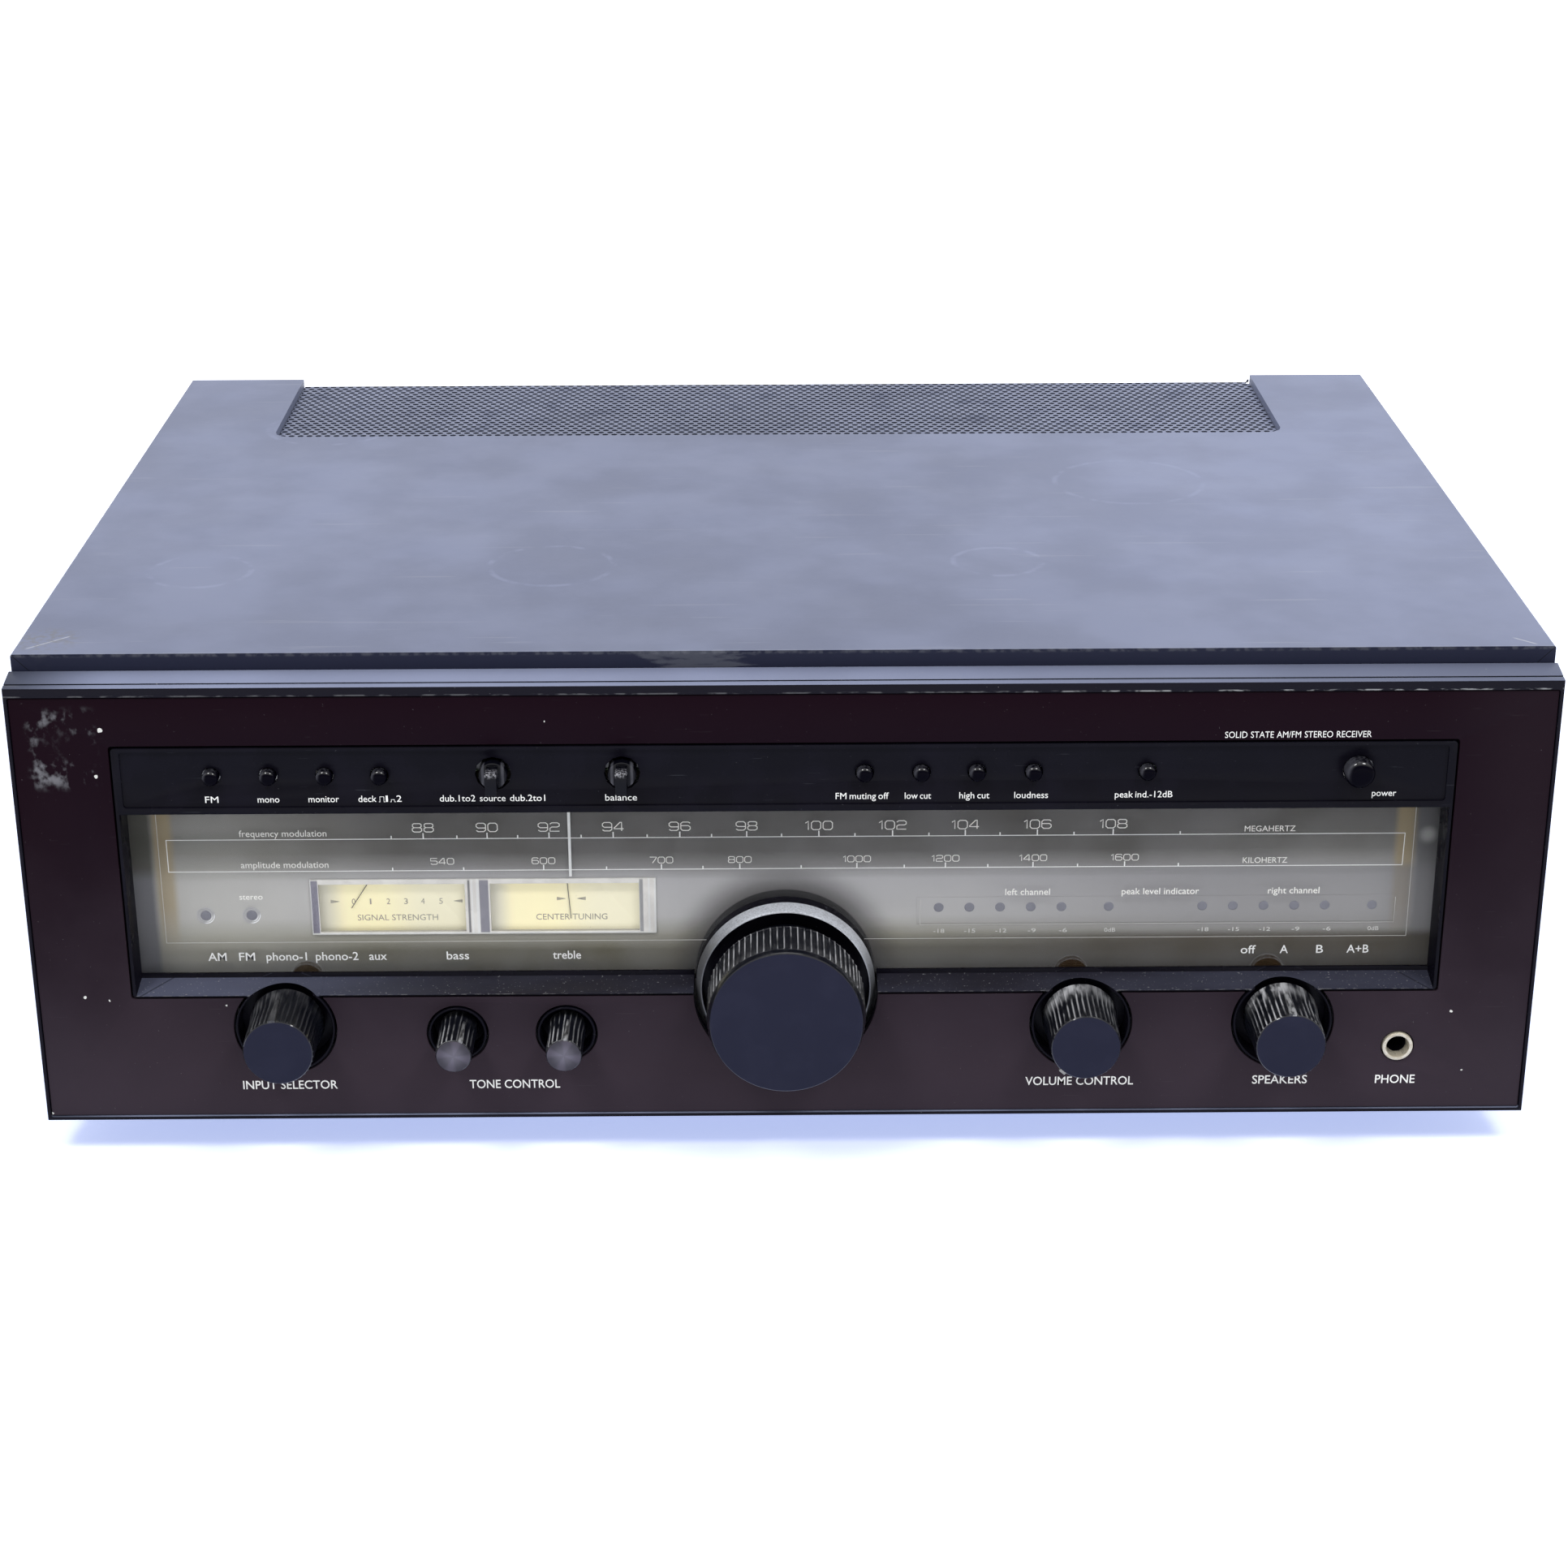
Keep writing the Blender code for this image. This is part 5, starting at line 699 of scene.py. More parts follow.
@finish_once
def grille_paint():
    """The perforated plate: slate like the sleeve, with painted shade on the walls of its holes and darker
    patches of dust.
    """
    finish = Finish("grille_paint", Specular_IOR_Level=0.12)
    x, y, _ = finish.places()
    slate_tone(finish, x, y)
    # Painted shade on the walls of the holes, all faces that do not look up.
    finish.over(finish.spread(finish.normal(2), 0.8, 0.3) * 0.85, tone(colours().slate, 0.15))
    dirt = finish.patches(0.5, 0.75, 12, 6)
    finish.over(dirt * 0.3 + 0.1, tone(colours().slate, 0.4))
    return finish.done(dirt * 0.2 + 0.4)


@finish_once
def plated_steel():
    """Yellowed zinc plate on sheet steel, spangled and spotted."""
    finish = Finish("plated_steel")
    inputs = {"Vector": finish.object_place(), "Scale": 140.0}
    spangle = finish.node("ShaderNodeTexVoronoi", {"feature": "F1"}, inputs, "Distance")
    spots = finish.patches(0.55, 0.7, 5, 6)
    finish.shade = finish.blend(spangle, (0.34, 0.335, 0.315), (0.30, 0.295, 0.28))
    finish.over(spots * 0.12, (0.20, 0.18, 0.14))
    return finish.done(spangle * 0.06 + 0.4, (finish.noise(3, 3), 0.01, 0.2), Metallic=0.9 - spots * 0.15)


@finish_once
def turned_steel():
    """Bright steel with fine turning marks and a few brown stains."""
    finish = Finish("turned_steel")
    grain = finish.noise(1.2, 4, (1, 6, 1))
    stain = finish.patches(0.5, 0.7, 7, 5)
    finish.shade = finish.blend(grain, (0.40, 0.40, 0.41), (0.54, 0.54, 0.55))
    finish.over(stain * 0.5, (0.22, 0.20, 0.18))
    return finish.done(grain * 0.2 + 0.25, Metallic=0.95 - stain * 0.3)


@finish_once
def circuit_board():
    """Green board with pale tracks and solder."""
    finish = Finish("circuit_board", Specular_IOR_Level=0.4)
    finish.shade = finish.node("ShaderNodeTexBrick", {"offset": 0.4}, {
        "Vector": finish.object_place(), "Scale": 60.0, "Mortar Size": 0.03,
        "Color1": (0.03, 0.12, 0.06), "Color2": (0.045, 0.15, 0.07), "Mortar": (0.10, 0.24, 0.12),
    })
    cloud = finish.noise(9, 4)
    finish.over(cloud * 0.4, (0.03, 0.07, 0.035))
    return finish.done(cloud * 0.2 + 0.35)


@finish_once
def rear_plastic():
    """Moulded black of the rear terminals."""
    finish = Finish("rear_plastic", Specular_IOR_Level=0.35)
    cloud = finish.noise(5, 5)
    finish.shade = finish.blend(cloud, (0.014, 0.014, 0.016), (0.035, 0.035, 0.038))
    finish.over(finish.patches(0.68, 0.74, 0.7, 3) * 0.5, (0.22, 0.22, 0.22))
    return finish.done(cloud * 0.2 + 0.36, (finish.noise(0.6, 3), 0.015, 0.5))


@finish_once
def foot_rubber():
    """Dull rubber, dusty in its hollows."""
    finish = Finish("foot_rubber", Specular_IOR_Level=0.3)
    dust = finish.patches(0.45, 0.75, 3, 6)
    finish.shade = finish.blend(dust * 0.5, (0.016, 0.016, 0.017), (0.075, 0.073, 0.07))
    return finish.done(dust * 0.2 + 0.6, (finish.noise(0.6, 3), 0.03, 0.6))


@finish_once
def clouded(name, grain, detail, first, second, specular, roughness, rise=0.0, relief=None, metallic=None):
    """A finish of one cloudy noise: its two shades, and how its roughness, relief and metallic follow it."""
    finish = Finish(name, Specular_IOR_Level=specular)
    cloud = finish.noise(grain, detail)
    finish.shade = finish.blend(cloud, first, second)
    others = {"Metallic": cloud * metallic[1] + metallic[0]} if metallic else {}
    return finish.done(cloud * rise + roughness if rise else roughness, relief and (cloud, *relief), **others)


def dark_ink():
    ink = tuple(colours().ink)
    return clouded("dark_ink", 1.2, 3, ink, tone(ink, 1.9), 0.5, 0.6)


def faint_print():
    """Lines and words seen dimly behind the window's haze."""
    return clouded("faint_print", 1.4, 3, (0.56, 0.55, 0.53), (0.72, 0.71, 0.69), 0.2, 0.6)


def lamp_lens():
    """An unlit lamp's smoky lens."""
    lens = tuple(colours().lens)
    return clouded("lamp_lens", 0.9, 3, lens, tone(lens, 1.3), 0.15, 0.18, 0.1)


def coloured_plastic(*base):
    return clouded("coloured_plastic", 2, 4, tone(base, 0.75), tone(base, 1.15), 0.4, 0.3, 0.2)


def fresh():
    bpy.ops.object.select_all(action="DESELECT")


def only(piece):
    fresh()
    piece.select_set(True)
    bpy.context.view_layer.objects.active = piece


def named(name):
    piece = bpy.context.active_object
    piece.name = piece.data.name = name
    return piece


class Shaping:
    """Edit mode on one piece, in which faces, edges or corners are picked by a rule."""

    def __init__(self, piece):
        self.piece = piece

    def __enter__(self):
        only(self.piece)
        bpy.ops.object.mode_set(mode="EDIT")
        bpy.ops.mesh.select_all(action="DESELECT")
        return self

    def __exit__(self, *trouble):
        bpy.ops.object.mode_set(mode="OBJECT")

    def pick(self, kind, rule):
        modes = {"verts": "VERT", "edges": "EDGE", "faces": "FACE"}
        bpy.ops.mesh.select_mode(type=modes[kind])
        bpy.ops.mesh.select_all(action="DESELECT")
        form = bmesh.from_edit_mesh(self.piece.data)
        form.normal_update()
        found = 0
        for part in getattr(form, kind):
            if rule(part):
                part.select_set(True)
                found += 1
        form.select_flush_mode()
        bmesh.update_edit_mesh(self.piece.data)
        if not found:
            raise RuntimeError(f"nothing to pick on {self.piece.name}")

    def everything(self):
        bpy.ops.mesh.select_all(action="SELECT")

    def tidy(self):
        self.everything()
        bpy.ops.mesh.remove_doubles(threshold=1e-6)
        bpy.ops.mesh.normals_make_consistent(inside=False)


def shift(piece, kind, rule, move):
    """Moves the corners or edges that the rule picks by millimetres."""
    with Shaping(piece) as shaping:
        shaping.pick(kind, rule)
        bpy.ops.transform.translate(value=Vector(move) * MM)
    return piece


def settle(piece):
    """Puts the piece's place, turn and size into its mesh."""
    only(piece)
    bpy.ops.object.transform_apply(location=True, rotation=True, scale=True)
    return piece


def apply_change(piece, kind, **settings):
    only(piece)
    change = piece.modifiers.new(kind.lower(), kind)
    for name, value in settings.items():
        setattr(change, name, value)
    bpy.ops.object.modifier_apply(modifier=change.name)
    return piece


def ease(piece, width, angle=32, segments=2):
    """Rounds the piece's sharp edges and shades it smoothly between them."""
    apply_change(
        piece, "BEVEL", width=width, segments=segments, limit_method="ANGLE", angle_limit=math.radians(angle),
        harden_normals=False, use_clamp_overlap=True,
    )
    smooth(piece, angle)
    return piece


def smooth(piece, angle=35):
    only(piece)
    bpy.ops.object.shade_smooth_by_angle(angle=math.radians(angle))
    return piece


def lay(piece, turn, at):
    """Turns a piece that was built round the panel's foot, and moves it to its place."""
    piece.location = -spot(0, 0, 0)
    settle(piece)
    piece.rotation_euler = turn
    piece.location = spot(*at)
    return settle(piece)


def cuboid(name, x, y, z):
    """A block between pairs of places in millimetres, the start of a flat-sided piece."""
    fresh()
    middle = spot(sum(x) / 2, sum(y) / 2, sum(z) / 2)
    bpy.ops.mesh.primitive_cube_add(size=1, location=middle)
    piece = named(name)
    piece.scale = ((x[1] - x[0]) * MM, (y[1] - y[0]) * MM, (z[1] - z[0]) * MM)
    return settle(piece)


def round_bar(name, radius, y, centre, sides):
    """A cylinder along Y, used to cut round holes."""
    fresh()
    bpy.ops.mesh.primitive_cylinder_add(
        vertices=sides, radius=radius * MM, depth=(y[1] - y[0]) * MM,
        location=spot(centre[0], sum(y) / 2, centre[1]), rotation=(math.pi / 2, 0, 0),
    )
    return settle(named(name))


def join_pieces(name, *pieces):
    fresh()
    for piece in pieces:
        piece.select_set(True)
    bpy.context.view_layer.objects.active = pieces[0]
    if len(pieces) > 1:
        bpy.ops.object.join()
    return named(name)


def discard(*pieces):
    for piece in pieces:
        bpy.data.objects.remove(piece, do_unlink=True)


def cut_out(piece, *tools):
    """Cuts the tools out of the piece and removes them."""
    cutter = join_pieces(piece.name + "_cutter", *tools)
    apply_change(
        piece, "BOOLEAN", object=cutter, operation="DIFFERENCE", solver="EXACT", use_self=len(tools) > 1
    )
    discard(cutter)
    return piece


def lathed(name, profile, centre, sides, closed=False):
    """Draws a round piece up ring by ring: a circle, extruded and resized along Y.

    The profile holds pairs of radius and depth in millimetres. A radius of 0 at an end closes it.
    """
    rings = [ring for ring in profile if ring[0]]
    radius, depth = rings[0]
    fresh()
    bpy.ops.mesh.primitive_circle_add(
        vertices=sides, radius=radius * MM, fill_type="NOTHING" if profile[0][0] else "NGON",
        location=spot(centre[0], depth, centre[1]), rotation=(math.pi / 2, 0, 0),
    )
    piece = settle(named(name))
    with Shaping(piece) as shaping:
        shaping.pick("edges", lambda e: True)
        for wider, further in rings[1:]:
            bpy.ops.mesh.extrude_edges_move(TRANSFORM_OT_translate={"value": (0, (further - depth) * MM, 0)})
            share, middle = wider / radius, spot(centre[0], further, centre[1])
            bpy.ops.transform.resize(value=(share, 1, share), center_override=middle)
            radius, depth = wider, further
        if not profile[-1][0]:
            bpy.ops.mesh.edge_face_add()
        shaping.everything()
        if closed:
            bpy.ops.mesh.remove_doubles(threshold=1e-6)
        bpy.ops.mesh.normals_make_consistent(inside=False)
    return piece


def copy_of(piece, name, move=(0, 0, 0)):
    """A copy with its own mesh, moved by millimetres."""
    only(piece)
    bpy.ops.object.duplicate(linked=False)
    made = named(name)
    made.location = Vector(move) * MM
    return settle(made)


def from_node(node, name):
    """A copy of a CAD node's mesh, made one skin with its flat faces whole, as the start of a finer piece."""
    only(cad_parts[node])
    bpy.ops.object.duplicate(linked=False)
    piece = named(name)
    piece.parent = None
    piece.matrix_world = Matrix()
    with Shaping(piece) as shaping:
        shaping.everything()
        bpy.ops.mesh.remove_doubles(threshold=2e-6)
        bpy.ops.mesh.dissolve_limited(angle_limit=math.radians(0.5))
    return piece


def dress(piece, finish, body="case", replaces=()):
    """Gives a finished piece its material, its body and the CAD nodes that it stands for."""
    piece.data.materials.clear()
    piece.data.materials.append(finish)
    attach(piece, body)
    if replaces:
        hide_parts(*replaces)
    return piece


def paint(finish, *nodes):
    """Gives CAD nodes whose shape stays a better material."""
    for node in nodes:
        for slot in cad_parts[node].material_slots:
            slot.material = finish


def lettering(name, rows, y, capital, weight=0.006, gap=1.0):
    """Words as thin print: each row holds the words, their left and right ends and their base line.

    The weight thickens the strokes and the gap widens the space between two words.
    """
    thickness = sizes().print_thickness
    pieces = []
    for text, left, right, base in rows:
        fresh()
        bpy.ops.object.text_add()
        word = bpy.context.active_object
        word.data.body = text
        word.data.size = capital / CAPITAL_SHARE * MM
        word.data.resolution_u = 3
        word.data.extrude = thickness / 2
        word.data.offset = weight * word.data.size
        word.data.space_word = gap
        bpy.ops.object.convert(target="MESH")
        word = bpy.context.active_object
        edge = min(corner[0] for corner in word.bound_box)
        width = max(corner[0] for corner in word.bound_box) - edge
        share = (right - left) * MM / width
        word.rotation_euler.x = math.pi / 2
        word.scale = (share, 1, 1)
        word.location = spot(left, y, base) - Vector((edge * share, thickness / 2, 0))
        pieces.append(settle(word))
    return join_pieces(name, *pieces)


def strokes(name, paths, y, width):
    """Printed lines: each path is a chain of places across and up, drawn as a thin flat line."""
    curve = bpy.data.curves.new(name, "CURVE")
    curve.dimensions = "3D"
    curve.bevel_depth = width / 2 * MM
    curve.bevel_resolution = 1
    curve.use_fill_caps = True
    for path in paths:
        closed = path[0] == path[-1]
        points = path[:-1] if closed else path
        spline = curve.splines.new("POLY")
        spline.points.add(len(points) - 1)
        spline.use_cyclic_u = closed
        for point, (x, z) in zip(spline.points, points):
            point.co = (x * MM, 0, z * MM, 1)
    drawn = bpy.data.objects.new(name, curve)
    bpy.context.scene.collection.objects.link(drawn)
    only(drawn)
    bpy.ops.object.convert(target="MESH")
    drawn = named(name)
    drawn.scale.y = sizes().print_thickness / (width * MM)
    drawn.location = spot(0, y, 0)
    return settle(drawn)


def square_numbers(rows, height, wide, gap):
    """Chains for wide, square-cornered figures: each row holds the number, its middle and its base line."""
    chains = []
    for text, middle, base in rows:
        widths = [wide * (0.4 if figure == "1" else 1) for figure in text]
        left = middle - (sum(widths) + gap * (len(text) - 1)) / 2
        for figure, width in zip(text, widths):
            chains += [[(left + u * width, base + v * height) for u, v in chain] for chain in FIGURES[figure]]
            left += width + gap
    return chains


def corners(*places):
    """A ring of places, closed."""
    return [*places, places[0]]


FIGURES = {
    "0": [corners((0.2, 0), (0.8, 0), (1, 0.2), (1, 0.8), (0.8, 1), (0.2, 1), (0, 0.8), (0, 0.2))],
    "1": [[(0, 0.78), (0.8, 1), (0.8, 0)]],
    "2": [[(0, 0.84), (0.2, 1), (0.8, 1), (1, 0.86), (1, 0.62), (0.8, 0.5), (0.2, 0.5), (0, 0.36), (0, 0),
           (1, 0)]],
    "4": [[(0.8, 0), (0.8, 1), (0.62, 1), (0, 0.34), (0, 0.25), (1, 0.25)]],
    "5": [[(1, 1), (0, 1), (0, 0.57), (0.8, 0.57), (1, 0.43), (1, 0.15), (0.8, 0), (0.2, 0), (0, 0.14)]],
    "6": [[(1, 0.86), (0.8, 1), (0.2, 1), (0, 0.82), (0, 0.18), (0.2, 0), (0.8, 0), (1, 0.16), (1, 0.42),
           (0.8, 0.57), (0, 0.57)]],
    "7": [[(0, 1), (1, 1), (1, 0.88), (0.4, 0)]],
    "8": [corners((0.2, 0.52), (0.04, 0.64), (0.04, 0.88), (0.2, 1), (0.8, 1), (0.96, 0.88), (0.96, 0.64),
                  (0.8, 0.52)),
          corners((0.2, 0.52), (0, 0.38), (0, 0.14), (0.2, 0), (0.8, 0), (1, 0.14), (1, 0.38), (0.8, 0.52))],
    "9": [[(0, 0.14), (0.2, 0), (0.8, 0), (1, 0.18), (1, 0.82), (0.8, 1), (0.2, 1), (0, 0.84), (0, 0.58),
           (0.2, 0.43), (1, 0.43)]],
}
CAPITAL_SHARE = 0.682
TURNS = {"input_knob": -7, "bass_knob": 25, "treble_knob": 7, "volume_knob": -140, "speakers_knob": 0}
# Each knob's share of rubbed grey and painted highlight on its flutes.
WEAR_AND_GLINT = {"input_knob": 0.12, "bass_knob": 0.7, "treble_knob": 0.8, "volume_knob": 0.75, "speakers_knob": 0.95}
BUTTONS = {
    "muting_button": -180.2, "mono_button": -162.3, "monitor_one_button": -144.6,
    "monitor_two_button": -127.4, "fm_muting_button": 25.0, "low_cut_button": 42.9,
    "high_cut_button": 60.35, "loudness_button": 78.2, "peak_range_button": 114.0,
}
SHEET_BACK = 14.05
DIAL_FACE = 16.16


def screw_head(name, radius, proud, turn, at):
    """A cross-recessed pan head, modelled looking along Y and then turned to where it belongs."""
    dome = [(0, 1), (0.55, 1), (0.88, 0.72), (1, 0.25)]
    head = lathed(name, [(share * radius, up * proud) for share, up in dome] + [(radius, -0.3)], (0, 0), 24)
    arms = []
    sides = [(-half, half) for half in (radius * 0.55, proud * 0.6, radius * 0.1)]
    for lean in (20, 110):
        arms.append(lay(cuboid(name, *sides), (0, math.radians(lean), 0), (0, proud, 0)))
    cut_out(head, *arms)
    return lay(smooth(head, 30), turn, at)


class RECEIVER_OT_cabinet(bpy.types.Operator):
    """Finish the painted sleeve and add its side screws"""

    bl_idname = "receiver.cabinet"
    bl_label = "Cabinet"

    def execute(self, context):
        paint(slate_enamel(), "cabinet")
        for side, word in ((-1, "left"), (1, "right")):
            for n, y in enumerate((62, 300)):
                turn, place = (0, 0, -side * math.pi / 2), (side * (CABINET_HALF + 0.05), y, 18)
                screw = screw_head(f"side_screw_{word}_{n}", 3.2, 0.7, turn, place)
                dress(screw, turned_steel())
        return {"FINISHED"}


GRILLE_CORNER = 6.2 * MM
RIM_SHARE = 1.01


class RECEIVER_OT_grille(bpy.types.Operator):
    """Punch the vent grille's staggered holes"""

    bl_idname = "receiver.grille"
    bl_label = "Vent grille"

    def execute(self, context):
        low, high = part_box("vent_grille")
        pitch = sizes().hole_pitch
        row = pitch * math.sin(math.pi / 3)
        columns = math.ceil((high[0] - low[0]) / pitch) + 2
        rows = math.ceil((high[1] - low[1]) / row / 2) + 1
        fresh()
        bpy.ops.mesh.primitive_circle_add(vertices=8, radius=sizes().hole_radius, fill_type="NOTHING")
        grille = named("perforated_grille")
        with Shaping(grille) as shaping:
            shaping.everything()
            bpy.ops.mesh.extrude_edges_move()
            bpy.ops.transform.resize(value=(RIM_SHARE, RIM_SHARE, 1))
            reach = sizes().hole_radius * RIM_SHARE
            slant = reach * math.sqrt(0.5)
            off_axes = lambda v: (abs(v.co.x) > 1e-6, abs(v.co.y) > 1e-6)
            for off, across, along in (
                ((True, True), pitch / 2 / slant, row / 2 / slant),
                ((True, False), pitch / 2 / reach, 1),
                ((False, True), 1, row / 2 / reach),
            ):
                shaping.pick("verts", lambda v: v.co.length > reach * 0.995 and off_axes(v) == off)
                bpy.ops.transform.resize(value=(across, along, 1), center_override=(0, 0, 0))
            shaping.everything()
            bpy.ops.mesh.duplicate_move(TRANSFORM_OT_translate={"value": (pitch / 2, row, 0)})
            shaping.tidy()
        for axis, number, step in ((0, columns, pitch), (1, rows, 2 * row)):
            apply_change(
                grille, "ARRAY", count=number, use_relative_offset=False, use_constant_offset=True,
                constant_offset_displace=[step if n == axis else 0 for n in range(3)],
                use_merge_vertices=True, merge_threshold=1e-5,
            )
        grille.location = (low[0] - pitch * 0.6, low[1] - row * 0.3, high[2])
        settle(grille)
        with Shaping(grille) as shaping:
            clips = [((low[0], 0, 0), (-1, 0, 0)), ((high[0], 0, 0), (1, 0, 0)),
                     ((0, low[1], 0), (0, -1, 0)), ((0, high[1], 0), (0, 1, 0))]
            for side, x in ((-1, low[0]), (1, high[0])):
                hub = Vector((x - side * GRILLE_CORNER, low[1] + GRILLE_CORNER, 0))
                for turn in (22.5, 45, 67.5):
                    away = Vector((side * math.cos(math.radians(turn)), -math.sin(math.radians(turn)), 0))
                    clips.append((hub + away * GRILLE_CORNER, away))
            for place, away in clips:
                shaping.everything()
                bpy.ops.mesh.bisect(plane_co=place, plane_no=away, clear_outer=True)
            shaping.tidy()
        if grille.data.polygons[0].normal.z < 0:
            with Shaping(grille) as shaping:
                shaping.everything()
                bpy.ops.mesh.flip_normals()
        apply_change(grille, "SOLIDIFY", thickness=(high[2] - low[2]), offset=-1)
        dress(grille, grille_paint(), replaces=["vent_grille"])
        return {"FINISHED"}


class RECEIVER_OT_front_frame(bpy.types.Operator):
    """Round the edges of the frame round the front"""

    bl_idname = "receiver.front_frame"
    bl_label = "Front frame"

    def execute(self, context):
        surround = from_node("front_frame", "front_surround")
        lip = spot(0, 0, 149).z
        on_lip = lambda v: depth_at(3.4) < v.co.y < depth_at(4.2) and v.co.z > lip
        shift(surround, "verts", on_lip, (0, -1.2, -0.21))
        dress(ease(surround, 0.2 * MM, 40), navy_lacquer(), replaces=["front_frame"])
        return {"FINISHED"}


class RECEIVER_OT_front_plate(bpy.types.Operator):
    """Cut the front plate and print its words"""

    bl_idname = "receiver.front_plate"
    bl_label = "Front plate"

    def execute(self, context):
        plate = cuboid("face_plate", (-241.1, 241.1), (0.5, 2.5), (1.6, 148.0))
        window = cuboid("window_cut", (-211.5, 211.5), (-2, 5), (44, 131.85))
        with Shaping(window) as shaping:
            shaping.pick("edges", lambda e: abs((e.verts[0].co - e.verts[1].co).y) > 0.004)
            bpy.ops.mesh.bevel(offset=1.0 * MM, segments=5)
        holes = [(29.83, TUNING_AT, 128)]
        holes += [(16.74, (x, MEDIUM_UP), 96) for x in MEDIUM_WELLS.values()]
        holes += [(10.1, (x, SMALL_UP), 72) for x in SMALL_WELLS.values()]
        holes.append((5.4, JACK_AT, 48))
        holes = [round_bar("hole_cut", radius, (-2, 5), at, sides) for radius, at, sides in holes]
        cut_out(plate, window, *holes)
        dress(ease(plate, 0.18 * MM, 30), plate_paint(), replaces=["front_plate"])
        capital = sizes().plate_letters / MM
        words = lettering("plate_words", [
            ("INPUT SELECTOR", -177.7, -146.8, 10.9), ("TONE CONTROL", -103.6, -74.0, 10.7),
            ("VOLUME CONTROL", 78.5, 113.9, 10.5), ("SPEAKERS", 153.0, 171.0, 10.5),
            ("PHONE", 193.4, 206.4, 10.4),
        ], 0.5, capital)
        dress(words, bright_print())
        title = [("SOLID STATE AM/FM STEREO RECEIVER", 137.6, 183.55, 132.7)]
        dress(lettering("plate_title", title, 0.5, 2.1, -0.003, 1.15), bright_print())
        return {"FINISHED"}


def cut_front(piece, y):
    """Cuts off what stands before a depth and closes the cut."""
    with Shaping(piece) as shaping:
        shaping.everything()
        bpy.ops.mesh.bisect(plane_co=spot(0, y, 0), plane_no=(0, 1, 0), clear_inner=True, use_fill=True)
        shaping.tidy()
    return piece


def second_finish(piece, finish, rule):
    """Gives the faces that the rule picks a further material."""
    piece.data.materials.append(finish)
    with Shaping(piece) as shaping:
        shaping.pick("faces", rule)
        piece.active_material_index = len(piece.data.materials) - 1
        bpy.ops.object.material_slot_assign()
    return piece


def finish_front(piece, finish, y):
    """Gives the faces before a depth a further material."""
    return second_finish(piece, finish, lambda f: f.calc_center_median().y < depth_at(y))


def well_cup(name, radius, centre, sides):
    """A cup round a knob, with a rolled rim and a hole for the shaft in its floor."""
    inner = radius - 0.8
    profile = [
        (3.4, 10.1), (radius, 10.1), (radius, 0.55), (radius - 0.12, 0.36), (radius - 0.3, 0.3),
        (inner + 0.25, 0.3), (inner + 0.08, 0.38), (inner, 0.6), (inner, 9.0), (inner - 0.2, 9.2), (3.4, 9.2),
        (3.4, 10.1),
    ]
    return smooth(lathed(name, profile, centre, sides, closed=True), 50)


def slanted(name, x, y, z, rise):
    """A block whose rear end stands higher than its front by the sill's slope."""
    return shift(cuboid(name, x, y, z), "verts", lambda v: v.co.y > depth_at(sum(y) / 2), (0, 0, rise))


STRIP_LINE = 112.35
STRIP_WORDS = (
    ("FM", -182.6, -178.4), ("mono", -166.1, -159.25), ("monitor", -150.1, -140.5), ("deck", -134.4, -128.7),
    ("1", -125.8, -125.1), ("2", -122.4, -120.8), ("dub.1to2", -108.8, -97.6), ("source", -96.2, -88.1),
    ("dub.2to1", -86.7, -75.6), ("balance", -56.7, -46.7), ("FM muting off", 15.9, 32.65),
    ("low cut", 37.7, 46.0), ("high cut", 54.9, 64.4), ("loudness", 72.25, 82.9),
    ("peak ind.-12dB", 104.0, 122.2), ("power", 185.2, 192.9),
)


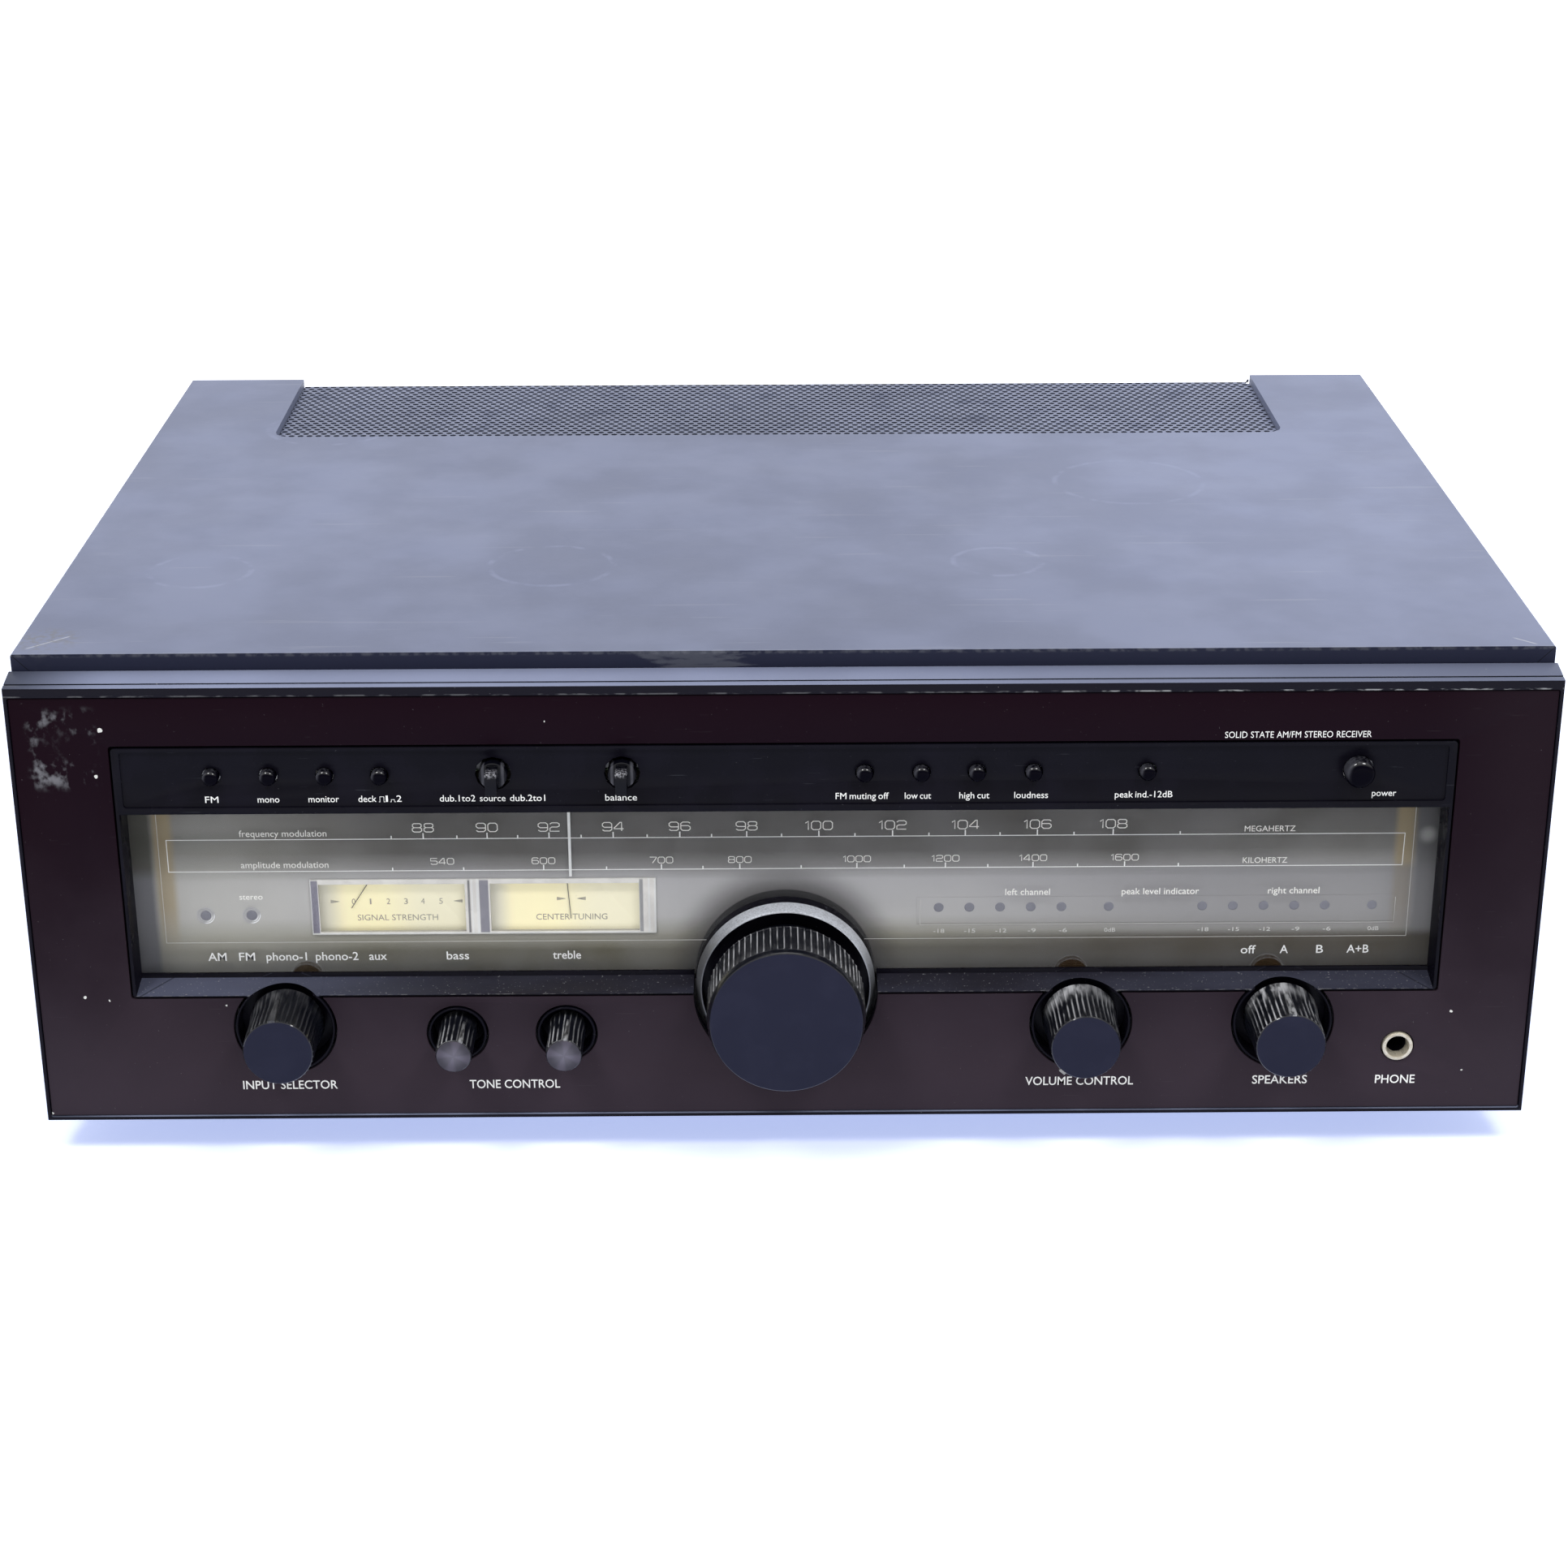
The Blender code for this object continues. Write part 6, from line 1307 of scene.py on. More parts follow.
class RECEIVER_OT_bezel(bpy.types.Operator):
    """Refine the moulding round the window and its knob wells, and print the strip"""

    bl_idname = "receiver.bezel"
    bl_label = "Window moulding and wells"

    def execute(self, context):
        bezel = from_node("window_bezel", "window_moulding")
        cups = []
        tools = []
        for node, x in MEDIUM_WELLS.items():
            tools.append(round_bar("cup_cut", 16.5, (-1, 10.2), (x, MEDIUM_UP), 64))
            tools.append(cuboid("cup_cut", (x - 9, x + 9), (10.1, 11.4), (48.27, 51)))
            cup = well_cup(f"well_{node}", 16.04, (x, MEDIUM_UP), 96)
            over = slanted("cup_cut", (x - 14, x + 14), (-1, 10.6), (44.6, 51), 2.03)
            cups.append(smooth(cut_out(cup, over), 40))
            roof = slanted(f"sill_{node}", (x - 12.5, x + 12.5), (0.3, 10.35), (44.7, 45.05), 1.76)
            pocket = round_bar("pocket_cut", 16.0, (-1, 13), (x, MEDIUM_UP + 0.54), 96)
            shift(pocket, "verts", lambda v: v.co.y > depth_at(5), (0, 0, -5.8))
            dress(cut_out(roof, pocket), slope_moulding())
        for node, x in SMALL_WELLS.items():
            tools.append(round_bar("cup_cut", 9.8, (-1, 10.2), (x, SMALL_UP), 48))
            cups.append(well_cup(f"well_{node}", 9.4, (x, SMALL_UP), 72))
        for tool in tools:
            cut_out(bezel, tool)
        dress(ease(bezel, sizes().moulding_edge, 30), black_moulding(), replaces=["window_bezel"])
        # The sill's upward faces take the blue-grey finish, a painted reflection of the sky.
        low, high = spot(0, 0, 44.5).z, spot(0, 0, 48).z
        on_sill = lambda f: f.normal.z > 0.6 and low < f.calc_center_median().z < high
        second_finish(bezel, slope_moulding(), on_sill)
        for cup in cups:
            dress(cup, black_moulding())
        words = [(*word, STRIP_LINE) for word in STRIP_WORDS]
        strip = lettering("strip_words", words, 1.3, 2.15, 0.001, 0.7)
        dress(strip, bright_print())
        signs = [
            [(x + across, STRIP_LINE + up) for across, up in (
                (-half - 0.35, 0), (-half, 0), (-half, high), (half, high), (half, 0), (half + 0.35, 0))]
            for x, half, high in ((-127.0, 0.62, 1.75), (-123.55, 0.5, 0.75))
        ]
        dress(strokes("push_signs", signs, 1.27, 0.26), bright_print())
        return {"FINISHED"}


# Each scale: its name, its marks, the plain ticks, marks without a tick, the line below it, the heights of
# the ticks and numbers, the figures' height, width and gap, and the width of their strokes.
SCALES = (
    ("fm_numbers",
     {88: -116.2, 90: -95.7, 92: -75.8, 94: -55.2, 96: -33.8, 98: -12.3, 100: 10.9, 102: 34.6, 104: 58.0,
      106: 81.2, 108: 105.6},
     (-126.5, -105.4, -85.9, -65.5, -44.3, -23.6, -1.1, 22.5, 46.3, 69.2, 93.0, 127.2), {},
     94, (96.0, 95.1, 96.4), (2.95, 3.0, 0.75), 0.38),
    ("am_numbers",
     {600: -77.9, 700: -39.9, 800: -14.6, 1000: 23.2, 1200: 51.8, 1400: 80.1, 1600: 109.7},
     (-126.6, -103.7, -57.6, -26.5, 5.2, 38.5, 65.5, 94.5, 127.1), {540: -110.5},
     82.8, (84.6, 83.9, 85.0), (2.1, 2.1, 0.55), 0.31),
)
KNOB_WORDS_LEFT = (
    ("AM", -188.4, -182.4), ("FM", -178.3, -173.1), ("phono-1", -169.4, -156.2), ("phono-2", -153.3, -139.4),
    ("aux", -135.9, -130.1), ("bass", -110.6, -103.3), ("treble", -75.9, -66.75),
)
KNOB_WORDS_RIGHT = (("off", 149.0, 153.9), ("A", 161.8, 164.5), ("B", 173.7, 176.0), ("A+B", 183.7, 190.9))


class RECEIVER_OT_dial(bpy.types.Operator):
    """Make the dial plate with its printing, the peak lamps and the pointer"""

    bl_idname = "receiver.dial"
    bl_label = "Dial, lamps and pointer"

    def execute(self, context):
        plate = from_node("dial_scale", "dial_plate")
        dress(ease(plate, 0.12 * MM, 30), dial_paint(), replaces=["dial_scale"])
        finish_front(plate, meter_frame_plastic(), 16.12)
        self.print_scales()
        self.print_plate()
        bar = cut_front(from_node("led_bar", "lamp_bar"), 16.15)
        bar = join_pieces("lamp_bar", bar, cuboid("lamp_bar", (42.9, 198.8), (16.06, 16.16), (62.0, 71.3)))
        dress(smooth(bar, 30), dial_paint(), replaces=["led_bar"])
        dome = [(0, 15.9), (1.0, 15.92), (1.45, 15.96), (1.62, 16.02), (1.62, 16.3)]
        lamps = [
            smooth(lathed("peak_lamp", dome, (first + along, 67.7), 24), 60)
            for first in (50.0, 135.9) for along in (0, 10, 20, 30, 40, 55.4)
        ]
        dress(join_pieces("peak_lamps", *lamps), lamp_lens())
        pointer = from_node("dial_pointer", "pointer_blade")
        white = clouded("pointer_white", 2.0, 3, (0.80, 0.81, 0.82), (0.92, 0.92, 0.90), 0.3, 0.35, 0.15)
        dress(ease(pointer, 0.08 * MM, 30, 1), white, "pointer", ["dial_pointer"])
        return {"FINISHED"}

    def print_scales(self):
        back = SHEET_BACK
        box = corners((-198.8, 82.8), (199.6, 82.8), (199.75, 94), (-198.8, 94))
        faint = [(-201.5, 109.5), (-201.5, 57.5), (202.7, 57.5), (202.7, 109.5)]
        dress(strokes("dial_line", [faint], back, 0.22), faint_print())
        names = [
            ("frequency modulation", -175.3, -147.2, 95.05), ("amplitude modulation", -175.4, -147.2, 84.05),
        ]
        dress(lettering("scale_names", names, back, 2.2, 0.0), white_print())
        bands = [("MEGAHERTZ", 147.9, 164.3, 94.9), ("KILOHERTZ", 147.9, 162.3, 83.8)]
        dress(lettering("band_names", bands, back, 1.95, 0.0), white_print())
        ticks = []
        for name, marks, between, extra, foot, (tall, short, base), figures, weight in SCALES:
            ticks += [[(x, foot), (x, tall)] for x in marks.values()]
            ticks += [[(x, foot), (x, short)] for x in between]
            numbers = square_numbers([(str(n), x, base) for n, x in {**marks, **extra}.items()], *figures)
            dress(strokes(name, numbers, back, weight), white_print())
        dress(strokes("scale_lines", [box, *ticks], back, 0.42), bright_print())
        rows = [(*word, 51.0) for word in KNOB_WORDS_LEFT] + [(*word, 51.4) for word in KNOB_WORDS_RIGHT]
        dress(lettering("knob_words", rows, back, 2.85, gap=1.6), bright_print())

    def print_plate(self):
        rows = [
            ("left channel", 71.4, 85.9, 72.9), ("peak level indicator", 109.2, 134.3, 72.9),
            ("right channel", 156.7, 173.4, 72.9),
        ]
        dress(lettering("channel_words", rows, SHEET_BACK, 2.2, 0.002), white_print())
        rows = []
        for places in ((50.2, 60.3, 70.5, 80.6, 90.8, 106.1), (136.6, 146.6, 156.8, 166.9, 177.1, 192.3)):
            for text, x in zip(("-18", "-15", "-12", "-9", "-6", "0dB"), places):
                half = 1.8 if len(text) > 2 else 1.3
                rows.append((text, x - half, x + half, 58.5))
        dress(lettering("lamp_numbers", rows, DIAL_FACE, 1.4, 0.0), faint_print())
        stereo = [("stereo", -176.7, -169.2, 72.9)]
        dress(lettering("stereo_word", stereo, SHEET_BACK, 2.0, 0.0), white_print())
        outline = [[(44, 70.5), (44, 61.5), (198.8, 61.5), (198.8, 70.5)]]
        dress(strokes("lamp_frame", outline, 16.0, 0.2), faint_print())
        for n, x in enumerate((-188.4, -173.5)):
            for m, near in enumerate((1.9, 2.55)):
                ring = [(near + out, y) for out, y in (
                    (0.35, 16.25), (0.35, 16.05), (0.18, 15.98), (0, 16.05), (0, 16.25), (0.35, 16.25))]
                rim = lathed(f"indicator_ring_{n}_{m}", ring, (x, INDICATOR_UP), 40, closed=True)
                dress(smooth(rim, 40), indicator_rim(x))
            lens = [(0, 16.02), (1.2, 16.05), (1.72, 16.12), (1.72, 16.3)]
            dress(smooth(lathed(f"indicator_lens_{n}", lens, (x, INDICATOR_UP), 32), 40), lamp_lens())


class RECEIVER_OT_meters(bpy.types.Operator):
    """Make the two meters with their printed faces and needles"""

    bl_idname = "receiver.meters"
    bl_label = "Meters"

    def execute(self, context):
        for node in ("signal_meter", "tuning_meter"):
            dress(ease(from_node(node, f"{node}_case"), 0.1 * MM, 30), meter_cream(), replaces=[node])
        brown = clouded("needle_paint", 1.0, 3, (0.10, 0.095, 0.085), (0.17, 0.16, 0.14), 0.3, 0.4, 0.2)
        for node, pivot, reach, lean in (
            ("signal_needle", -127.6, 25.0, 32.8), ("tuning_needle", -71.55, 25.2, -3.9),
        ):
            hub = [(0, 0), (1.1, 0), (1.25, 0.06), (1.25, 0.25), (0, 0.25)]
            hand = join_pieces(
                f"{node}_hand", lathed(node, hub, (0, 0), 24),
                ease(cuboid(node, (-0.13, 0.13), (0.03, 0.25), (-reach, 4)), 0.03 * MM, 30, 1),
            )
            hand = lay(smooth(hand), (0, math.radians(lean), 0), (pivot, 17.42, 89))
            dress(hand, brown, node, [node])
        face = 17.98
        rows = [("SIGNAL STRENGTH", -139.4, -113.2, 63.4), ("CENTER TUNING", -81.2, -58.0, 63.3)]
        dress(lettering("meter_words", rows, face, 2.07, 0.0), dark_ink())
        places = (-140.4, -134.9, -129.1, -123.4, -117.9, -112.0)
        halves = (0.6, 0.25, 0.6, 0.6, 0.6, 0.6)
        rows = [(str(n), x - half, x + half, 69.2) for n, (x, half) in enumerate(zip(places, halves))]
        dress(lettering("meter_numbers", rows, face, 2.0, 0.0), dark_ink())
        arrows = []
        for tail, point, up in (
            (-147.8, -145.0, 70.2), (-105.1, -107.9, 70.2), (-74.2, -71.4, 70.8), (-65.0, -67.8, 70.8),
        ):
            for half in (0.55, 0.3, 0.08):
                arrows.append(corners((tail, up - half), (point, up), (tail, up + half)))
        dress(strokes("meter_arrows", arrows, face, 0.26), dark_ink())
        return {"FINISHED"}


class RECEIVER_OT_window(bpy.types.Operator):
    """Make the clear sheet before the dial"""

    bl_idname = "receiver.window"
    bl_label = "Clear window"

    def execute(self, context):
        sheet = cuboid("window_sheet", (-211.8, 211.8), (11.5, 14.0), (46.25, 110.8))
        dress(ease(sheet, 0.2 * MM, 30), clear_acrylic(), replaces=["dial_window"])
        return {"FINISHED"}


def fluted(name, profile, centre, flutes, span, depth, grip, sides_each=4):
    """A lathed knob whose sides are drawn in between its flutes over a span of depths."""
    knob = lathed(name, profile, centre, flutes * sides_each)
    middle = spot(centre[0], 0, centre[1])
    near, far = (depth_at(place) for place in span)

    def valley(v):
        along = v.co - middle
        if not near - 1e-6 < v.co.y < far + 1e-6 or math.hypot(along.x, along.z) < (grip - 0.1) * MM:
            return False
        side = round(math.atan2(along.x, along.z) / math.tau * flutes * sides_each)
        return side % sides_each < sides_each - 1

    with Shaping(knob) as shaping:
        shaping.pick("verts", valley)
        share = (grip - depth) / grip
        bpy.ops.transform.resize(value=(share, 1, share), center_override=middle)
    return smooth(knob, 24)


def ridge_on(name, centre, radius, proud, width, span, turn):
    """The raised pointer line along a knob's grip, turned clockwise as seen from the front."""
    line = cuboid(name, (-width / 2, width / 2), (0, span[1] - span[0]), (radius - 0.6, radius + proud))
    with Shaping(line) as shaping:
        shaping.pick("verts", lambda v: v.co.y > depth_at(2))
        bpy.ops.transform.resize(value=(0.5, 1, 1), center_override=spot(0, 0, radius))
    return lay(ease(line, 0.12 * MM, 30), (0, math.radians(turn), 0), (centre[0], span[0], centre[1]))


class RECEIVER_OT_tuning_knob(bpy.types.Operator):
    """Turn the large fluted knob and the ring round it"""

    bl_idname = "receiver.tuning_knob"
    bl_label = "Tuning knob and collar"

    def execute(self, context):
        centre = TUNING_AT
        profile = [
            (0, -21.9), (23.7, -21.9), (24.2, -21.75), (24.5, -21.4), (24.8, -20.4), (25.05, -19.4),
            (25.4, -19.0), (25.4, -3.5), (25.1, -3.2), (21.5, -2.6), (21.5, 6.2), (6.0, 6.2), (3.3, 6.2),
            (3.3, -17.0), (0, -17.0),
        ]
        flutes = sizes().tuning_flutes
        knob = fluted("tuning_knob_body", profile, centre, flutes, (-19.0, -3.5), 0.75, TUNING_RADIUS)
        dress(knob, knob_plastic(*centre, TUNING_RADIUS, 0.8), "tuning", ["tuning_knob"])
        finish_front(knob, knob_face(*centre), -21.8)
        ring = [
            (6.2, 11.2), (29.1, 11.2), (29.1, 6.6), (29.0, 6.3), (27.75, 2.75), (27.55, 2.55), (27.2, 2.5),
            (26.95, 2.65), (26.9, 3.0), (26.9, 9.2), (6.2, 9.2), (6.2, 11.2),
        ]
        collar = smooth(lathed("tuning_ring", ring, centre, 144, closed=True), 30)
        dress(collar, worn_silver(), replaces=["tuning_collar"])
        middle = spot(0, 0, TUNING_AT[1])

        def plain(f):
            place = f.calc_center_median()
            away = math.hypot(place.x - middle.x, place.z - middle.z)
            return not depth_at(2.45) < place.y < depth_at(6.5) or away < 27.1 * MM

        second_finish(collar, black_moulding(), plain)
        return {"FINISHED"}


SHAFT = ((3.0, 4.5), (3.0, 36.0), (0, 36.0))


class RECEIVER_OT_well_knobs(bpy.types.Operator):
    """Turn the five knobs that stand in wells"""

    bl_idname = "receiver.well_knobs"
    bl_label = "Well knobs"

    def execute(self, context):
        for node, x in MEDIUM_WELLS.items():
            profile = [
                (0, -17.0), (10.4, -17.0), (10.85, -16.9), (11.1, -16.6), (11.4, -16.4), (11.4, -4.2),
                (12.2, 4.5), *SHAFT,
            ]
            self.finish_knob(node, profile, (x, MEDIUM_UP), sizes().knob_flutes, (-16.4, 4.3), 11.4)
        for node, x in SMALL_WELLS.items():
            profile = [
                (0, -15.5), (5.0, -15.5), (5.4, -15.4), (5.65, -15.1), (5.9, -14.9), (5.9, -3.2), (6.3, 4.5),
                *SHAFT,
            ]
            self.finish_knob(node, profile, (x, SMALL_UP), sizes().small_knob_flutes, (-14.9, 4.3), 5.9)
        return {"FINISHED"}

    def finish_knob(self, node, profile, centre, flutes, span, radius):
        knob = fluted(f"{node}_body", profile, centre, flutes, span, 0.5, radius)
        dress(knob, knob_plastic(*centre, radius, WEAR_AND_GLINT[node]), node, [node])
        face, width = (knob_face, 2.3) if node in MEDIUM_WELLS else (spun_face, 1.5)
        front = profile[0][1]
        finish_front(knob, face(*centre), front + 0.05)
        ridge = ridge_on(f"{node}_ridge", centre, radius, 0.4, width, (front + 0.1, -2), TURNS[node])
        dress(ridge, rubbed_ridge(WEAR_AND_GLINT[node]), node)


class RECEIVER_OT_strip_controls(bpy.types.Operator):
    """Make the push buttons and the two finger knobs of the strip"""

    bl_idname = "receiver.strip_controls"
    bl_label = "Buttons and finger knobs"

    def execute(self, context):
        stem = [(1.5, 9.0), (1.5, 34.0), (0, 34.0)]
        small = [(0, -1.7), (0.9, -1.66), (1.7, -1.5), (2.25, -1.15), (2.5, -0.7), (2.55, -0.2), (2.55, 9.0)]
        large = [(0, -4.0), (2.2, -3.95), (3.4, -3.75), (4.2, -3.3), (4.55, -2.7), (4.63, -2.0), (4.63, 9.0)]
        buttons = [(node, small, (x, BUTTON_UP), 40) for node, x in BUTTONS.items()]
        for node, profile, place, sides in (*buttons, ("power_button", large, POWER_AT, 56)):
            cap = smooth(lathed(f"{node}_cap", profile + stem, place, sides), 40)
            dress(cap, button_plastic(), node, [node])
        profile = [(0, -0.8), (4.0, -0.8), (4.3, -0.7), (4.45, -0.4), (4.45, 9.0), (2.5, 9.0), (2.5, 36.0),
                   (0, 36.0)]
        for node, x in FINGERS.items():
            drum = smooth(lathed(f"{node}_drum", profile, (x, FINGER_UP), 56), 40)
            bar = cuboid(f"{node}_bar", (x - 1.9, x + 1.9), (-8.5, 0.5), (FINGER_UP - 3.72, FINGER_UP + 3.72))
            knob = join_pieces(f"{node}_body", drum, ease(bar, 0.45 * MM, 30, 3))
            dress(knob, finger_plastic(x), node, [node])
        return {"FINISHED"}


class RECEIVER_OT_phone_jack(bpy.types.Operator):
    """Make the headphone socket's ring and body"""

    bl_idname = "receiver.phone_jack"
    bl_label = "Headphone socket"

    def execute(self, context):
        ring = [(3.2, 3.2), (5.0, 3.2), (5.0, 0.05), (4.85, -0.14), (4.6, -0.2), (4.1, -0.2), (3.85, -0.1),
                (3.6, 0.4), (3.4, 1.8), (3.2, 3.0), (3.2, 3.2)]
        dress(smooth(lathed("jack_ring", ring, JACK_AT, 56, closed=True), 40), socket_ring())
        body = cut_front(from_node("phone_jack", "jack_body"), 2.95)
        dress(ease(body, 0.15 * MM, 30), black_moulding(), replaces=["phone_jack"])
        return {"FINISHED"}


def turned_round(piece):
    """Turns a piece that was built facing the front, so that it faces the rear."""
    only(piece)
    piece.rotation_euler.z = math.pi
    return settle(piece)


def row_of(first, name, columns, *rises):
    """Copies of the piece in the first column, one for each column and rise, joined and turned to the rear."""
    copies = [copy_of(first, first.name, (x - columns[0], 0, rise)) for x in columns for rise in rises]
    return turned_round(join_pieces(name, *copies))


PHONO_COLUMNS = (-130, -112, -94, -76, -58, -40)
SPEAKER_COLUMNS = (62.5, 87.5, 112.5, 137.5)
ANTENNA_COLUMNS = (-212.5, -197.5, -182.5, -167.5)
REAR_FACE = -2 * PANEL_FACE
REAR_SHEET = -5.9
INLET_AT = (-199, 0, 42)
PIN_OFFSET = 4 * MM
PIN_REACH = 1.35 * MM
PIN_FACE = 2e-5
REAR_WORDS = (
    ("PHONO 1", -135.6, -124.4, 97.4), ("PHONO 2", -117.6, -106.4, 97.4), ("AUX", -96.6, -91.4, 97.4),
    ("REC OUT", -81.5, -70.5, 97.4), ("DECK 1", -62.6, -53.4, 97.4), ("DECK 2", -44.6, -35.4, 97.4),
    ("L", -145.4, -144.2, 83), ("R", -145.6, -144, 59), ("A", 74, 76, 74.4), ("B", 124.1, 125.9, 74.4),
    ("AM", -214.4, -210.6, 81.4), ("GND", -200.3, -194.7, 81.4), ("FM", -184.2, -180.8, 81.4),
    ("300", -169.9, -165.1, 81.4),
)
REAR_TITLES = (("SPEAKERS", 91, 109, 79.4), ("ANTENNA", -197.5, -182.5, 107.4), ("AC IN", 194.3, 203.7, 57.4))


class RECEIVER_OT_rear(bpy.types.Operator):
    """Finish the rear panel, its sockets and terminals and the aerial"""

    bl_idname = "receiver.rear"
    bl_label = "Rear"

    def execute(self, context):
        paint(plated_steel(), "rear_panel")
        self.sockets()
        self.speaker_block()
        self.antenna_block()
        inlet = ease(from_node("mains_inlet", "inlet_body"), 0.35 * MM, 40)
        dress(inlet, rear_plastic(), replaces=["mains_inlet"])
        second_finish(inlet, turned_steel(), self.on_pin)
        aerial = ease(from_node("am_antenna", "aerial_rod"), 0.3 * MM, 40)
        dress(aerial, rear_plastic(), "am_antenna", ["am_antenna"])
        screw = screw_head("rear_screw", 3.0, 1.4, (0, 0, 0), (-232, REAR_FACE - REAR_SHEET, 12))
        others = [(0, 68), (0, 134), (464, 0), (464, 68), (464, 134), (152, -2), (312, -2)]
        more = [copy_of(screw, "rear_screw", (x, 0, z)) for x, z in others]
        dress(join_pieces("rear_screws", screw, *more), turned_steel())
        words = lettering("rear_words", REAR_WORDS, REAR_SHEET, 2.1)
        titles = lettering("rear_titles", REAR_TITLES, REAR_SHEET, 2.9)
        dress(turned_round(join_pieces("rear_print", words, titles)), rear_plastic())
        return {"FINISHED"}

    def on_pin(self, face):
        middle = face.calc_center_median() - spot(*INLET_AT)
        away = math.hypot(abs(middle.x) - PIN_OFFSET, middle.z)
        return away < PIN_REACH and face.calc_area() < PIN_FACE

    def sockets(self):
        plate = ease(cuboid("phono_plate", (-140, -30), (-8.2, -6.2), (49, 95)), 0.5 * MM)
        dress(turned_round(plate), rear_plastic(), replaces=["phono_sockets"])
        shell = [(5.4, -8.2), (5.4, -8.9), (4.25, -9.1), (4.15, -9.3), (4.15, -21.5), (3.9, -21.9),
                 (3.5, -21.9), (3.3, -21.5), (3.3, -8.2), (5.4, -8.2)]
        shell = smooth(lathed("phono_shell", shell, (PHONO_COLUMNS[0], 60), 40, closed=True), 40)
        dress(row_of(shell, "phono_shells", PHONO_COLUMNS, 0, 24), turned_steel())
        core = [(0, -8.3), (3.25, -8.3), (3.25, -20.9), (3.05, -21.1), (1.8, -21.1), (1.6, -20.9), (1.6, -12),
                (0, -12)]
        core = smooth(lathed("phono_core", core, (PHONO_COLUMNS[0], 60), 32), 40)
        for side, rise, shade in (("right", 0, (0.36, 0.02, 0.02)), ("left", 24, (0.62, 0.60, 0.55))):
            dress(row_of(core, f"phono_cores_{side}", PHONO_COLUMNS, rise), coloured_plastic(*shade))
        discard(shell, core)

    def speaker_block(self):
        block = cuboid("speaker_block", (50, 150), (-18.2, -6.2), (40, 72))
        holes = [
            round_bar("wire_hole", 1.3, (-19, -13), (x, z), 20) for x in SPEAKER_COLUMNS for z in (42.4, 58.4)
        ]
        block = ease(cut_out(block, *holes), 0.3 * MM, 50)
        dress(turned_round(block), rear_plastic(), replaces=["speaker_terminals"])
        lever = cuboid("speaker_lever", (57.9, 67.1), (-19.7, -17.9), (44.4, 51.6))
        upper = lambda e: all(v.co.y < depth_at(-19) and v.co.z > 0.06 for v in e.verts)
        shift(lever, "edges", upper, (0, 0.9, 0))
        ease(lever, 0.4 * MM, 30, 3)
        for word, rise, shade in (("plus", 16, (0.42, 0.02, 0.018)), ("minus", 0, (0.03, 0.03, 0.034))):
            dress(row_of(lever, f"speaker_levers_{word}", SPEAKER_COLUMNS, rise), coloured_plastic(*shade))
        discard(lever)

    def antenna_block(self):
        block = ease(cuboid("antenna_block", (-220, -160), (-12.2, -6.2), (86, 104)), 0.5 * MM)
        dress(turned_round(block), rear_plastic(), replaces=["antenna_terminals"])
        head = screw_head("antenna_screw", 3.1, 2.6, (0, 0, 0), (-ANTENNA_COLUMNS[0], REAR_FACE + 13.4, 95))
        washer = [(0, -14.4), (3.4, -14.4), (3.5, -14.2), (3.5, -12.1), (0, -12.1)]
        washer = turned_round(smooth(lathed("antenna_washer", washer, (ANTENNA_COLUMNS[0], 95), 32), 40))
        screw = join_pieces("antenna_screw", head, washer)
        more = [copy_of(screw, "antenna_screw", (ANTENNA_COLUMNS[0] - x, 0, 0)) for x in ANTENNA_COLUMNS[1:]]
        dress(join_pieces("antenna_screws", screw, *more), turned_steel())


class RECEIVER_OT_inside(bpy.types.Operator):
    """Finish everything inside the case"""

    bl_idname = "receiver.inside"
    bl_label = "Inside"

    def execute(self, context):
        paint(plated_steel(), "chassis_base", "sub_front", "gang_frame", "gang_rotor")
        paint(rear_plastic(), "switch_bank")
        paint(turned_steel(), "pointer_rail", "tuning_flywheel")
        cast = clouded("cast_aluminium", 2.5, 5, (0.045, 0.045, 0.05), (0.09, 0.09, 0.095),
                       0.5, 0.45, 0.2, (0.03, 0.4), (0.4, 0.3))
        paint(cast, "heat_sink", "power_transformer")
        paint(circuit_board(), "main_board", "control_bank")
        film = clouded("sleeve_film", 8, 4, (0.014, 0.022, 0.07), (0.03, 0.045, 0.11), 0.5, 0.2, 0.15)
        paint(film, "left_filter_capacitor", "right_filter_capacitor")
        pale = clouded("gear_plastic", 6, 4, (0.70, 0.69, 0.64), (0.82, 0.81, 0.77), 0.35, 0.4, 0.2)
        paint(pale, "dial_drum", "left_pulley", "right_pulley")
        thread = (0.05, 0.09, 0.05), (0.14, 0.20, 0.13)
        paint(clouded("dial_cord_thread", 0.5, 3, *thread, 0.2, 0.85, 0.0, (0.05, 0.6)), "dial_cord")
        return {"FINISHED"}


class RECEIVER_OT_feet(bpy.types.Operator):
    """Turn the four rubber feet"""

    bl_idname = "receiver.feet"
    bl_label = "Feet"

    def execute(self, context):
        profile = [(0, 0), (13.6, 0), (14.4, 0.4), (15.4, 6.0), (16.0, 11.6), (15.9, 12.2), (15.4, 12.4),
                   (9.0, 12.4), (9.0, 14.4), (0, 14.4)]
        for word, x in (("left", -195), ("right", 195)):
            for end, y in (("front", 55), ("rear", 290)):
                node = f"{end}_{word}_foot"
                foot = smooth(lathed(f"{node}_rubber", profile, (0, 0), 64), 40)
                dress(lay(foot, (math.pi / 2, 0, 0), (x, y, -PANEL_FOOT)), foot_rubber(), replaces=[node])
        return {"FINISHED"}


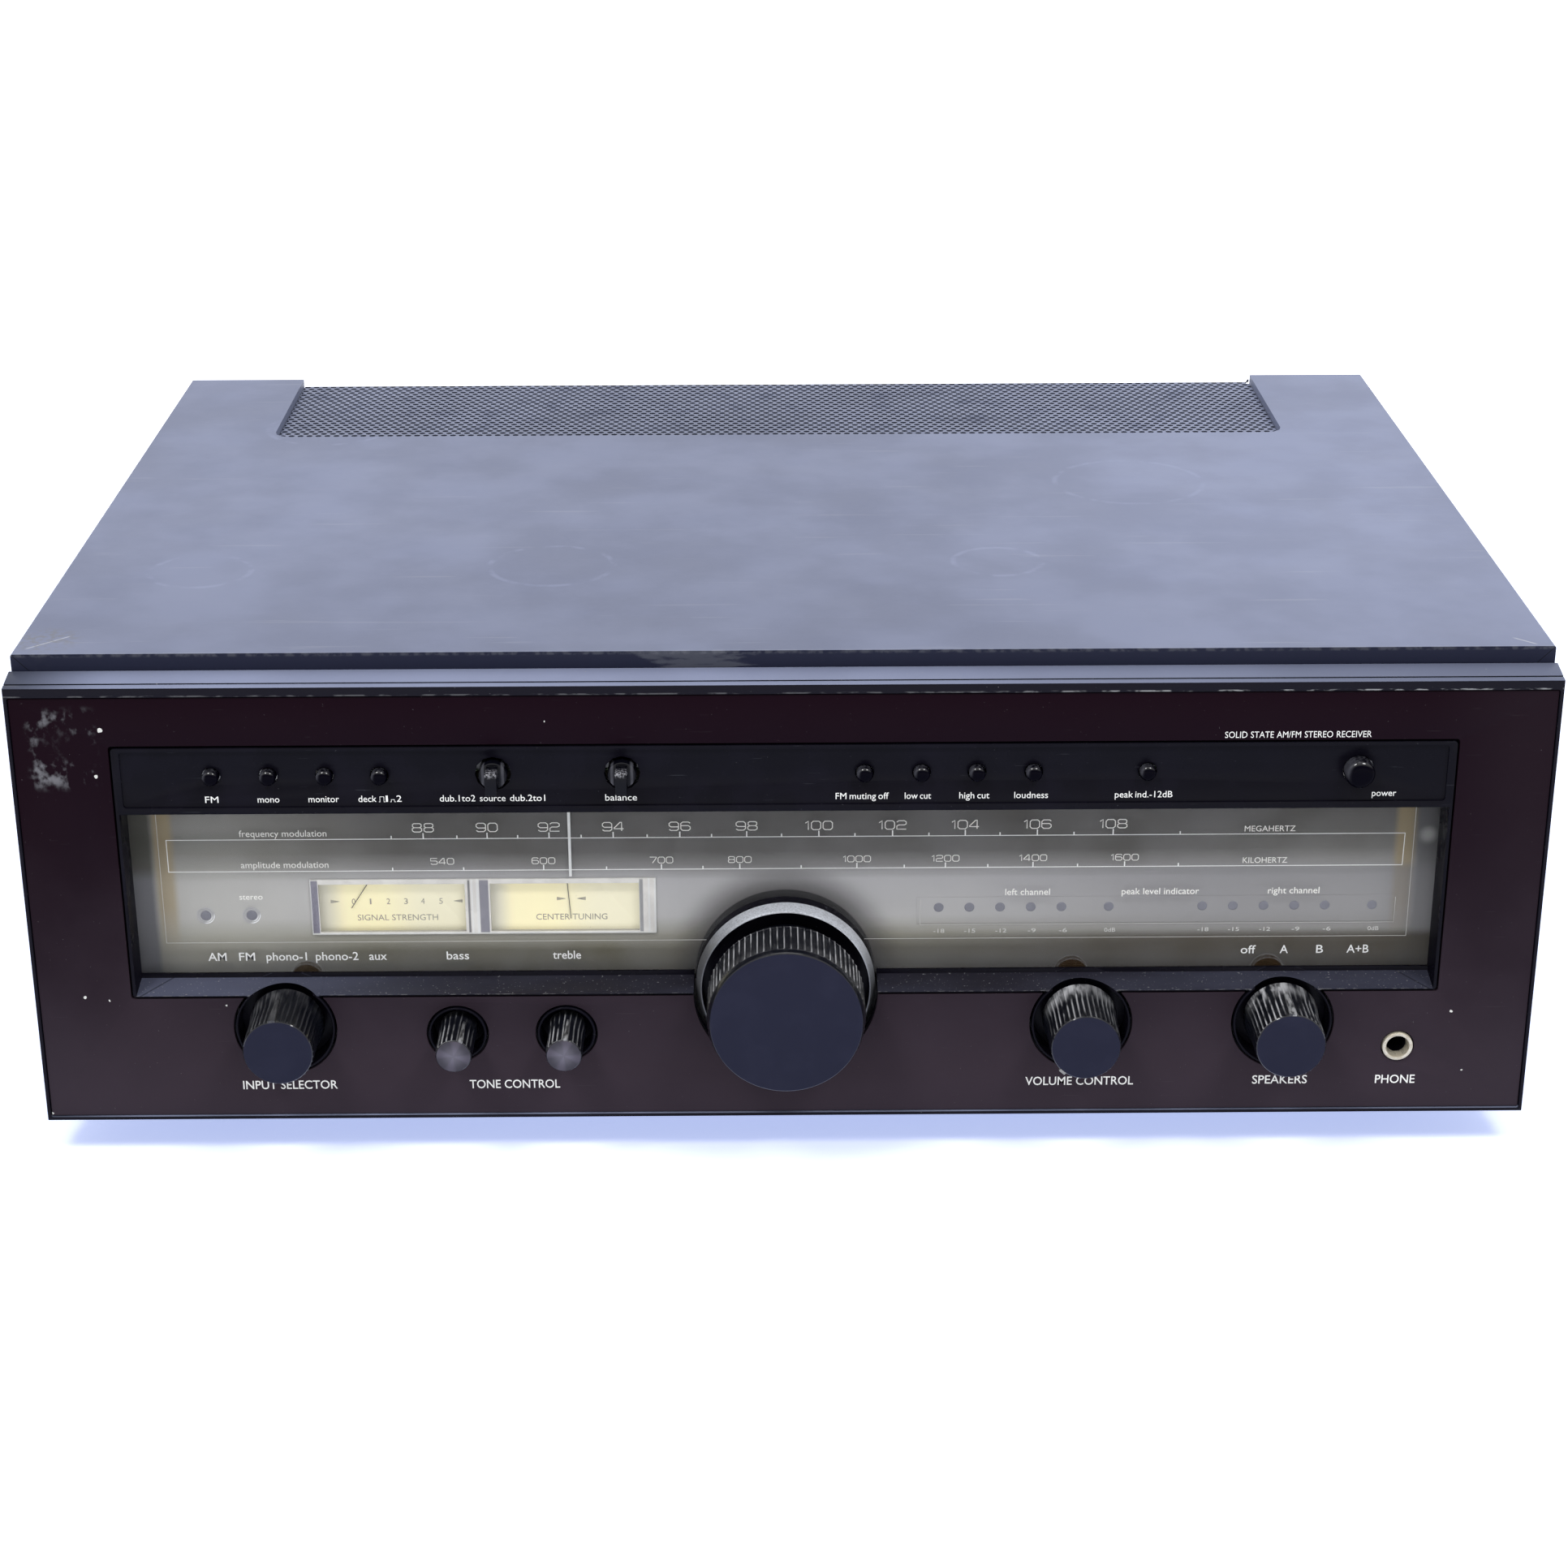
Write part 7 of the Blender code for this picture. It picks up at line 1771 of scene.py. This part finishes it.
class RECEIVER_OT_stage(bpy.types.Operator):
    """Lay the pale floor, light it softly and set the camera"""

    bl_idname = "receiver.stage"
    bl_label = "Floor, light and camera"

    def execute(self, context):
        scene = bpy.context.scene
        scene.view_settings.view_transform = "Standard"
        fresh()
        bpy.ops.mesh.primitive_plane_add(size=FLOOR_SIZE, location=(0, 0, 0))
        floor = named("floor")
        finish = Finish("floor_white", Roughness=0.9, Specular_IOR_Level=0.0, Emission_Strength=1.0)
        finish.shade = (0.93, 0.935, 0.94)
        x, y, _ = finish.places()
        # The floor glows blue near the object for the camera: a painted tint that shows in the object's
        # shadow. Far off it glows white.
        far = finish.spread(distance(x, y, (0, 170)), 450, 1000)
        pale = finish.blend(far, (0.36, 0.43, 0.72), (1, 1, 1))
        finish.done(Emission_Color=finish.blend(finish.seen(), (0, 0, 0), pale))
        floor.data.materials.append(finish.material)
        for name, place, size, power, aim in (
            ("left_softbox", (-0.85, -1.1, 1.9), 0.55, 18, (0, 0, 0.08)),
            ("right_softbox", (0.95, -1.1, 1.8), 0.55, 16, (0, 0, 0.08)),
            ("top_softbox", (0.1, 0.7, 2.4), 1.5, 15, (0, 0, 0.1)),
        ):
            fresh()
            bpy.ops.object.light_add(type="AREA", location=place)
            light = bpy.context.active_object
            light.name = light.data.name = name
            light.data.size = size
            light.data.energy = power
            light.rotation_euler = (Vector(place) - Vector(aim)).to_track_quat("Z", "Y").to_euler()
        self.background(scene)
        fresh()
        bpy.ops.object.camera_add()
        camera = bpy.context.active_object
        camera.name = "photo_camera"
        camera.data.lens = LENS
        camera.data.sensor_width = 36
        across, down, into = (Vector(row) for row in CAMERA_ROWS)
        turn = Matrix((across, -down, -into)).transposed()
        camera.matrix_world = Matrix.Translation(Vector(CAMERA_AT)) @ turn.to_4x4()
        scene.camera = camera
        return {"FINISHED"}

    def background(self, scene):
        world = scene.world or bpy.data.worlds.new("studio")
        scene.world = world
        world.use_nodes = True
        world.node_tree.nodes.clear()
        nodes = Nodes(world.node_tree)
        around = nodes.node("ShaderNodeBackground", None, {"Color": (0.93, 0.96, 1), "Strength": 0.55})
        white = nodes.node("ShaderNodeBackground", None, {"Color": (1, 1, 1)})
        mixed = nodes.node("ShaderNodeMixShader", None, {0: nodes.seen(), 1: around, 2: white})
        output = nodes.tree.nodes.new("ShaderNodeOutputWorld")
        nodes.fill(output.inputs["Surface"], mixed)


FLOOR_SIZE = 60
LENS = 69.19
CAMERA_AT = (-0.007149, -1.035616, 0.494300)
CAMERA_ROWS = (
    (0.99995719, -0.00885857, -0.00267099),
    (-0.00586236, -0.38325801, -0.92362272),
    (0.0071583, 0.92359884, -0.38329354),
)
OPERATORS = (
    RECEIVER_OT_cabinet, RECEIVER_OT_grille, RECEIVER_OT_front_frame, RECEIVER_OT_front_plate,
    RECEIVER_OT_bezel, RECEIVER_OT_dial, RECEIVER_OT_meters, RECEIVER_OT_window, RECEIVER_OT_tuning_knob,
    RECEIVER_OT_well_knobs, RECEIVER_OT_strip_controls, RECEIVER_OT_phone_jack, RECEIVER_OT_rear,
    RECEIVER_OT_inside, RECEIVER_OT_feet, RECEIVER_OT_stage,
)


class RECEIVER_PT_pieces(bpy.types.Panel):
    """The receiver's groups of pieces, in building order"""

    bl_idname = "RECEIVER_PT_pieces"
    bl_label = "Stereo receiver"
    bl_space_type = "VIEW_3D"
    bl_region_type = "UI"
    bl_category = "Receiver"

    def draw(self, context):
        column = self.layout.column(align=True)
        for operator in OPERATORS:
            column.operator(operator.bl_idname, text=operator.bl_label)
        for group in (context.scene.receiver_sizes, context.scene.receiver_colours):
            box = self.layout.box()
            for name in group.bl_rna.properties.keys():
                if name not in ("rna_type", "name"):
                    box.prop(group, name)


CLASSES = (ReceiverSizes, ReceiverColours, *OPERATORS, RECEIVER_PT_pieces)


def register():
    for each in CLASSES:
        bpy.utils.register_class(each)
    bpy.types.Scene.receiver_sizes = bpy.props.PointerProperty(type=ReceiverSizes)
    bpy.types.Scene.receiver_colours = bpy.props.PointerProperty(type=ReceiverColours)


def unregister():
    del bpy.types.Scene.receiver_sizes
    del bpy.types.Scene.receiver_colours
    for each in reversed(CLASSES):
        bpy.utils.unregister_class(each)


def main():
    register()
    for operator in OPERATORS:
        group, name = operator.bl_idname.split(".")
        getattr(getattr(bpy.ops, group), name)()


if __name__ == "__main__":
    main()
